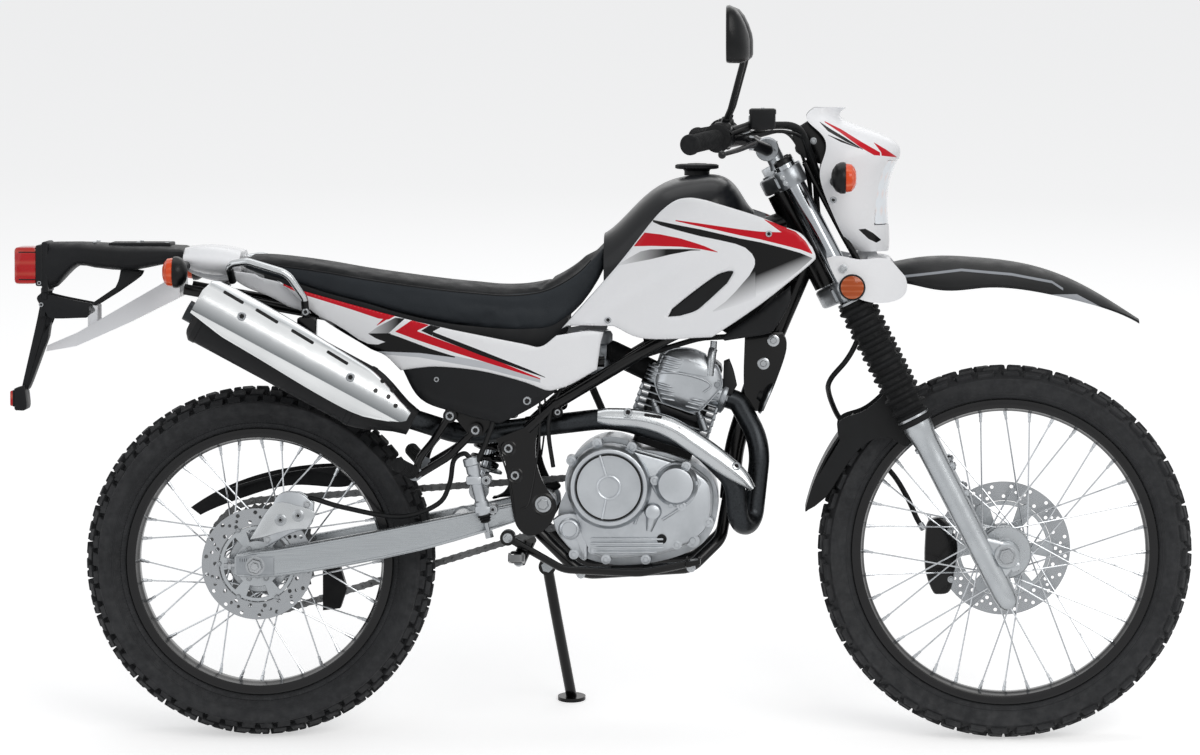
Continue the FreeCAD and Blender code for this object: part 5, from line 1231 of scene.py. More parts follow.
def makeChain():
    big, small = drive["pitchRadius"], drive["smallRadius"]
    front = Vector((drive["smallCentre"][0], drive["chainSide"], drive["smallCentre"][1]))
    rear = Vector((0, drive["chainSide"], rearAxle.z))
    span = front - rear
    slope = math.atan2(span.z, span.x)
    drop = math.asin((big - small) / math.hypot(span.x, span.z))
    path = []
    for centre, radius, first, last in ((front, small, slope + math.pi / 2 - drop, slope - math.pi / 2 + drop),
                                        (rear, big, slope - math.pi / 2 + drop, slope - 1.5 * math.pi - drop)):
        steps = 40
        for k in range(steps + 1):
            turn = first + (last - first) * k / steps
            path.append(centre + Vector((math.cos(turn), 0, math.sin(turn))) * radius)
    start = bpy.data.meshes.new("chainLine")
    start.from_pydata(path, [(k, (k + 1) % len(path)) for k in range(len(path))], [])
    parts = []
    for odd, width in ((0, 8.6), (1, 12.6)):
        parts.append(grown("path", chainLink(width), metal["chain"], start.copy(), Count=drive["links"], Odd=odd))
    piece("rollerChain", parts, "chassis", "chain", ["chain"])


for which in wheels:
    makeTyre(which)
    makeRim(which)
    makeDisc(which)
makeSprocket()
makeChain()
print("wheels and chain made")


# White panels with their red and black graphics.

# Red, black and grey are print; pale serves only as painted shade along the side panel's step.
paints = {"red": tint("c50c20"), "black": tint("050506"), "grey": tint("8d9197"), "pale": tint("c3c6cb")}


def striped(name, strips, frame):  # strips: lower line, upper line, colour, fade or None
    look = glossWhite(name)
    x, y, z = look.axes()
    for lower, upper, colour, fade in strips:
        share = look.band(x, z, lower, upper, frame)
        if fade:
            (ax, az, offset), low, high = fade
            share = share * look.scaled(x * ax + z * az + offset, low, high)
        look.paint(share, paints[colour])
    return look.material


shroud = {
    "outline": outline([[(609, 811), (663, 874), (713, 939)], [(735, 964), (762, 984), (789, 989), (816, 985)],
                        [(909, 957), (951, 940), (987, 926), (1008, 901)],
                        [(1014, 885), (1008, 874), (969, 841), (924, 805), (879, 773), (828, 739)],
                        [(708, 735), (650, 757)], [(575, 757), (555, 751)], [(582, 781), (609, 811)]]),
    "slot": outline([[(749, 775), (756, 789)], [(789, 816), (834, 849), (857, 858)], [(866, 856), (855, 836)],
                     [(816, 800), (798, 786), (771, 777)], [(749, 775)]]),
    "plan": [(520, 112), (640, 136), (760, 164), (900, 186), (1040, 192)],
    "graphics": [
        ([(658, 866), (681, 871), (717, 878), (753, 887), (789, 894), (807, 895)],
         [(658, 868), (681, 882), (699, 892), (717, 896), (753, 897), (789, 897), (807, 896)], "black",
         ((1, 0, 0), 650, 745)),
        ([(687, 901), (717, 902), (771, 901), (807, 897), (838, 891.5)],
         [(687, 902), (706, 926), (735, 923), (771, 916), (798, 908), (816, 902), (838, 892.5)], "red", None),
        ([(721, 945), (735, 939), (771, 929), (807, 920), (843, 913), (870, 907), (888, 900), (900, 889), (905.5, 878),
          (906.5, 812), (924, 819), (951, 835), (969, 848), (987, 862), (1008, 881)],
         [(721, 949), (771, 939), (807, 932.5), (843, 924.5), (879, 916.5), (915, 910), (951, 901), (987, 891),
          (1008, 882)],
         "black", ((-0.42, 1, -436.4), -2, 34)),
        ([(830, 785), (870, 796), (897, 806), (907, 812)],
         [(830, 787), (852, 803), (870, 821), (882, 835), (895, 850), (904, 866), (907, 878)], "black",
         ((-0.42, 1, -436.4), -8, 42)),
        ([(762, 947), (789, 941), (843, 930), (879, 922), (915, 915), (952, 906), (987, 897), (1008, 889)],
         [(762, 949), (807, 943), (843, 938), (879, 933), (915, 929), (952, 928), (962, 935), (978, 929), (996, 912),
          (1008, 891)],
         "red", None),
        ([(922, 950), (951, 929), (962, 926)], [(922, 951), (951, 941), (962, 937)], "red", None),
    ],
}


def shroudFace(x, z):  # bulges a little between its edges, creased above the slot
    base = smoothTable(shroud["plan"], x) - 26 * (z - 715) / 294
    crease = z - (757 + (x - 600) * 0.62)
    return base - 1.2 + 3.0 * math.exp(-(crease / 16) ** 2) * min(1, max(0, (1000 - x) / 200))


def makeShrouds():
    look = striped("shroudWhite", shroud["graphics"], (540, 1040, 700, 1020))
    shape = Shape(look)
    back = shrunk(shroud["slot"], -5)
    for side in (-1, 1):
        shape.use(look)
        shape.moulded(shroud["outline"], shroudFace, 5, 8, 3, side, (shroud["slot"],))
        shape.use(black["smooth"])
        points = [(x, side * (shroudFace(x, z) - 9), z) for x, z in back]
        inner = [(x, side * (shroudFace(x, z) - 12), z) for x, z in back]
        shape.loft([points, inner])
        for x, z in ((640, 768), (930, 925)):
            shape.use(metal["zinc"])
            shape.bolt((x, side * (shroudFace(x, z) - 0.5), z), (0, side, 0), 6, "socket")
    shape.make("tankShrouds", "chassis", ("tank_shrouds",))


makeShrouds()

sidePanel = {
    "outline": outline([[(40, 838), (85, 820), (256, 774), (355, 751)], [(482, 726), (518, 720), (547, 740)],
                        [(600, 748), (632, 746)], [(626, 723), (620, 678)], [(572, 651), (541, 641), (527, 641)],
                        [(482, 658), (409, 676), (337, 683), (301, 681), (265, 676)], [(238, 702), (211, 714)],
                        [(120, 770), (40, 838)]]),
    "rear": outline([[(-38, 854), (-38, 838)], [(-14, 824), (27, 808), (62, 790)], [(102, 778)],
                     [(84, 808), (60, 824), (40, 836)],
                     [(11, 843), (0, 849)], [(-38, 854)]]),
    "plan": [(0, 112), (200, 124), (420, 140), (560, 134), (660, 118)],
    "graphics": [
        # This pale grey strip along the panel's step is painted shade, not print.
        ([(211, 707), (300, 700), (420, 680), (518, 655)], [(211, 713), (243, 716), (319, 712), (364, 703), (430, 690),
                                                            (518, 662)],
         "pale", None),
        ([(52, 829), (81, 815), (121, 803), (175, 786.5), (225, 770), (243, 768), (256, 775)],
         [(52, 834), (81, 825), (121, 815), (175, 799), (229, 783), (256, 776.5)], "red", None),
        ([(222, 757), (240, 768), (256, 775)], [(222, 758), (232, 768), (240, 773), (256, 776)], "red", None),
        ([(207, 742), (243, 743), (272, 769)], [(207, 743), (222, 754), (256, 772), (272, 770)], "black",
         ((1, 0, 0), 190, 262)),
        ([(106, 777), (139, 759), (175, 732), (207, 711), (247, 710)],
         [(106, 778), (139, 764), (166, 748), (189, 732), (207, 724), (224, 723), (247, 731)], "black",
         ((1, 0, 0), 70, 150)),
        ([(207, 742), (220, 734), (247, 724)], [(207, 743), (247, 743.5)], "black", None),
        ([(241, 710), (301, 708), (364, 700)], [(241, 744), (265, 736), (319, 716), (364, 702)], "black", None),
        ([(256, 746), (294, 732), (294.6, 748), (316, 758)], [(256, 747), (285, 767), (316, 759)], "red", None),
        ([(294, 732), (364, 709), (445, 684), (518, 661)], [(294, 748), (355, 726), (445, 693), (518, 663)], "red",
         None),
        ([(303, 748), (323, 739), (323.6, 747), (337, 754)], [(303, 748.6), (319, 759), (337, 755)], "black", None),
        ([(323, 739), (409, 705), (500, 673), (527, 664)], [(323, 747), (409, 714), (500, 678), (527, 665)], "black",
         None),
    ],
}
blackCover = {
    "outline": outline([[(262, 690), (301, 624), (373, 598), (445, 580)], [(500, 608), (548, 640)],
                        [(544, 656), (527, 655)],
                        [(482, 671), (409, 690), (337, 697), (301, 695), (262, 690)]]),
    "lower": outline([[(842, 737), (900, 776), (969, 830)], [(968, 800), (940, 752), (920, 742)], [(851, 731)],
                      [(842, 737)]]),
}


def sideFace(x, z):
    return smoothTable(sidePanel["plan"], x) + 6 * (z - 540) / 320 - 0.8


def coverFace(x, z):  # tucked in behind the panel's lower edge, with a raised lip along its own
    lip = edgeDistance(blackCover["outline"], x, z)
    return sideFace(x, z) - 4.3 + (1.8 if 9 < lip < 15 and z < 640 else 0)


def lowerFace(x, z):
    return 138 + 8 * (x - 820) / 160 - 10 * (z - 731) / 99


def makeSidePanels():
    look = striped("sidePanelWhite", sidePanel["graphics"], (0, 660, 620, 860))
    white = Shape(look)
    dark = Shape(black["moulding"])
    for side in (-1, 1):
        white.moulded(sidePanel["outline"], sideFace, 5, 8, 3, side)
        white.moulded(sidePanel["rear"], lambda x, z: smoothTable([(-40, 101), (40, 112), (100, 116)], x), 3, 6, 2.5,
                      side)
        dark.use(black["moulding"])
        dark.moulded(blackCover["outline"], coverFace, 5, 7, 3, side)
        dark.moulded(blackCover["lower"], lowerFace, 4, 7, 3, side)
        dark.use(metal["zinc"])
        for x, z, size in ((494, 622, 8), (330, 660, 5)):
            dark.bolt((x, side * (coverFace(x, z) - 0.4), z), (0, side, 0), size, "socket")
    white.make("sidePanels", "chassis", ("side_panels",))
    dark.make("lowerCovers", "chassis", ("lower_covers",))


makeSidePanels()
print("shrouds and side panels made")

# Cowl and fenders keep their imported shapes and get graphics, lamps and fixings.

cowlGraphics = [
    ([(1030, 1124), (1059, 1105), (1095, 1079), (1119, 1065), (1130, 1064)],
     [(1030, 1126), (1059, 1112), (1095, 1090), (1130, 1070)], "red", None),
    ([(1119, 1087), (1132, 1070), (1132.6, 1064), (1161, 1060)], [(1119, 1088), (1141, 1075), (1161, 1061)], "red",
     None),
    ([(1021, 1124), (1036, 1108), (1068, 1090), (1099, 1075)], [(1021, 1125), (1041, 1112), (1068, 1096), (1099, 1076)],
     "black", None),
    ([(1036, 1101), (1059, 1089), (1092, 1077.5)], [(1036, 1102), (1059, 1093), (1092, 1078.5)], "black", None),
    # A black patch painted where the cowl has a slot: painted shade in place of the opening.
    ([(1092, 930), (1110, 913), (1124, 906), (1132, 910)], [(1092, 931), (1104, 932), (1118, 924), (1132, 912)],
     "black", None),
]


def dressed(node, look):
    data = frame["nodes"][node].data
    data.materials.clear()
    data.materials.append(look)


dressed("headlight_cowl", striped("cowlWhite", cowlGraphics, (1000, 1180, 880, 1160)))


def bladeLook():
    look = grainedBlack("bladeBlack", "0a0b0c", 0.9, 0.4)
    x, y, z = look.axes()
    frame = (1130, 1620, 740, 900)
    line = [(1150, 842), (1278, 857), (1369, 849), (1442, 835), (1462, 822)]
    wide = look.band(x, z, [(px, pz - 2.2) for px, pz in line], [(px, pz + 2.2) for px, pz in line], frame)
    look.paint(wide, paints["grey"])
    tip = look.band(x, z, [(1405, 806), (1455, 788), (1505, 775), (1569, 768)],
                    [(1405, 808), (1445, 813), (1487, 813), (1530, 790), (1569, 770)], frame)
    look.paint(tip, tint("9a9da2"))
    return look.material


dressed("fender_blades", bladeLook())


def makeReflectors():
    shape = Shape()
    for side in (-1, 1):
        shape.use(black["smooth"])
        spot = Vector((1080, side * 141, 828))
        shape.lathe([(0, 0), (23.5, 0), (24, 3), (22.5, 6.5), (21, 6.5), (21, 4), (0, 4)], spot, (0, side, 0), 40)
        shape.use(lens["reflector"])
        shape.lathe([(0, 4.1), (20.7, 4.1), (20.7, 6), (18, 7.2), (0, 7.8)], spot, (0, side, 0), 40)
    shape.make("forkReflectors", "steering")
    fixings = Shape(metal["zinc"])
    for side in (-1, 1):
        fixings.bolt((1046, side * 114.5, 985), (0, side, 0), 6, "socket")
        fixings.bolt((1064, side * 139, 862), (0, side, 0), 6, "hex")
    fixings.make("cowlFixings", "steering")


makeReflectors()


signals = {"radius": 27.0, "spots": (("rearSignals", "chassis", -141, 178, 855, 1, (-128, 108, 862), "rear_signals"),
                                     ("frontSignals", "steering", 1067, 190, 1026, -1, (1050, 127, 1020),
                                      "front_signals"))}


def makeSignals():
    size = signals["radius"]
    for name, body, x, y, z, back, foot, node in signals["spots"]:
        shape = Shape()
        for side in (-1, 1):
            spot = Vector((x, side * y, z))
            shape.use(black["smooth"])
            shape.lathe([(size - 1, -1), (size + 1, 0), (size + 1.6, 4), (size + 1.2, 9), (size - 3, 17),
                         (size * 0.55, 23),
                         (size * 0.3, 25), (0, 25.5)], spot, (back, 0, 0), 44)
            mount = Vector((foot[0], side * foot[1], foot[2]))
            stalk = flowing([spot + Vector((back * 12, 0, 0)), spot.lerp(mount, 0.35) + Vector((back * 4, 0, -1)),
                             mount], 6)
            shape.tube(stalk, [9.5 + 2.5 * abs(k / (len(stalk) - 1) * 2 - 1) ** 3 for k in range(len(stalk))], 14,
                       flat=0.8)
            for k in range(5):
                way = stalk[2 + k * 2]
                shape.tube([way, way + (mount - spot).normalized() * 2.2], 10.6, 14, flat=0.8)
            shape.use(lens["amber"])
            shape.lathe([(size - 2, 1), (size - 1.2, -3), (size - 2.5, -11), (size - 9, -16.5), (size * 0.4, -19.3),
                         (0, -19.8)],
                        spot, (back, 0, 0), 44)
        shape.make(name, body, (node,))


makeSignals()


def makeRearLamp():
    shape = Shape(lens["red"])
    shape.box((-446, -45, 828), (-405, 45, 895), 5)
    shape.use(black["moulding"])
    shape.box((-407, -47, 824), (-393, 47, 899), 3)
    for z in (836, 886):
        shape.box((-438, -45.6, z - 1), (-407, 45.6, z + 1), 0.5)
    shape.use(lens["red"])
    shape.box((-457, -29, 604), (-450.5, 29, 632), 2)
    shape.use(black["smooth"])
    shape.box((-452, -30, 603), (-449.3, 30, 633), 1)
    for side in (-1, 1):
        shape.use(metal["zinc"])
        shape.bolt((-400, side * 47, 830), (0, side, 0), 4, "socket")
    shape.make("rearLamp", "chassis", ("rear_lamps",))


makeRearLamp()
print("cowl, fenders, lamps and reflectors made")


# Padded seat: blown up a little by cloth pressure, then piped and stitched, on its black pan.

seatSize = {
    "sections": ((-30, 862, 881, 76, 4), (20, 843, 881, 87, 5), (73, 828, 876, 94, 6), (130, 810, 868, 98, 7),
                 (200, 792, 856, 101, 8), (270, 772, 846, 103, 8), (347, 756, 836, 103, 8), (400, 750, 831, 100, 8),
                 (450, 746, 827, 97, 8), (500, 746, 830, 92, 8), (540, 753, 841, 87, 8), (585, 790, 868, 79, 8),
                 (612, 828, 895, 71, 7), (629, 862, 912, 65, 6)),
    "edge": 15.0, "voxel": 0.005, "pressure": 4.0, "cap": 0.004, "frames": 20, "seam": 17.0,
}


def seatLevel(index, x):
    return column(seatSize["sections"], index, x)


def seatRing(x, shrink=3.0):  # flat side walls, an eased upper edge and a low crown
    bottom, top, half, crown = (seatLevel(k, x) for k in (1, 2, 3, 4))
    half, bottom, top = half - shrink, bottom + shrink, top - shrink
    edge = min(seatSize["edge"], (top - bottom) * 0.45)
    wall = top - crown - edge
    right = [(-half * 0.5, bottom), (-half + 7, bottom), (-half + 1.5, bottom + 3)]
    right += [(-half, bottom + 7 + (wall - bottom - 7) * k / 3) for k in range(4)]
    for k in range(1, 6):
        turn = math.pi / 2 * k / 5
        right.append((-half + edge * (1 - math.cos(turn)), wall + edge * math.sin(turn)))
    inner = half - edge
    right += [(-inner * (1 - k / 4), wall + edge + crown * (1 - (1 - k / 4) ** 2)) for k in range(1, 5)]
    left = [(-y, z) for y, z in reversed(right[:-1])]
    return [(x, y, z) for y, z in right + left + [(0, bottom)]]


def seatLook():
    look = Look("seatVinyl", tint("2c3034"), 0.5, Specular_IOR_Level=0.12)
    x, y, z = look.axes()
    frame = (-60, 660, 720, 960)
    seam = [(-60, 868)] + [(px, seatLevel(2, px) - seatSize["seam"])
                           for px in (-10, 60, 150, 250, 350, 440, 520, 570, 610)] + [(660, 935)]
    top = look.band(x, z, seam, [(px, 959) for px, pz in seam], frame, 1.5)
    look.paint(top, tint("0c0d0f"))
    worn(look, tint("17191b"), 110.0, 0.3)
    look.paint(look.scaled(look.noise(1.1, 2.0), 0.55, 0.75, (0, 0.2)), tint("44484d"))
    look.bump(look.cells(1.3), 0.16)
    look.bump(look.noise(26.0, 2.0), 0.5)
    return look.material


def makeSeat():
    steps = list(range(-28, 629, 14)) + [629]
    shape = Shape(seatLook())
    shape.loft([seatRing(x) for x in steps])
    body = bpy.data.objects.new("seatPad", shape.mesh("seatPad", 60))
    scene.collection.objects.link(body)
    remesh = body.modifiers.new("remesh", "REMESH")
    remesh.mode = "VOXEL"
    remesh.voxel_size = seatSize["voxel"]
    remesh.use_smooth_shade = True
    still = evaluated(body)
    body.modifiers.clear()
    body.data = still
    before = [vertex.co.copy() for vertex in still.vertices]
    cloth = body.modifiers.new("cloth", "CLOTH")
    settings = cloth.settings
    settings.use_pressure = True
    settings.uniform_pressure_force = seatSize["pressure"]
    settings.effector_weights.gravity = 0
    settings.tension_stiffness = settings.compression_stiffness = 40
    settings.bending_stiffness = 8
    for step in range(1, seatSize["frames"] + 1):
        scene.frame_set(step)
    blown = evaluated(body)
    body.modifiers.clear()
    scene.frame_set(1)
    for vertex, start in zip(blown.vertices, before):
        move = vertex.co - start
        if move.length > seatSize["cap"]:
            vertex.co = start + move.normalized() * seatSize["cap"]
    body.data = blown
    print("seat blown up:", len(before), "points")
    smooth = body.modifiers.new("smooth", "SUBSURF")
    smooth.levels = smooth.render_levels = 1
    final = evaluated(body)
    body.modifiers.clear()
    body.data = final
    final.shade_smooth()
    placed(body, "chassis", ("seat",))
    seam = Shape(black["smooth"])
    skin = bmesh.new()
    skin.from_mesh(final)
    tree = BVHTree.FromBMesh(skin)
    spots = []
    for side in (-1, 1):
        line = []
        for x in range(-14, 616, 9):
            aim = parked @ Vector((x, side * 170, seatLevel(2, x) - seatSize["seam"]))
            hit = tree.ray_cast(aim, leanTurn.to_3x3() @ Vector((0, -side, 0)))
            if hit[0]:
                line.append(parked.inverted() @ hit[0])
                spots.append((line[-1] + Vector((0, side * 0.3, -4.5)), (0, side, 0.2), 1.0))
        seam.tube(line, 1.5, 8)
    seam.make("seatPiping", "chassis")
    stitch = Shape(black["smooth"])
    stitch.tube([(-2.2, 0, 0), (-1.2, 0, 0.5), (1.2, 0, 0.5), (2.2, 0, 0)], 0.45, 6)
    piece("seatStitches", [strewn(stitch, black["rubber"], spots)], "chassis", "seat_vinyl")
    skin.free()
    pan = Shape(black["moulding"])
    rings = []
    for x in range(14, 578, 12):
        low = smoothTable([(14, 826), (85, 800), (137, 788), (191, 772), (254, 753), (299, 741), (354, 730), (408, 722),
                           (480, 708),
                           (525, 706), (560, 738), (578, 768)], x)
        high, half = seatLevel(1, x) + 5, seatLevel(3, x) - 6
        rings.append([(x, y, z) for y, z in rounded([(-half, low), (half, low), (half, high), (-half, high)], 4, 2)])
    pan.loft(rings)
    pan.make("seatPan", "chassis")


makeSeat()
print("seat made")

# Tank filler cap with its grip ribs.

cap = {"centre": (798, 0, 1024), "profile": [(23, 2), (23, 10), (25, 13), (37, 14), (39, 16), (39, 20.5), (36.5, 22.5),
                                             (30, 23), (28.5, 22), (15, 24.2), (0, 24.8)]}


def makeCap():
    shape = Shape(black["moulding"])
    shape.lathe([(0, 2)] + cap["profile"], cap["centre"], (0, 0, 1), 64)
    for k in range(40):
        turn = 2 * math.pi * k / 40
        rib = Vector(cap["centre"]) + Vector((math.cos(turn), math.sin(turn), 0)) * 38.6
        shape.tube([rib + Vector((0, 0, 15)), rib + Vector((0, 0, 21))], 1.1, 6)
    shape.make("fillerCap", "chassis", ("fuel_cap",))


makeCap()

# Engine covers: a cast right cover with its clutch and filter caps, and the generator's on the left.

covers = {
    "right": outline([[(585, 470), (592, 520), (642, 541), (700, 526)], [(750, 512), (795, 495)],
                      [(822, 470), (826, 430), (816, 390), (785, 362)],
                      [(740, 345), (690, 338), (620, 340), (592, 370)],
                      [(583, 400), (580, 440), (585, 470)]]),
    "left": outline([[(644, 470), (660, 512), (720, 518)], [(780, 500), (812, 460), (805, 390), (760, 350)],
                     [(700, 345), (656, 380), (644, 470)]]),
    "lobe": outline([[(540, 405), (556, 415), (580, 417), (600, 405)], [(602, 370), (602, 336)],
                     [(595, 331), (580, 343), (562, 362), (546, 384), (540, 405)]]),
    "clutch": (642, 466), "filter": (763, 470), "shaft": (570, 389), "generator": (728, 432),
    "bolts": ((620, 545), (683, 538), (573, 513), (734, 484), (754, 432), (799, 473), (764, 361), (636, 334),
              (708, 334),
              (578, 343), (612, 352), (822, 402)),
}


def makeCovers():
    shape = Shape(metal["case"])
    shape.slab(covers["right"], -121, -76, 5)
    shape.slab(shrunk(covers["right"], -3), -84, -77, 1.5)
    out = (0, -1, 0)
    x, z = covers["clutch"]
    shape.lathe([(0, 112), (77, 112), (76.5, 126), (75, 134), (72.5, 142), (69, 147), (66.5, 148), (63, 148),
                 (61.5, 146.5),
                 (60.5, 142.5), (58, 142), (30, 143.5), (0, 144)], (x, 0, z), out, 96)
    # A thin black ring at the bottom of the groove round the clutch cap: painted shade in the groove.
    shape.use(black["frame"])
    shape.ring([(60.6, 141.4), (60.6, 142.9), (57.6, 142.9), (57.6, 141.4)], (x, 0, z), out, 96)
    shape.use(metal["case"])
    shape.ring([(57.4, 141), (57.4, 144.8), (55, 144.8), (55, 141)], (x, 0, z), out, 96)
    shape.lathe([(0, 142), (23, 142), (22.5, 147), (20.5, 148), (18.5, 147), (17.8, 144.5), (0, 145)], (x, 0, z), out,
                40)
    for ends in (((626, 524), (637, 487)), ((637, 445), (630, 409))):
        points = [(a, -143.8, b) for a, b in ends]
        shape.tube([points[0], Vector(points[0]).lerp(Vector(points[1]), 0.5), points[1]], 2.4, 8)
    x, z = covers["filter"]
    shape.lathe([(0, 112), (42, 112), (40, 122), (36.5, 125), (35.5, 130), (33.5, 145), (31, 148.5), (27, 149.6),
                 (0, 150)],
                (x, 0, z), out, 64)
    for turn in (62, 168, 285):
        way = Vector((math.cos(math.radians(turn)), 0, math.sin(math.radians(turn))))
        spot = Vector((x, 0, z)) + way * 39
        shape.lathe([(0, 112), (9, 112), (8.5, 136), (0, 137)], spot, out, 20)
        shape.bolt(spot + Vector((0, -136.5, 0)), out, 5.2)
    shape.slab(covers["lobe"], -120, -80, 4)
    x, z = covers["shaft"]
    shape.lathe([(0, 112), (21, 112), (20, 126), (18, 128), (17.5, 131), (14, 133), (13, 131), (0, 130.5)], (x, 0, z),
                out, 40)
    for z in (371, 363, 355, 347):
        shape.box((608, -125.4, z - 1.8), (740 if z > 350 else 728, -119, z + 1.8), 1.2)
    for line in (((716, 484), (722, 466), (732, 450), (746, 437)), ((738, 406), (770, 427), (790, 443), (801, 468)),
                 ((688, 398), (700, 430), (712, 450), (715, 482))):
        shape.tube(flowing([(a, -120.5, b) for a, b in line], 5), 3.0, 10)
    shape.lathe([(0, 108), (19, 108), (15, 126), (13, 130), (13, 138), (10.5, 139.5), (0, 139.5)], (721, 0, 421), out,
                40)
    shape.tube([(720, -122, 412), (714, -119, 386)], [12, 6], 16)
    for a, b in covers["bolts"]:
        shape.lathe([(0, 78), (9.5, 78), (9, 121.4), (0, 121.6)], (a, 0, b), out, 20)
        shape.bolt((a, -121.3, b), out, 5.4)
    shape.lathe([(0, 100), (13, 100), (12.4, 118), (0, 118.5)], (793, 0, 368), out, 24)
    shape.bolt((793, -118.2, 368), out, 7)
    shape.use(black["smooth"])
    shape.lathe([(0, 118), (9, 118), (9, 122.4), (7.6, 122.8), (7, 121.6), (0, 121.6)], (737, 0, 371), out, 28)
    shape.use(metal["case"])
    shape.slab(covers["left"], 60, 111, 5)
    x, z = covers["generator"]
    shape.lathe([(0, 100), (66, 100), (65, 114), (60, 124), (50, 130), (30, 131.8), (0, 132)], (x, 0, z), (0, 1, 0), 80)
    for k in range(9):
        way = Vector((math.cos(k * math.tau / 9 + 0.2), 0, math.sin(k * math.tau / 9 + 0.2))) * 71
        if inside(covers["left"], x + way.x, z + way.z):
            shape.bolt((x + way.x, 110.6, z + way.z), (0, 1, 0), 5.2)
    shape.make("engineCovers", "chassis", ("engine_covers",))


makeCovers()

cylinder = {
    "foot": (735, 0, 527), "lean": 18.43, "length": 150, "width": 132, "pitch": 12.2, "first": 22, "thick": 2.6,
    "fins": 8,
    "dome": outline([[(740, 704), (752, 712), (776, 715), (796, 712), (815, 704)], [(824, 692), (838, 681), (845, 662)],
                     [(846, 645), (838, 634), (822, 616)], [(806, 600), (789, 597), (776, 600), (757, 606)],
                     [(738, 613), (729, 628), (723, 646), (723, 660), (729, 679), (734, 694)], [(740, 704)]]),
    "inset": ((778, 695), (818, 679), (818, 662), (765, 672)),
    "crest": ((727, 668), (752, 670), (778, 667), (812, 657), (825, 646), (811, 634)),
    "ribs": (((738, 702), (775, 692)), ((735, 694), (772, 685)), ((732, 686), (768, 678)), ((729, 678), (764, 671)),
             ((726, 651), (757, 643)), ((727, 642), (758, 635)), ((729, 633), (758, 627)), ((733, 624), (759, 619)),
             ((787, 623), (816, 617)), ((783, 616), (810, 609)), ((779, 609), (804, 603))),
}
cylinderFrame = Matrix.Translation(cylinder["foot"]) @ Matrix.Rotation(math.radians(cylinder["lean"]), 4, "Y")


def makeHead():  # the finned barrel and head with its domed side cover, studs and plug
    # The barrel's core between the fins is drawn black, unlike the cast fins: painted shade in the gaps between them.
    shape = Shape(black["muffler"])
    shape.place = cylinderFrame
    block = rounded([(-56, -50), (56, -50), (56, 50), (-56, 50)], 18, 5)
    shape.stack(block, ((0.4, 0), (112, 0)))
    shape.use(metal["fin"])
    half, wide = cylinder["length"] / 2, cylinder["width"] / 2
    plate = rounded([(-half, -wide), (half, -wide), (half, wide), (-half, wide)], 20, 5)
    for k in range(cylinder["fins"]):
        z = cylinder["first"] + cylinder["pitch"] * k
        shape.stack(plate, [(z + way * cylinder["thick"], inset)
                            for way, inset in ((-0.5, 1.0), (-0.28, 0), (0.28, 0), (0.5, 1.0))])
    for x0, x1 in ((-73.5, -69), (69, 73.5)):  # webs that tie the fins' ends
        for y in (-1, 1):
            shape.box((x0, y * 50 - 4, 21), (x1, y * 50 + 4, 108), 1)
    head = rounded([(-66, -60), (66, -60), (66, 60), (-66, 60)], 16, 5)
    shape.stack(head, ((112, 2), (114, 0), (144, 0), (146, 2)))
    for z in (117, 124.5, 132, 139.5):
        edge = rounded([(-72, -64), (70, -64), (70, 64), (-72, 64)], 14, 4)
        shape.stack(edge, ((z - 1.2, 0.8), (z - 0.7, 0), (z + 0.7, 0), (z + 1.2, 0.8)))
    top = rounded([(-59, -56), (59, -56), (59, 56), (-59, 56)], 22, 6)
    shape.stack(top, ((146, 0), (172, 0), (180, 5), (184, 14)))
    shape.lathe([(0, 0), (26, 0), (26, 30), (30, 32), (30, 40), (22, 41)], (40, -34, 128), (1, 0, 0), 28)
    for x, y in ((-48, -48), (48, -48), (-48, 48), (48, 48)):
        shape.bolt((x, y, 181 if abs(x) < 40 else 172), (0, 0, 1), 7)
    shape.place = unturned

    def level(x, z):  # the cover's rounded face
        return -62 - 13 * min(1, edgeDistance(cylinder["dome"], x, z) / 22) ** 0.55
    shape.use(metal["case"])
    shape.slab(cylinder["dome"], -64, -52)
    shape.moulded(cylinder["dome"], lambda x, z: -level(x, z), 2.5, 6, 6, -1)
    for (x0, z0), (x1, z1) in cylinder["ribs"]:
        line = [Vector((x0, 0, z0)).lerp(Vector((x1, 0, z1)), k / 6) for k in range(7)]
        shape.tube([(p.x, level(p.x, p.z) - 0.6, p.z) for p in line], [1.4, 2.7, 2.9, 2.9, 2.7, 2.1, 0.8], 10)
    line = flowing([(x, level(x, z) - 0.2, z) for x, z in cylinder["crest"]], 5)
    shape.tube(line, 2.1, 10)
    inset = rounded(list(cylinder["inset"]), 3, 3)
    shape.loft([[(x, -75.2 - way, z) for x, z in (shrunk(inset, back) if back else inset)] for way,
                back in ((-2, 0), (0.6, 0), (1.2, 1))])
    shape.use(metal["zinc"])
    shape.tube([(830, -62, 727), (829, -63, 711)], 6.2, 18)
    shape.tube([(829, -63, 712), (827, -66, 706), (825, -68, 686)], 8, 18)
    shape.tube([(825, -68, 686), (823, -70, 664)], 7, 18)
    shape.use(metal["clamp"])
    shape.lathe([(0, -70), (9, -70), (9, -30), (0, -30)], (844, 0, 652), (0.12, 1, 0.05), 20)
    shape.bolt((836, -69, 648), (0, -1, 0), 6)
    for x, z in ((724, 600), (807, 578)):
        aim = Vector((-0.31, 0, 0.95))
        shape.lathe([(0, -14), (7.6, -14), (7.6, 8), (5.4, 9), (5.4, 15), (3.6, 16), (3.6, 22), (0, 22.6)],
                    (x + 2, -66, z), aim, 18)
    shape.use(black["muffler"])
    shape.slab(outline([[(848, 690), (858, 694)], [(866, 672), (872, 646)], [(862, 628)], [(846, 636)], [(848, 690)]]),
               -58, -30, 3)
    shape.slab(outline([[(734, 612), (760, 602), (788, 592), (800, 596)], [(802, 578)], [(768, 588), (732, 598)],
                        [(734, 612)]]), -66.5, -50, 1)
    shape.make("finnedCylinder", "chassis", ("cylinder",))


makeHead()


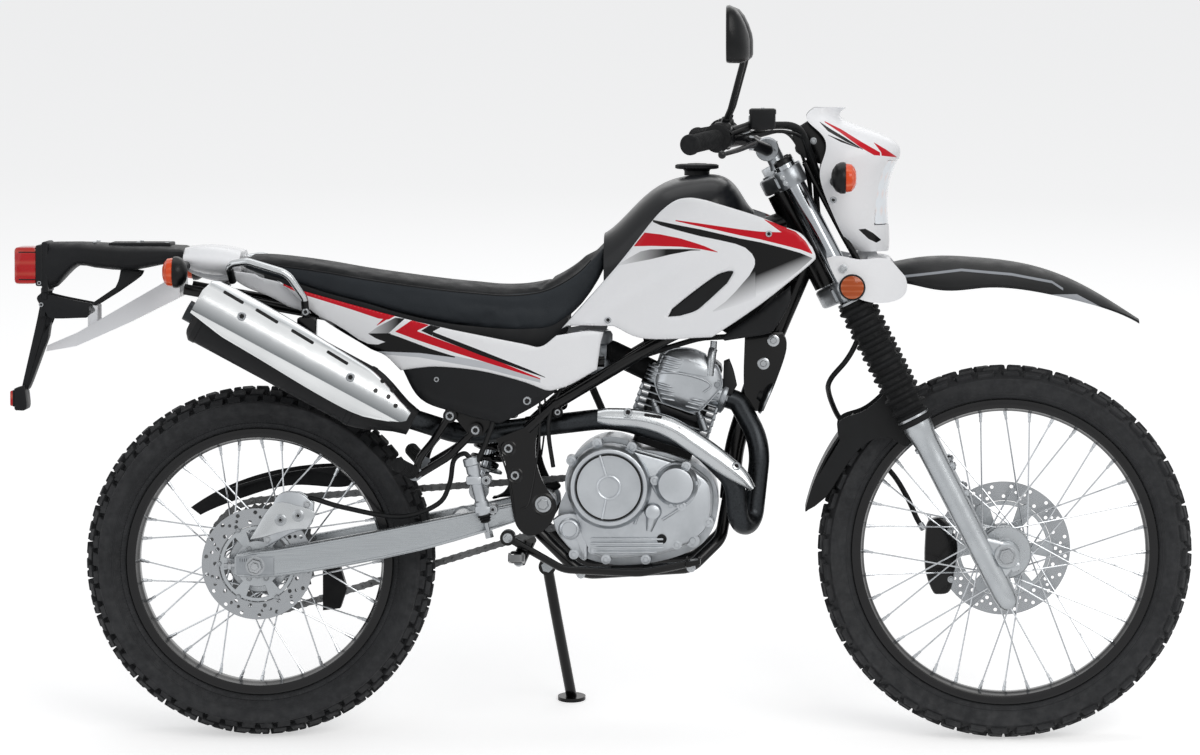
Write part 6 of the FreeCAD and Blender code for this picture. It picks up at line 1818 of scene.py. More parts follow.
def makeEngineTrim():  # plates that hang the head, two hoses, and the horn seen edge on
    shape = Shape(black["frame"])
    for side in (-1, 1):
        plate = outline([[(886, 740), (955, 742)], [(962, 712), (944, 655), (920, 598)], [(892, 598)],
                         [(884, 650), (886, 740)]])
        shape.use(black["frame"])
        shape.slab(plate, *sorted((side * 34, side * 39)), 1)
        for x, z in ((938, 727), (920, 685)):
            shape.use(metal["zinc"])
            shape.lathe([(0, 0), (11, 0), (11, 2), (9.6, 2.8), (0, 2.8)], (x, side * 39, z), (0, side, 0), 28)
            shape.bolt((x, side * 41.6, z), (0, side, 0), 7)
    shape.use(black["smooth"])
    horn, forward = (925, -30, 622), Vector((0.914, 0, -0.405))
    shape.lathe([(0, -16), (12, -16), (14, -8), (27, -5), (31, -1.5), (31, 1.5), (28, 3), (10, 4.5), (0, 4.5)], horn,
                forward, 44)
    shape.use(metal["clamp"])
    shape.ring([(29.6, 0.6), (31.6, 0.6), (31.6, 2.6), (29.6, 2.6)], horn, forward, 44)
    shape.use(black["frame"])
    shape.tube([(905, -30, 630), (900, -30, 650), (906, -34, 668)], 5, 12, flat=0.5)
    shape.use(black["hose"])
    for points, radius in (
        ([(852, 60, 500), (880, 50, 600), (930, 40, 760), (952, 30, 880)], 4),
        ([(640, 60, 560), (620, 70, 600), (600, 60, 660), (620, 30, 720)], 7),
    ):
        shape.tube(flowing(points, 6), radius, 10)
    shape.make("engineTrim", "chassis")


makeEngineTrim()
print("engine made")

# Exhaust: heat shields with their slots and ribs, the silencer's caps, and its hangers.

shields = {
    "muffler": outline([[(-108, 786), (-72, 836), (-52, 838)], [(-20, 822), (60, 778), (162, 716), (213, 685)],
                        [(232, 668), (262, 634), (290, 604)], [(285, 596), (270, 590), (250, 590)],
                        [(190, 604), (120, 640), (20, 700), (-48, 740)], [(-108, 786)]]),
    "pipe": ((622, 595, 12), (645, 594, 16), (700, 590, 17), (752, 575, 19), (806, 541, 20), (850, 509, 19),
             (880, 486, 15), (902, 465, 6)),
    "axis": ((-90, 785), (243, 606)),  # the silencer's ends, rear and front
    "side": -163,
}


def awayFromAxis(x, z):
    (x0, z0), (x1, z1) = shields["axis"]
    run = math.hypot(x1 - x0, z1 - z0)
    return ((x - x0) * (z1 - z0) - (z - z0) * (x1 - x0)) / -run, ((x - x0) * (x1 - x0) + (z - z0) * (z1 - z0)) / run


def mufflerShieldFace(x, z):  # an arc over the silencer down to a crease, then a flat band that looks slightly up
    away = awayFromAxis(x, z)[0]
    if away > -2:
        return 224 - (max(0, away + 2) / 67) ** 2.1 * 32
    return 221.5 + (-2 - away) / 20 * 4


def slit(x0, z0, x1, z1, half=2.6):
    run = Vector((x1 - x0, z1 - z0)).normalized()
    side = Vector((-run.y, run.x)) * half
    a, b = Vector((x0, z0)), Vector((x1, z1))
    return rounded([tuple(a + side), tuple(a - side), tuple(b - side), tuple(b + side)], 2.4, 3)


def skin(shape, rows, wall=2.2):  # rows of surface points, given a thickness inwards
    shape.loft([row + [(x, y + wall, z) for x, y, z in reversed(row)] for row in rows])


def paintedLightShieldLook():  # polished steel with painted light: a painted highlight along its shoulder and painted shade above the crease
    look = Look("silencerShield", tint("b0b3b5"), 0.2, 1.0)
    x, y, z = look.axes()
    (x0, z0), (x1, z1) = shields["axis"]
    run = math.hypot(x1 - x0, z1 - z0)
    away = x * ((z0 - z1) / run) + z * ((x1 - x0) / run) + (x0 * (z1 - z0) - z0 * (x1 - x0)) / run
    paintedHighlight, middle, dark = (tint(code) for code in ("dcdedf", "abaeb0", "74787a"))
    # Painted highlight and painted shade in bands by distance from the silencer's axis, where top light and dark sides
    # would fall.
    look.paint(1.0, look.ramp(look.scaled(away, -24, 66), (0.0, paintedHighlight), (0.225, paintedHighlight), (0.24, dark), (0.42, middle),
                              (0.66, paintedHighlight),
                              (0.8, paintedHighlight), (0.86, middle), (1.0, paintedHighlight)))
    worn(look, tint("9a9da0"), 90.0, 0.3)
    look.bump(look.noise(24.0, 2.0), 0.1)
    return look.material


def silencerShield(shape):
    (x0, z0), (x1, z1) = shields["axis"]
    run = Vector((x1 - x0, z1 - z0)).normalized()
    up = Vector((-run.y, run.x)) * (1 if run.x > 0 else -1)
    path = [awayFromAxis(x, z) for x, z in evenly(shields["muffler"], 2.0)]
    low, high = min(along for away, along in path), max(along for away, along in path)
    rows = []
    for k in range(61):
        along = low + 2 + (high - low - 4) * k / 60
        near = [away for away, way in path if abs(way - along) < 3.2]
        top, foot = max(near), min(near)
        levels = [top, top - 0.8, top - 2.2] + [top + (-1 - top) * share / 11
                                                for share in range(1, 12)] if top > 2 else \
            [top] * 14
        levels = [max(foot, min(top, level)) for level in levels] + [max(foot, min(top, level))
                                                                     for level in (-2.0, -3.4)]
        levels += [min(max(foot, -3.4), max(foot, -3.4 + (foot + 3.4) * share / 4)) for share in range(1, 5)]
        row = []
        for index, away in enumerate(levels):
            x, z = Vector((x0, z0)) + run * along + up * away
            rolled = 3.2 if index == 0 else 1.0 if index == 1 else 2.0 if index == len(levels) - 1 else 0
            row.append((x, -(mufflerShieldFace(x, z) - rolled), z))
        rows.append(row)
    skin(shape, rows)


def pipeShield(shape):  # an arc over the header with a ridge along it, tapered to both ends
    line = flowing([(x, 0, z) for x, z, half in shields["pipe"]], 8)
    rows = []
    for k, point in enumerate(line):
        ahead = (line[min(k + 1, len(line) - 1)] - line[max(k - 1, 0)]).normalized()
        side = Vector((-ahead.z, 0, ahead.x))
        share = k / (len(line) - 1) * (len(shields["pipe"]) - 1)
        half = smoothTable([(index, row[2]) for index, row in enumerate(shields["pipe"])], share)
        row = []
        for place, lift in ((1, -4), (0.94, -1.2), (0.8, 0), (0.55, 0), (0.3, 0), (0.08, 0.1), (-0.02, 1.9),
                            (-0.12, 1.9), (-0.22, 0.1),
                            (-0.45, 0), (-0.7, 0), (-0.86, 0), (-0.96, -1.2), (-1, -4)):
            spot = point + side * half * place
            row.append((spot.x, -(158 - (abs(place) ** 2) * 9 + lift), spot.z))
        rows.append(row)
    skin(shape, rows, 1.8)


def pipeShieldFace(x, z):
    middle = column(shields["pipe"], 1, x)
    return 158 - ((z - middle) / 18) ** 2 * 7


def makeShields():
    shape = Shape(paintedLightShieldLook())
    silencerShield(shape)
    shape.use(metal["shield"])
    pipeShield(shape)
    slots = [slit(-48, 822, -12, 801), slit(10, 790, 50, 766), slit(74, 753, 114, 729), slit(138, 715, 176, 692)]
    holes = [circle(spot, 4.2, 14) for spot in ((226, 645), (249, 634), (262, 618), (238, 662), (256, 646))]
    # Black inserts flush with the shields stand in for open slots and holes: their dark is partly the black silencer
    # and pipe beneath, partly painted shade in the openings.
    shape.use(black["frame"])
    for paths, face in ((slots + holes, mufflerShieldFace), ([slit(706, 599, 738, 594), slit(768, 578, 792, 562),
                                                              slit(814, 546, 838, 529)], pipeShieldFace)):
        for path in paths:
            shape.loft([[(x, -(face(x, z) + way), z) for x, z in path] for way in (-1.6, 0.45)])
    shape.use(metal["zinc"])
    for x, z in ((-14, 778), (181, 669)):
        shape.bolt((x, -mufflerShieldFace(x, z) - 0.5, z), (0, -1, 0), 8, "socket")
    for x, z in ((677, 603), (872, 506)):
        shape.bolt((x, -pipeShieldFace(x, z) + 0.5, z), (0, -1, 0), 8, "socket")
    shape.make("heatShields", "chassis", ("exhaust_shields",))


makeShields()


def makeMuffler():
    end, start = (Vector((x, 0, z)) for x, z in shields["axis"])
    ahead = (end - start).normalized()
    up = Vector((0, 1, 0)).cross(ahead)
    up *= math.copysign(1, up.z)

    def section(along, scale, inboard=0.0, grow=0.0):
        centre = start + ahead * along + Vector((0, shields["side"] + inboard, 0))
        wide, high = 48 * scale + grow, 57 * scale + grow
        return [centre + Vector((0, a * wide, 0)) + up * b * high for a, b in pillow(56, 0.6)]
    length = (end - start).length
    shape = Shape(black["muffler"])
    shape.loft([section(-50, 0.44, 31), section(-44, 0.46, 29), section(-26, 0.54, 23), section(-6, 0.68, 15),
                section(14, 0.83, 8), section(34, 0.95, 2), section(48, 1.0), section(length - 14, 1.0)])
    shape.loft([section(50, 1, 0, 0.0), section(51, 1, 0, 1.4), section(60, 1, 0, 1.4), section(61, 1, 0, 0.0)])
    shape.loft([section(length - 14, 1, 0, 0.2), section(length - 13, 1, 0, 1.4), section(length - 3, 1, 0, 1.4),
                section(length, 0.98), section(length + 6, 0.86), section(length + 8, 0.78)])
    shape.use(metal["pipe"])
    base = end + Vector((0, shields["side"], 0)) + ahead * 4 - up * 12
    shape.lathe([(19, 0), (19, 22), (17, 22), (16, 2)], base, ahead, 32)
    shape.use(metal["zinc"])
    for k in range(8):
        turn = 2 * math.pi * k / 8 + 0.3
        spot = end + Vector((0, shields["side"] + 36 * math.cos(turn), 0)) + up * 42 * math.sin(turn) + ahead * 5.5
        shape.bolt(spot, ahead, 3.4, "socket")
    shape.use(black["frame"])
    for x, z in ((96, 746), (-60, 812)):
        shape.box((x - 17, -150, z - 10), (x + 17, -108, z + 26), 3)
    shape.make("silencer", "chassis", ("muffler",))


makeMuffler()


def makeHeader():
    route = [(916, -60, 540), (900, -72, 392), (876, -124, 400), (868, -128, 478), (800, -116, 545), (650, -100, 590),
             (530, -70, 574), (410, -64, 558), (362, -69, 559)]
    port = cylinderFrame @ Vector((74, -34, 128))
    leave = cylinderFrame @ Vector((104, -34, 128))
    path = bent([port, leave] + route + [(262, -132, 596)], [24, 120, 30, 28, 60, 130, 200, 200, 120, 60], 9)
    shape = Shape(metal["pipe"])
    shape.tube(path, 18.8, 24)
    flange = cylinderFrame.to_3x3() @ Vector((1, 0, 0))
    shape.use(metal["clamp"])
    shape.lathe([(0, -3), (29, -3), (31, 0), (31, 6), (24, 9), (19, 10)], port, flange, 32)
    for way in (-26, 26):
        spot = port + cylinderFrame.to_3x3() @ Vector((6, way, 0))
        shape.bolt(spot, flange, 6)
    shape.use(black["frame"])
    shape.ring([(18.9, -10), (21.5, -10), (21.5, 10), (18.9, 10)], (500, -68.5, 569), (1, 0.05, 0.13), 28)
    shape.make("headerPipe", "chassis", ("exhaust_pipe",))


makeHeader()
print("exhaust made")

# Fork: bellows, stanchions, cast lowers and the clamps, in the steering head's frame.

fork = {
    "low": 894.6, "high": 1124.0, "lowerTop": 660.7, "foot": 262.7, "tubeTop": 1175.7, "bootLow": 638.7,
    "bootHigh": 891.6,
    "ridges": 10, "bootRadius": 35, "tube": 17.9, "clamp": 34,
}
axleOnFork = raked.inverted() @ frontAxle
legAhead, legSide = stance["fork"]


def makeBoots():
    shape = Shape(black["rubber"])
    shape.place = raked
    start, end = fork["bootLow"] + 24, fork["bootHigh"] - 6
    pitch = (end - start) / fork["ridges"]
    for side in (-1, 1):
        profile = [(27.3, fork["bootLow"]), (30.2, fork["bootLow"]), (31, fork["bootLow"] + 2),
                   (31, fork["bootLow"] + 8),
                   (29.4, fork["bootLow"] + 10), (29.4, fork["bootLow"] + 17), (31, fork["bootLow"] + 20)]
        for ridge in range(fork["ridges"]):
            for step, out in ((0.0, -8.5), (0.1, -8.2), (0.34, -1.2), (0.44, 0), (0.54, -0.2), (0.62, -2.6),
                              (0.72, -7.4), (0.86, -8.6)):
                profile.append((fork["bootRadius"] + out, start + (ridge + step) * pitch))
        profile += [(27, end), (30, end + 1), (30, end + 5), (18.5, fork["bootHigh"])]
        shape.lathe(profile, (legAhead, side * legSide, 0), (0, 0, 1), 40)
    shape.use(metal["zinc"])
    for side in (-1, 1):
        for z in (fork["bootLow"] + 11, fork["bootHigh"] - 4.5):
            r = 29.6 if z < 700 else 30.2
            shape.ring([(r - 0.4, z), (r + 0.8, z), (r + 0.8, z + 4), (r - 0.4, z + 4)], (legAhead, side * legSide, 0),
                       (0, 0, 1), 40)
    shape.make("forkBoots", "steering", ("fork_boots",))


makeBoots()


def makeStanchions():
    shape = Shape(metal["chrome"])
    shape.place = raked
    for side in (-1, 1):
        start = (legAhead, side * legSide, 0)
        shape.use(metal["chrome"])
        top = fork["tubeTop"]
        shape.lathe([(0, fork["lowerTop"] + 0.5), (fork["tube"], fork["lowerTop"] + 0.5), (fork["tube"], top - 12),
                     (17, top - 11)], start, (0, 0, 1), 40)
        shape.use(black["smooth"])
        shape.lathe([(0, top - 12), (17.6, top - 12), (17.8, top - 4), (16.6, top - 2), (12, top - 2)], start,
                    (0, 0, 1), 40)
        shape.lathe([(13, top - 3), (13, top - 0.6), (12, top), (5, top), (4.6, top - 1.4), (0, top - 1.4)], start,
                    (0, 0, 1), 6)
    shape.make("forkTubes", "steering", ("fork_tubes",))


makeStanchions()


def makeLowers():
    ahead, up = axleOnFork.x, axleOnFork.z
    shape = Shape(metal["leg"])
    shape.place = raked
    for side in (-1, 1):
        start = (legAhead, side * legSide, 0)
        shape.use(metal["leg"])
        low, top = fork["foot"], fork["lowerTop"]
        shape.lathe([(0, low), (12, low), (15, low + 3), (19, low + 10), (21, low + 26), (21.8, low + 60),
                     (22, low + 120),
                     (22, top - 90), (22.4, top - 60), (24.6, top - 44), (26.6, top - 34), (27, top - 28),
                     (27, top - 22.5)],
                    start, (0, 0, 1), 48)
        web = [(legAhead - 6, up + 52), (legAhead + 12, up + 50), (ahead + 12, up + 20), (ahead + 22, up + 4),
               (ahead + 20, up - 14),
               (ahead + 4, up - 24), (legAhead + 16, up - 34), (legAhead + 4, up - 40), (legAhead - 10, up - 34)]
        shape.slab(flowingOutline(web), side * legSide - 12, side * legSide + 12, 4)
        shape.lathe([(11, -15), (21, -15), (23.6, -12.5), (24, -9), (24, 9), (23.6, 12.5), (21, 15), (11, 15)],
                    (ahead, side * legSide, up), (0, 1, 0), 48)
        shape.box((ahead - 5, side * legSide - 13, up - 33), (ahead + 16, side * legSide + 13, up - 18), 4)
        shape.use(black["smooth"])
        shape.lathe([(18.2, top - 3), (26.6, top - 3), (27, top - 2), (27, top - 22), (25, top - 23)], start, (0, 0, 1),
                    48)
        shape.use(metal["zinc"])
        out = (0, side, 0)
        spot = Vector((ahead, side * (legSide + 15), up))
        shape.lathe([(0, -4), (17, -4), (17.5, -3), (17.5, 0), (16, 1)], spot, out, 32)
        if side < 0:
            shape.lathe([(15, 0), (15, 8), (13.6, 9.6), (9, 9.6), (9, 12), (0, 12.4)], spot, out, 6)
        else:
            shape.lathe([(14.5, 0), (14.5, 6), (13, 8), (8, 8), (7, 4), (0, 4)], spot, out, 32)
        shape.bolt((ahead + 5.5, side * legSide, up - 32.5), (0, 0, -1), 5)
        shape.bolt((legAhead - 21, side * legSide, low + 330), (-1, 0, 0), 5.5)
        for z in (top - 120, top - 176):
            shape.use(metal["leg"])
            shape.lathe([(9, -8), (9, 4), (7.6, 6), (0, 6)], (legAhead + 21, side * (legSide - 6), z), (1, 0, 0), 20)
            shape.use(metal["zinc"])
            shape.bolt((legAhead + 26.6, side * (legSide - 6), z), (1, 0, 0), 4.6)
    shape.use(metal["zinc"])
    shape.lathe([(0, -110), (9.4, -110), (9.4, 110), (0, 110)], axleOnFork, (0, 1, 0), 24)
    shape.use(metal["leg"])
    shape.box((ahead - 46, 70, up + 64), (ahead - 6, 88, up + 90), 4)
    shape.make("forkLowers", "steering", ("fork_lowers",))


makeLowers()


def makeClamps():
    shape = Shape(metal["clamp"])
    shape.place = raked
    for low, high in ((fork["low"], fork["low"] + fork["clamp"]), (fork["high"], fork["high"] + fork["clamp"] - 4)):
        y = legSide
        path = rounded([(legAhead + 22, -y + 8), (legAhead + 24, -30), (legAhead + 14, 0), (legAhead + 24, 30),
                        (legAhead + 22, y - 8),
                        (legAhead + 12, y + 21), (legAhead - 6, y + 21), (legAhead - 25, y - 2), (-26, 34), (-31, 0),
                        (-26, -34),
                        (legAhead - 25, -y + 2), (legAhead - 6, -y - 21), (legAhead + 12, -y - 21)], 12, 4)
        path = path[::-1]
        shape.stack(path, [(low, 4), (low + 1.4, 1.4), (low + 4, 0), (high - 4, 0), (high - 1.4, 1.4), (high, 4)])
        for side in (-1, 1):
            shape.ring([(18.1, low - 2), (24.8, low - 2), (25.8, low), (25.8, high), (24.8, high + 2),
                        (18.1, high + 2)],
                       (legAhead, side * y, 0), (0, 0, 1), 40)
            shape.box((legAhead - 29, side * y - 9, low + 5), (legAhead - 18, side * y + 9, high - 5), 2)
            # A thin black strip down the pinch boss: painted shade in the clamp's split.
            shape.use(black["frame"])
            shape.box((legAhead - 29.6, side * y - 1.2, low + 4), (legAhead - 20, side * y + 1.2, high - 4), 0.4)
            shape.use(metal["zinc"])
            for z in (low + 9, high - 9):
                shape.bolt((legAhead - 12, side * (y + 23), z), (-0.35, side, 0), 4.2)
            shape.use(metal["clamp"])
    high = fork["high"] + fork["clamp"] - 4
    shape.use(metal["zinc"])
    shape.lathe([(0, fork["low"]), (15, fork["low"]), (15, high), (21, high), (21, high + 3), (17, high + 3)],
                (0, 0, 0), (0, 0, 1), 40)
    shape.lathe([(17, high + 2), (17, high + 16), (15.6, high + 18), (9, high + 18), (8, high + 12), (0, high + 12)],
                (0, 0, 0), (0, 0, 1), 6)
    shape.use(black["frame"])
    shape.lathe([(0, 0), (24, 0), (24, 3), (0, 3)], (0, 0, high - 36), (0, 0, 1), 24)
    shape.make("tripleClamps", "steering", ("triple_clamps",))


makeClamps()
print("fork made")

# Handlebar, risers, grips, levers, switches, reservoir, throttle and clutch cables.

barSize = {"path": [(793, -402, 1089), (866, -224, 1104), (926, -96, 1074), (926, 96, 1074), (866, 224, 1104),
                    (793, 402, 1089)],
           "gripEnd": (793, 402, 1089), "gripRun": (48, -117.04, 9.863)}


def alongBar(side, share):
    x, y, z = (end + run * share for end, run in zip(barSize["gripEnd"], barSize["gripRun"]))
    return Vector((x, side * y, z))


def onBar(shape, side, profile, sides=36):  # profile: radius, share of the grip's length
    step = (alongBar(side, 1) - alongBar(side, 0)).length
    axis = (alongBar(side, 1) - alongBar(side, 0)) / step
    shape.lathe([(radius, share * step) for radius, share in profile], alongBar(side, 0), axis, sides)


def makeBar():
    shape = Shape(black["bar"])
    shape.tube(bent(barSize["path"], [60] * 4, 9), 11.1, 24)
    shape.use(metal["clamp"])
    for side in (-1, 1):
        shape.tube([(948, side * 50, 1040), (944, side * 50, 1050), (934, side * 50, 1070)], [17, 15, 15], 24)
        shape.ring([(11.2, -15), (20, -15), (21, -14), (21, 14), (20, 15), (11.2, 15)], (926, side * 50, 1074),
                   (0, 1, 0), 36)
        shape.box((908, side * 50 - 15, 1070), (944, side * 50 + 15, 1078), 2)
    shape.use(metal["zinc"])
    for side in (-1, 1):
        for x, z in ((913, 1092), (941, 1092)):
            for y in (-9, 9):
                shape.bolt((x, side * 50 + y, z - 6), (0, 0, 1), 3.6, "socket")
    shape.make("barAssembly", "steering", ("handlebar",))


makeBar()


def makeGrips():
    shape = Shape(black["rubber"])
    for side in (-1, 1):
        profile = [(0, -0.06), (12, -0.06), (17, -0.045), (18.6, -0.02), (18.6, 0.01), (16.4, 0.03)]
        ribs = 16
        for rib in range(ribs):
            start = 0.05 + rib * 0.80 / ribs
            profile += [(14.6, start), (16.2, start + 0.012), (16.4, start + 0.026), (14.8, start + 0.038)]
        profile += [(15.6, 0.865), (16.2, 0.90), (25, 0.93), (26, 0.945), (25.4, 0.965), (12, 0.97)]
        onBar(shape, side, profile)
    shape.make("barGrips", "steering", ("grips",))


makeGrips()


def makeControls():
    shape = Shape(black["smooth"])
    for side in (-1, 1):
        shape.use(black["smooth"])
        onBar(shape, side, [(11.4, 0.98), (20.4, 0.98), (21.4, 0.995), (21.4, 1.08), (20.2, 1.09), (20.2, 1.10),
                            (21.4, 1.11),
                            (21.4, 1.25), (20, 1.275), (11.4, 1.28)])
        mid = alongBar(side, 1.16)
        shape.box(tuple(mid + Vector((-16, -15, 8))), tuple(mid + Vector((14, 15, 26))), 4)
        shape.use(metal["zinc"])
        for way in (-9, 9):
            shape.bolt(mid + Vector((-14, way, -8)), (-1, 0, -0.4), 3, "socket")
        shape.use(lens["red"] if side < 0 else black["rubber"])
        shape.box(tuple(mid + Vector((-21, -7, 12))), tuple(mid + Vector((-14, 7, 20))), 2)
        shape.use(black["rubber"])
        shape.box(tuple(mid + Vector((-20, -6, -2))), tuple(mid + Vector((-15, 6, 6))), 1.6)
        # lever: a perch, then a flat blade that ends in a ball
        shape.use(black["bar"])
        perch = [(880, side * 262, 1096), (896, side * 268, 1094), (903, side * 280, 1089)]
        blade = flowing([(903, side * 280, 1089), (893, side * 305, 1085), (880, side * 340, 1080),
                         (862, side * 384, 1075),
                         (850, side * 408, 1072)], 6)
        shape.tube([(868, side * 256, 1097)] + perch, [10, 10, 10, 9], 16)
        shape.tube(blade, [8.5 - 0.14 * k for k in range(len(blade))], 16, flat=0.62)
        shape.lathe([(0, -7.2), (3.6, -6.4), (6.4, -3.6), (7.2, 0), (6.4, 3.6), (3.6, 6.4), (0, 7.2)],
                    (849, side * 411, 1071.6), (0.1, side, 0), 20)
        shape.use(metal["zinc"])
        shape.bolt((899, side * 277, 1099), (0, 0, 1), 5)
        shape.bolt((899, side * 277, 1080), (0, 0, -1), 4.4)
    # reservoir on the right with its lid and sight glass
    shape.use(black["smooth"])
    lid = rounded([(896, -268), (942, -268), (942, -212), (896, -212)], 7, 4)
    shape.stack(lid, [(1113, 5), (1115, 1.5), (1118, 0), (1141, 0), (1141, -1.2), (1148, -1.2), (1150, 0.4), (1151, 3)])
    shape.tube([(914, -243, 1128), (890, -250, 1118), (869, -256, 1109)], [8, 8, 10], 16)
    shape.use(metal["zinc"])
    for y in (-16, 16):
        shape.bolt((919, -240 + y, 1150.6), (0, 0, 1), 2.8, "socket")
    shape.lathe([(0, 0), (8, 0), (8, 1.6), (6.6, 2.2), (5.8, 1.2), (0, 1.2)], (896, -240, 1130), (-1, 0, 0), 24)
    shape.make("handControls", "steering", ("hand_controls",))


makeControls()


def makeCables():
    shape = Shape(black["hose"])
    lines = (
        ([(862, -286, 1106), (900, -250, 1118), (950, -180, 1120), (985, -96, 1104), (1000, -62, 1062),
          (1004, -56, 1010), (1010, -52, 930)], 3.4),
        ([(868, -270, 1100), (905, -236, 1106), (960, -160, 1108), (996, -100, 1090), (1008, -66, 1046),
          (1016, -60, 1000), (1022, -56, 930)], 3.4),
        ([(882, 262, 1090), (920, 220, 1108), (975, 140, 1108), (1006, 84, 1076), (1012, 62, 1020), (1018, 56, 930)],
         3.8),
        ([(878, 250, 1080), (916, 180, 1096), (960, 110, 1102), (990, 76, 1060), (1006, 60, 990)], 3.0),
    )
    for points, radius in lines:
        shape.tube(flowing(points, 7), radius, 10)
    shape.use(metal["zinc"])
    for side in (-1, 1):
        end = Vector((874, side * 262, 1100))
        shape.tube([end, end + Vector((18, -side * 16, 10))], 5, 12)
    shape.make("controlCables", "steering")


makeCables()


def makeHose():
    beside = [(78, -92, 1152), (70, -56, 1080), (66, -47, 970), (64, -48, 880), (-20, -46, 800)]
    points = [(925, -206.5, 1122), (986, -165, 1122)] + [onSteering(*spot) for spot in beside] + [
        (1036, -8, 650), (1040, 44, 620), (1058, 84, 576), (1108, 95, 522), (1160, 95, 474), (1188, 92, 425),
        (1202, 84, 392), (1214, 76, 374)]
    shape = Shape(black["hose"])
    line = bent(points, None, 8)
    shape.tube(line, 4.9, 14)
    shape.use(metal["zinc"])
    shape.tube([Vector(points[0]) - Vector((4, 2.6, 0)), Vector(points[0]) + Vector((12, 8.4, 0))], 6.4, 12)
    shape.tube([Vector(points[-1]) + Vector((-6, 4, 10)), Vector(points[-1])], 6.4, 12)
    shape.make("brakeHose", "steering", ("brake_hose",))


makeHose()


def makeMirrors():
    shape = Shape(black["smooth"])
    glass = Look("mirrorGlass", tint("dfe4e8"), 0.03, 1.0)
    glass.bump(glass.noise(40.0, 1.0), 0.01)
    x, y, z = glass.axes()
    glass.paint(glass.scaled(glass.noise(60.0, 2.0), 0.3, 0.8, (0, 0.2)), tint("c9d0d6"))
    ring = [(0, -50), (24, -49), (44, -44), (56, -26), (60, 0), (57, 24), (48, 44), (26, 51), (0, 52), (-26, 51),
            (-48, 44),
            (-57, 24), (-60, 0), (-56, -26), (-44, -44), (-24, -49)]
    for side in (-1, 1):
        smooth = flowing([(0, a * side, b) for a, b in ring], 4, True)
        shape.use(black["smooth"])
        stem = bent([(851, side * 262, 1124.4), (862, side * 276, 1150), (886, side * 322, 1240),
                     (880, side * 400, 1272)], [60, 40], 8)
        shape.tube(stem, 5, 16)
        shape.lathe([(0, -8), (11, -8), (11, 2), (8, 4), (8, 12), (6, 14), (5, 14)], (851, side * 262, 1122),
                    (0.3, side * 0.35, 1), 6)
        shape.tube([stem[-1], (884, side * 412, 1276)], [8, 11], 16)
        rings = []
        for x, scale, sink in ((897, 0.26, 24), (895, 0.44, 21), (889, 0.66, 15), (881, 0.84, 8), (871, 0.96, 2),
                               (862, 1.0, 0),
                               (857, 0.975, 0), (856, 0.93, 0), (858, 0.90, 0)):
            rings.append([(x, side * 412 + p.y * scale, 1282 - sink + p.z * scale) for p in smooth])
        shape.loft(rings, True)
        shape.use(glass.material)
        shape.loft([[(857.6, side * 412 + p.y * 0.9, 1282 + p.z * 0.9) for p in smooth],
                    [(857.2, side * 412 + p.y * 0.6, 1282 + p.z * 0.6) for p in smooth]])
    shape.make("barMirrors", "steering", ("mirrors",))


makeMirrors()


def makeGauge():
    tilt = Matrix.Translation((972, 0, 1072)) @ Matrix.Rotation(math.radians(30), 4, "Y")
    shape = Shape(black["moulding"])
    shape.place = tilt
    shape.box((0, -52, 0), (40, 52, 62), 9)
    shape.use(black["smooth"])
    face = rounded([(6, -46), (34, -46), (34, 46), (6, 46)], 8, 4)
    shape.stack(face, ((60, 0), (65, 0), (66, 1.4), (66, 3), (64.6, 3.4)))
    display = Look("gaugeDisplay", tint("76807a"), 0.2, Coat_Weight=0.7)
    x, y, z = display.axes()
    display.paint(display.scaled(display.maths("PINGPONG", y, 5.0), 3.6, 4.2, (0, 0.8)), tint("232b27"))
    shape.use(display.material)
    shape.stack(face, ((64.2, 7), (65.2, 7)))
    shape.use(lens["red"])
    for y in (-34, 34):
        shape.lathe([(0, 0), (2.4, 0), (2.4, 2.6), (0, 3)], (20, y, 64), (0, 0, 1), 16)
    shape.use(black["smooth"])
    shape.tube([(4, 44, 20), (-10, 44, 20)], 4, 12)
    shape.make("gaugeCase", "steering", ("gauge",))


makeGauge()


def makeLamp():  # reflector bowl and bulb behind the lens, and the lamp's stays to the clamps
    shape = Shape(metal["chrome"])
    shape.loft([[(x, y * 78 * k, 996 + z * 50 * k) for y, z in circle((0, 0), 1, 40)] for x,
                k in ((1108, 1.0), (1092, 0.92), (1078, 0.70), (1070, 0.4), (1068, 0.15))])
    shape.lathe([(0, 0), (7, 0), (7, 16), (4, 22), (0, 23)], (1069, 0, 996), (1, 0, 0), 20)
    shape.use(black["frame"])
    for side in (-1, 1):
        shape.tube(bent([onSteering(68, side * 70, 905), onSteering(64, side * 80, 1000),
                         onSteering(62, side * 82, 1150)], [60], 6), 6, 12)
        plate = outline([[(970, 1106), (1002, 1126)], [(1044, 1098), (1080, 1054)], [(1062, 1038), (1016, 1050)],
                         [(984, 1068), (970, 1106)]])
        shape.slab(plate, *sorted((side * 60, side * 63)), 0.6)
        shape.use(metal["zinc"])
        for x, z in ((1042, 1068), (1010, 1090)):
            shape.bolt((x, side * 63, z), (0, side, 0), 5)
        shape.use(black["frame"])
    shape.make("lampInside", "steering")


makeLamp()


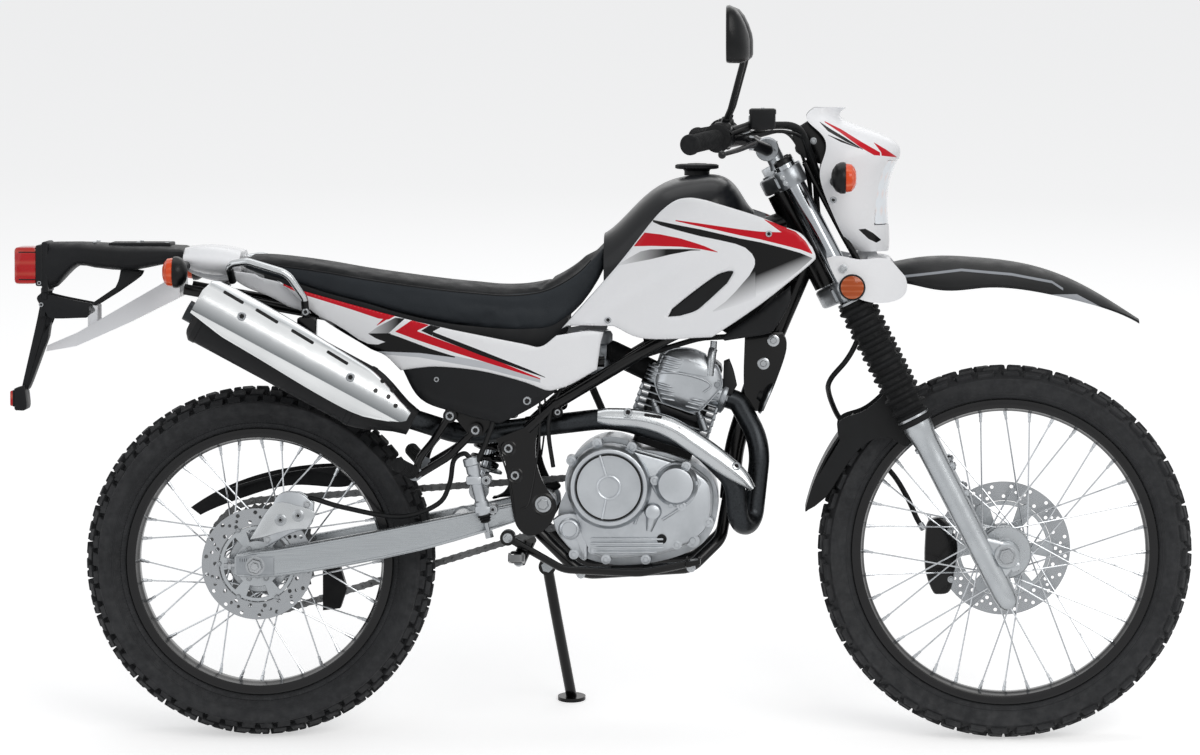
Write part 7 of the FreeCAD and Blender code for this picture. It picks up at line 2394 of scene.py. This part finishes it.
def makeFrontCaliper():
    body = flowingOutline([(1217, 300), (1216, 350), (1222, 390), (1250, 396), (1270, 366), (1276, 340), (1270, 296),
                           (1262, 262), (1242, 256), (1230, 262)])
    shape = Shape(metal["zinc"])
    shape.use(black["frame"])
    shape.slab(body, 50, 79, 5)
    for x, z in ((1240, 356), (1238, 306)):
        shape.lathe([(0, 70), (17, 70), (17, 82), (15, 84), (8, 84), (7, 82), (0, 82)], (x, 0, z), (0, 1, 0), 28)
    shape.use(metal["zinc"])
    for x, z in ((1262, 372), (1264, 284)):
        shape.bolt((x, 78.5, z), (0, 1, 0), 6)
        shape.bolt((x, 50.5, z), (0, -1, 0), 5)
    shape.lathe([(0, 0), (3.4, 0), (3.4, 9), (2, 12), (0, 12)], (1226, 66, 392), (-0.3, 0, 1), 14)
    shape.make("frontCaliper", "steering", ("front_caliper",))


makeFrontCaliper()
print("front end made")

# Swingarm: extruded box arms with a raised lip along both edges, chain pullers, and the pivot.

swingarm = {"sections": ((-38, 108, 320.5, 20, 13), (-6, 108, 322, 24, 13), (40, 108, 326, 26, 13),
                         (160, 105.5, 346, 27, 13.4),
                         (300, 102, 374, 26, 14), (420, 93, 403, 21, 12), (520, 84, 431, 15, 10))}


def armRing(x):
    y, z, high, wide = (column(swingarm["sections"], k, x) for k in (1, 2, 3, 4))
    return y, z, rounded([(-wide, -high), (wide, -high), (wide, high), (-wide, high)], 5, 3), high, wide


def makeSwingarm():
    shape = Shape(metal["arm"])
    steps = [-38, -34, -20, 0, 40, 100, 160, 230, 300, 360, 420, 470, 520]
    for side in (-1, 1):
        shape.use(metal["arm"])
        rings = []
        for x in steps:
            y, z, ring, high, wide = armRing(x)
            inset = 2.5 if x == -38 else 0
            rings.append([(x, side * (y + a * (1 - inset / wide)), z + b * (1 - inset / high)) for a, b in ring])
        shape.loft(rings)
        for way in (-1, 1):  # the lips of the extrusion
            path = []
            for x in steps[2:-1]:
                y, z, ring, high, wide = armRing(x)
                path.append((x, side * (y + wide - 0.4), z + way * (high - 4.2)))
            shape.tube(path, 2.1, 8)
        end = column(swingarm["sections"], 1, 0) * side
        shape.use(metal["clamp"])
        shape.box((-34, end + (12.6 if side > 0 else -16.2), 304), (34, end + (16.2 if side > 0 else -12.6), 337), 1.4)
        shape.use(metal["zinc"])
        shape.lathe([(10, 0), (17.5, 0), (17.5, 2.4), (10, 2.4)], (0, end + side * 15.8, rearAxle.z), (0, side, 0), 32)
        shape.lathe([(14.4, 2), (14.4, 11), (12.6, 13), (8, 13), (8, 17), (6.6, 18.4), (0, 18.4)] if side < 0 else
                    [(15, 2), (15, 9), (13, 11), (6, 11), (5, 7), (0, 7)], (0, end + side * 15.8, rearAxle.z),
                    (0, side, 0), 6 if side < 0 else 28)
        shape.tube([(-38, end, rearAxle.z), (-58, end, 320)], 4, 12)
        shape.lathe([(9, -45), (9, -50), (7.6, -51.4), (4, -51.4)], (0, end, rearAxle.z), (1, 0, 0), 6)
        for x in (-25, 25):
            shape.lathe([(0.5, 0), (0.5, 0.5), (0.3, 0.6)], (x, end + side * 16.2, rearAxle.z), (0, side, 0), 8)
        shape.use(black["frame"])
        for k in range(5):
            x = -28 + k * 4
            shape.box((x, end + side * 16.3 - 0.25, 328), (x + 0.9, end + side * 16.3 + 0.25, 334), 0.1)
    shape.use(metal["arm"])
    shape.tube([(522, -100.5, 432), (522, 100.5, 432)], 18, 36)
    shape.tube([(368, -100, 392), (368, 100, 392)], 19, 36)
    for side in (-1, 1):
        shape.use(metal["clamp"])
        shape.lathe([(19.2, -4), (22.5, -3), (22.5, 5), (19.2, 6)], (368, side * 88, 392), (0, side, 0), 36)
        shape.lathe([(18, -8), (24, -7), (24, 7), (18, 8)], (522, side * 84, 432), (0, side, 0), 36)
    shape.use(metal["zinc"])
    shape.tube([(0, -124, rearAxle.z), (0, 124, rearAxle.z)], 8, 20)
    shape.use(black["moulding"])
    shape.slab(outline([[(452, 456), (500, 452), (540, 462)], [(544, 448), (500, 436), (440, 432)],
                        [(420, 430), (440, 440), (452, 456)]]), 64, 92, 3)
    shape.make("swingarmDressed", "chassis", ("swingarm",))


makeSwingarm()


def makeShock():
    low, high = Vector((405, 0, 470)), Vector((474, 0, 694))
    ahead = (high - low).normalized()
    start, end = Vector((412, 0, 495)), Vector((456, 0, 650))
    shape = Shape(metal["chrome"])
    shape.tube([low, high], 10, 20)
    shape.use(metal["zinc"])
    body = high - ahead * 90
    shape.tube([body, high], [19.6, 19.6], 32)
    for spot in (start - ahead * 4, end):
        shape.lathe([(12, -3), (33, -3), (33, 1), (30, 3), (12, 3)], spot, ahead, 40)
    shape.tube([(400, -18, 450), (400, 18, 450)], 18, 32)
    shape.tube([(476, -14, 703), (476, 14, 703)], 17, 32)
    shape.use(black["frame"])
    across = ahead.orthogonal().normalized()
    other = ahead.cross(across)
    turns, coil = 7.4, []
    for step in range(int(turns * 22) + 1):
        turn = step / 22 * 2 * math.pi
        share = step / (turns * 22)
        out = across * math.cos(turn) + other * math.sin(turn)
        coil.append(start + (end - start) * (0.02 + 0.96 * share) + out * 27)
    shape.tube(coil, 5.4, 12)
    shape.make("shockAbsorber", "chassis", ("shock_absorber",))


makeShock()


def makeIntake():
    inlet = cylinderFrame @ Vector((-60, 0, 128))
    shape = Shape(black["rubber"])
    shape.tube(bent([inlet, (640, 0, 705), (612, 0, 703)], [20], 5), 21, 28)
    for x in (640, 618):
        shape.ring([(21, -3), (23.4, -3), (23.4, 3), (21, 3)], (x, 0, 704), (1, 0, 0.05), 32)
    shape.use(metal["fin"])
    shape.lathe([(0, 664), (24, 664), (30, 669), (32.6, 676), (32.6, 690), (28, 694), (28, 716), (32.6, 720),
                 (32.6, 736), (29, 742), (0, 744)],
                (612, 0, 0), (0, 0, 1), 36)
    shape.tube([(634, 0, 704), (590, 0, 706)], 26, 32)
    shape.use(metal["zinc"])
    for y in (-34, 34):
        shape.bolt((612, y * 0.93, 700), (0, y, 0), 7)
    for turn in (0.6, 2.2, 3.8, 5.4):
        shape.bolt((612 + 26 * math.cos(turn), 26 * math.sin(turn), 743), (0, 0, 1), 3, "socket")
    shape.use(black["rubber"])
    duct = [Vector((590, 0, 706)).lerp(Vector((528, 0, 716)), k / 16) for k in range(17)]
    shape.tube(duct, [27.4 if k % 4 in (0, 1) else 25 for k in range(17)], 32)
    shape.use(black["hose"])
    shape.tube(flowing([(612, 26, 690), (640, 52, 670), (700, 60, 690), (770, 40, 800), (800, 20, 850)], 6), 4, 10)
    shape.make("intakeParts", "chassis", ("intake",))


makeIntake()
print("swingarm, shock and intake made")


def tooth(shape, x, y, foot, tip):  # half length, half width and height at its foot and at its tip
    shape.loft([[(x - a, y - b, z), (x + a, y - b, z), (x + a, y + b, z), (x - a, y + b, z)] for a, b,
                z in (foot, tip)])


def grooved(radius, depth, start, pitch, count, wide):  # a rubber's profile with turned grooves
    profile = []
    for k in range(count):
        way = start + k * pitch
        profile += [(radius, way), (radius - depth, way + 1), (radius - depth, way + wide), (radius, way + wide + 1)]
    return profile


def makeFootrests():
    shape = Shape(metal["zinc"])
    for side in (-1, 1):
        shape.use(black["frame"])
        shape.tube([(488, side * 112, 352), (478, side * 126, 330)], [13, 13], 24)
        shape.lathe([(0, 0), (15, 0), (15, 3), (12, 5), (0, 5)], (478, side * 126, 344), (0, 0, 1), 24)
        shape.use(metal["clamp"])
        shape.tube([(478, side * 120, 330), (477.6, side * 142, 333)], [10, 9], 20)
        shape.use(metal["chain"])  # a steel tray with teeth on both long edges
        shape.place = Matrix.Translation((477, side * 142, 334)) @ Matrix.Rotation(math.radians(7.6) * side, 4, "X")
        length = 79
        outer = rounded([(-14, 0), (14, 0), (14, length * side), (-14, length * side)][::side], 7, 4)
        inner = shrunk(outer, 4)
        rings = [[(x, y, z) for x, y in ring] for ring, z in ((outer, -6), (outer, 6), (inner, 6), (inner, -6))]
        shape.loft(rings, False, True)
        for k in range(9):
            y = side * (6 + k * 8.2)
            for x in (-12, 12):
                tooth(shape, x, y, (1.8, 3, 5.5), (1.2, 0.6, 10))
        for y in (26, 52):
            shape.box((-11, side * y - 2, -5), (11, side * y + 2, 3), 0.8)
        shape.place = unturned
    # brake pedal
    shape.use(black["frame"])
    arm = bent([(462, -134, 372), (560, -150, 318), (700, -156, 312), (790, -150, 330)], [60, 120], 8)
    shape.tube(arm, 7, 18)
    shape.tube([(459, -144, 374), (459, -112, 374)], 14, 28)
    pad = rounded([(780, -170), (808, -170), (808, -130), (780, -130)], 6, 4)
    shape.loft([[(x, y, z + (x - 794) * 0.16) for x, y in (shrunk(pad, inset) if inset else pad)] for z,
                inset in ((326, 1.5), (328, 0), (336, 0))])
    for k in range(4):
        for x in (783, 805):
            tooth(shape, x, -163 + k * 9.6, (2, 3, 336), (1, 1, 341))
    shape.use(metal["zinc"])
    shape.bolt((459, -143.6, 374), (0, -1, 0), 7)
    # shift lever
    shape.use(black["bar"])
    shape.tube(bent([(612, 132, 352), (700, 150, 334), (762, 150, 334)], [40], 8), 6, 16)
    shape.tube([(610, 68.5, 352), (610, 138, 352)], 8, 20)
    shape.lathe([(0, 0), (13, 0), (13, 14), (0, 14)], (612, 123, 352), (0, 1, 0), 24)
    shape.use(black["rubber"])
    profile = [(0, 0), (9, 0), (10, 2)] + grooved(10, 1.2, 4, 5, 7, 3)
    shape.lathe(profile + [(10, 41), (9, 43), (0, 44)], (764, 134, 335), (0, 1, 0), 28)
    # passenger pegs on their bent hangers
    for side in (-1, 1):
        shape.use(black["frame"])
        shape.tube(bent([(354, side * 124, 594), (322, side * 131, 546), (300, side * 136, 520),
                         (292, side * 138, 490)], [60, 60], 6), 6.9, 16)
        shape.tube(bent([(400, side * 120, 568), (352, side * 128, 520), (292, side * 138, 484)], [90], 8), 6.9, 16)
        for x, z, far in ((354, 594, 130), (400, 568, 126)):
            shape.lathe([(0, 102.4), (8.5, 102.4), (8.5, far - 2), (0, far - 2)], (x, 0, z), (0, side, 0), 20)
            shape.lathe([(0, far - 3), (12.5, far - 3), (12.5, far + 1), (0, far + 1)], (x, 0, z), (0, side, 0), 24)
        shape.use(metal["zinc"])
        for x, z, far in ((354, 594, 130), (400, 568, 126)):
            shape.bolt((x, side * (far + 1), z), (0, side, 0), 8.4, "socket")
        shape.use(metal["clamp"])
        shape.lathe([(0, 0), (13, 0), (13, 12), (0, 12)], (291, side * 130, 489), (0, side, 0.1), 24)
        start = Vector((290, side * 132, 490))
        axis = (Vector((262, side * 200, 512)) - start).normalized()
        shape.lathe([(0, 0), (9, 0), (9, 14), (0, 14)], start, axis, 20)
        shape.use(black["rubber"])
        profile = [(0, 10), (12, 10), (13, 12)] + grooved(13, 1.6, 14, 6, 9, 3.4)
        shape.lathe(profile + [(13, 71), (11.5, 74), (0, 75)], start, axis, 28)
    shape.make("footrestsAndPedals", "chassis", ("footrests",))


makeFootrests()


def makeRearBrake():
    shape = Shape(metal["case"])
    body = outline([[(18, 352), (34, 440), (74, 452), (104, 432)], [(98, 392), (60, 376), (18, 352)]])
    for low, high in ((-93, -83.4), (-76.6, -67)):
        shape.slab(body, low, high, 2.2)
    shape.slab(outline([[(58, 450), (80, 452), (103, 434)], [(100, 412), (80, 428), (62, 434)],
                        [(56, 442), (58, 450)]]), -85, -75, 0.5)
    shape.use(metal["shield"])
    guard = outline([[(-12, 366), (32, 431), (81, 427)], [(106, 415), (92, 386)], [(60, 384), (14, 371)], [(-12, 366)]])
    shape.slab(guard, -97, -94, 0.8)
    shape.use(metal["zinc"])
    for x, z in ((44, 402), (76, 410)):
        shape.lathe([(0, 0), (11, 0), (11, 3), (9, 4), (0, 4)], (x, -96, z), (0, -1, 0), 24)
        shape.bolt((x, -99.4, z), (0, -1, 0), 5, "socket")
    for x, z in ((20, 366), (92, 430)):
        shape.bolt((x, -92.6, z), (0, -1, 0), 6)
    # master cylinder: a cast column with its rod and boot
    top, low = Vector((396, -134, 500)), Vector((420, -134, 400))
    down = (low - top).normalized()
    shape.use(metal["case"])
    shape.lathe([(0, -20), (13, -20), (15, -18), (15, -6), (13, -4), (13, 8), (11, 12), (11, 60), (13, 63), (13, 84),
                 (11, 88), (0, 88)], top, down, 32)
    shape.box((384, -146, 470), (412, -121, 486), 3)
    shape.box((400, -146, 418), (428, -121, 432), 3)
    shape.use(metal["zinc"])
    for x, z in ((420, 478), (432, 425)):
        shape.lathe([(0, 100), (9.5, 100), (9.5, 138), (8, 140), (0, 140)], (x, 0, z), (0, -1, 0), 24)
        shape.bolt((x, -139, z), (0, -1, 0), 5.4, "socket")
    shape.use(black["rubber"])
    shape.lathe([(7, 86), (12, 87), (12, 90), (9, 92), (11, 94), (8, 97), (10, 99), (5, 102)], top, down, 28)
    shape.use(metal["zinc"])
    shape.lathe([(0, 84), (4, 84), (4, 120), (0, 120)], top, down, 14)
    shape.lathe([(0, 118), (8, 118), (8, 130), (0, 130)], top, down, 6)
    shape.use(black["hose"])
    shape.tube(flowing([top + Vector((-4, 0, 16)), (380, -130, 526), (360, -112, 512), (352, -104, 470),
                        (330, -103, 432), (260, -92, 408),
                        (160, -88, 424), (104, -84, 440), (92, -80, 440)], 6), 4.6, 12)
    shape.tube(flowing([(404, -140, 512), (420, -132, 548), (436, -124, 600), (430, -116, 640)], 6), 5, 12)
    shape.make("rearBrake", "chassis", ("rear_brake",))


makeRearBrake()


def makeGrabRails():
    shape = Shape(metal["shield"])
    for side in (-1, 1):
        route = [(-40, side * 112, 836), (-46, side * 142, 868), (-10, side * 150, 874), (62, side * 148, 852),
                 (92, side * 136, 806), (94, side * 132, 774)]
        path = bent(route, [16, 20, 40, 20], 8)
        shape.use(metal["shield"])
        shape.tube(path, 6.5, 20)
        shape.use(black["smooth"])
        for run in (path[:3], path[-3:]):
            shape.tube([Vector(run[0]).lerp(Vector(run[-1]), k / 4) for k in range(5)], 6.9, 20)
        shape.use(metal["zinc"])
        shape.bolt((94, side * 139, 782), (0, side, 0), 6.4, "socket")
    shape.make("grabRails", "chassis", ("grab_rails",))


makeGrabRails()
print("footrests, rear brake and grab rails made")


def makeFixings():  # bosses, bolts and welds on the frame, and three hoses
    shape = Shape(black["frame"])
    for side in (-1, 1):
        for x, z, r, y in ((459, 534, 15, 111), (471, 485, 15, 111), (522, 433, 21, 111), (548, 600, 10, 111)):
            shape.use(black["frame"])
            shape.lathe([(r * 0.55, -2), (r, -2), (r, 1.2), (r * 0.86, 2.4), (r * 0.7, 1.2), (r * 0.55, 1.2)],
                        (x, side * y, z), (0, side, 0), 32)
            shape.use(metal["zinc"])
            shape.bolt((x, side * (y + 0.8), z), (0, side, 0), r * 0.56, "socket" if r < 20 else "hex")
        shape.use(black["frame"])
        for line in (((516, 619), (515, 550), (498, 442), (482, 424)), ((440, 540), (462, 470), (470, 410))):
            shape.tube(flowing([(x, side * 111.2, z) for x, z in line], 5), 1.8, 8)
        for start, end, radius in (((540, 102, 612), (548, 101.7, 617), 13.4),
                                   ((518, 102, 592), (510, 102, 586), 13.4)):
            shape.tube([(start[0], side * start[1], start[2]), (end[0], side * end[1], end[2])], radius, 20)
        shape.use(metal["zinc"])
        for x, y, z in ((590, 98, 306), (790, 98, 318), (858, 22, 452)):
            shape.bolt((x, side * (y + 10.6), z), (0, side, 0), 6.6)
    shape.use(black["hose"])
    shape.tube(flowing([(610, -92, 700), (560, -100, 650), (536, -108, 600), (532, -112, 560), (540, -104, 500)], 6), 4,
               10)
    shape.tube(flowing([(980, -20, 860), (930, -36, 800), (870, -40, 740), (800, -56, 730), (700, -70, 700)], 6), 5, 10)
    shape.tube(flowing([(960, 30, 860), (900, 44, 790), (820, 60, 760), (700, 76, 720)], 6), 5, 10)
    shape.make("frameFixings", "chassis")


makeFixings()


def makeStandBolt():
    pivot = Vector((520, 118, 300))
    shape = Shape(metal["zinc"])
    shape.lathe([(0, -11), (11, -11), (11, -9.4), (0, -9.4)], pivot, (0, 1, 0), 6)
    shape.lathe([(0, 9.4), (12, 9.4), (12, 14), (0, 14)], pivot, (0, 1, 0), 6)
    shape.make("standBolt", "side_stand")


makeStandBolt()


tail = {
    "body": ((-392, 815, 903, 46), (-372, 822, 904, 48), (-350, 845, 904, 54), (-330, 861, 904, 61),
             (-300, 857, 903, 66),
             (-240, 852, 900, 74), (-190, 860, 899, 81), (-140, 872, 897, 88), (-132, 876, 894, 88)),
    "strut": outline([[(-398, 812), (-362, 803), (-306, 792)], [(-298, 779), (-316, 766)], [(-378, 765), (-390, 775)],
                      [(-406, 800), (-398, 812)]]),
    "arm": outline([[(-406, 800), (-404, 780), (-436, 640)], [(-427, 636), (-398, 728)], [(-380, 762), (-378, 792)],
                    [(-406, 800)]]),
    "web": outline([[(-396, 800), (-391, 770), (-428, 640)], [(-422, 640), (-388, 730)], [(-384, 762), (-384, 800)],
                    [(-396, 800)]]),
    "stay": outline([[(-252, 856), (-216, 850)], [(-224, 838), (-262, 811)], [(-299, 788)], [(-306, 792)],
                     [(-262, 822)], [(-256, 836), (-252, 856)]]),
    "pad": outline([[(-449, 636), (-430, 642)], [(-427, 600), (-446, 596)], [(-449, 602), (-449, 636)]]),
}


def makeTail():  # the carrier of lamp and licence plate, open between its arm and its struts
    shape = Shape(black["moulding"])
    rings = []
    for x in (-392, -384, -372, -360, -350, -340, -330, -315, -300, -270, -240, -215, -190, -165, -140, -132):
        low, high, half = (column(tail["body"], k, x) for k in (1, 2, 3))
        rings.append([(x, half * across, (low + high) / 2 + (high - low) / 2 * up) for across, up in pillow(36, 0.62)])
    shape.loft(rings)
    shape.box((-396, -46, 812), (-384, 46, 905), 3)
    shape.box((-273, -44, 896), (-160, 44, 903.5), 2)
    for side in (-1, 1):
        shape.slab(tail["strut"], *sorted((side * 28, side * 35)), 1.2)
        shape.slab(tail["arm"], *sorted((side * 14, side * 20)), 1.2)
        shape.slab(tail["stay"], *sorted((side * 30, side * 35)), 1)
        shape.tube([(-392, side * 31, 820), (-392, side * 31, 800)], 7, 14)
    shape.slab(tail["web"], -20, 20, 1)
    for x in (-395, -306):
        shape.box((x - 4, -34, 768 if x < -390 else 772), (x + 4, 34, 796 if x < -390 else 788), 1)
    shape.slab(tail["pad"], -31, 31, 1.5)
    shape.use(metal["zinc"])
    for side in (-1, 1):
        for x, z in ((-300, 903), (-220, 903), (-168, 902)):
            shape.bolt((x, side * 30, z), (0, 0, 1), 4, "socket")
        shape.bolt((-398, side * 35, 790), (0, side, 0), 4.5, "socket")
    shape.make("tailCarrier", "chassis", ("tail_bracket",))
    clip = Shape(plainWhite)
    for side in (-1, 1):
        clip.box((-313, side * 30 - 5, 746), (-295, side * 30 + 5, 789), 2)
    clip.make("mudguardClips", "chassis")


makeTail()
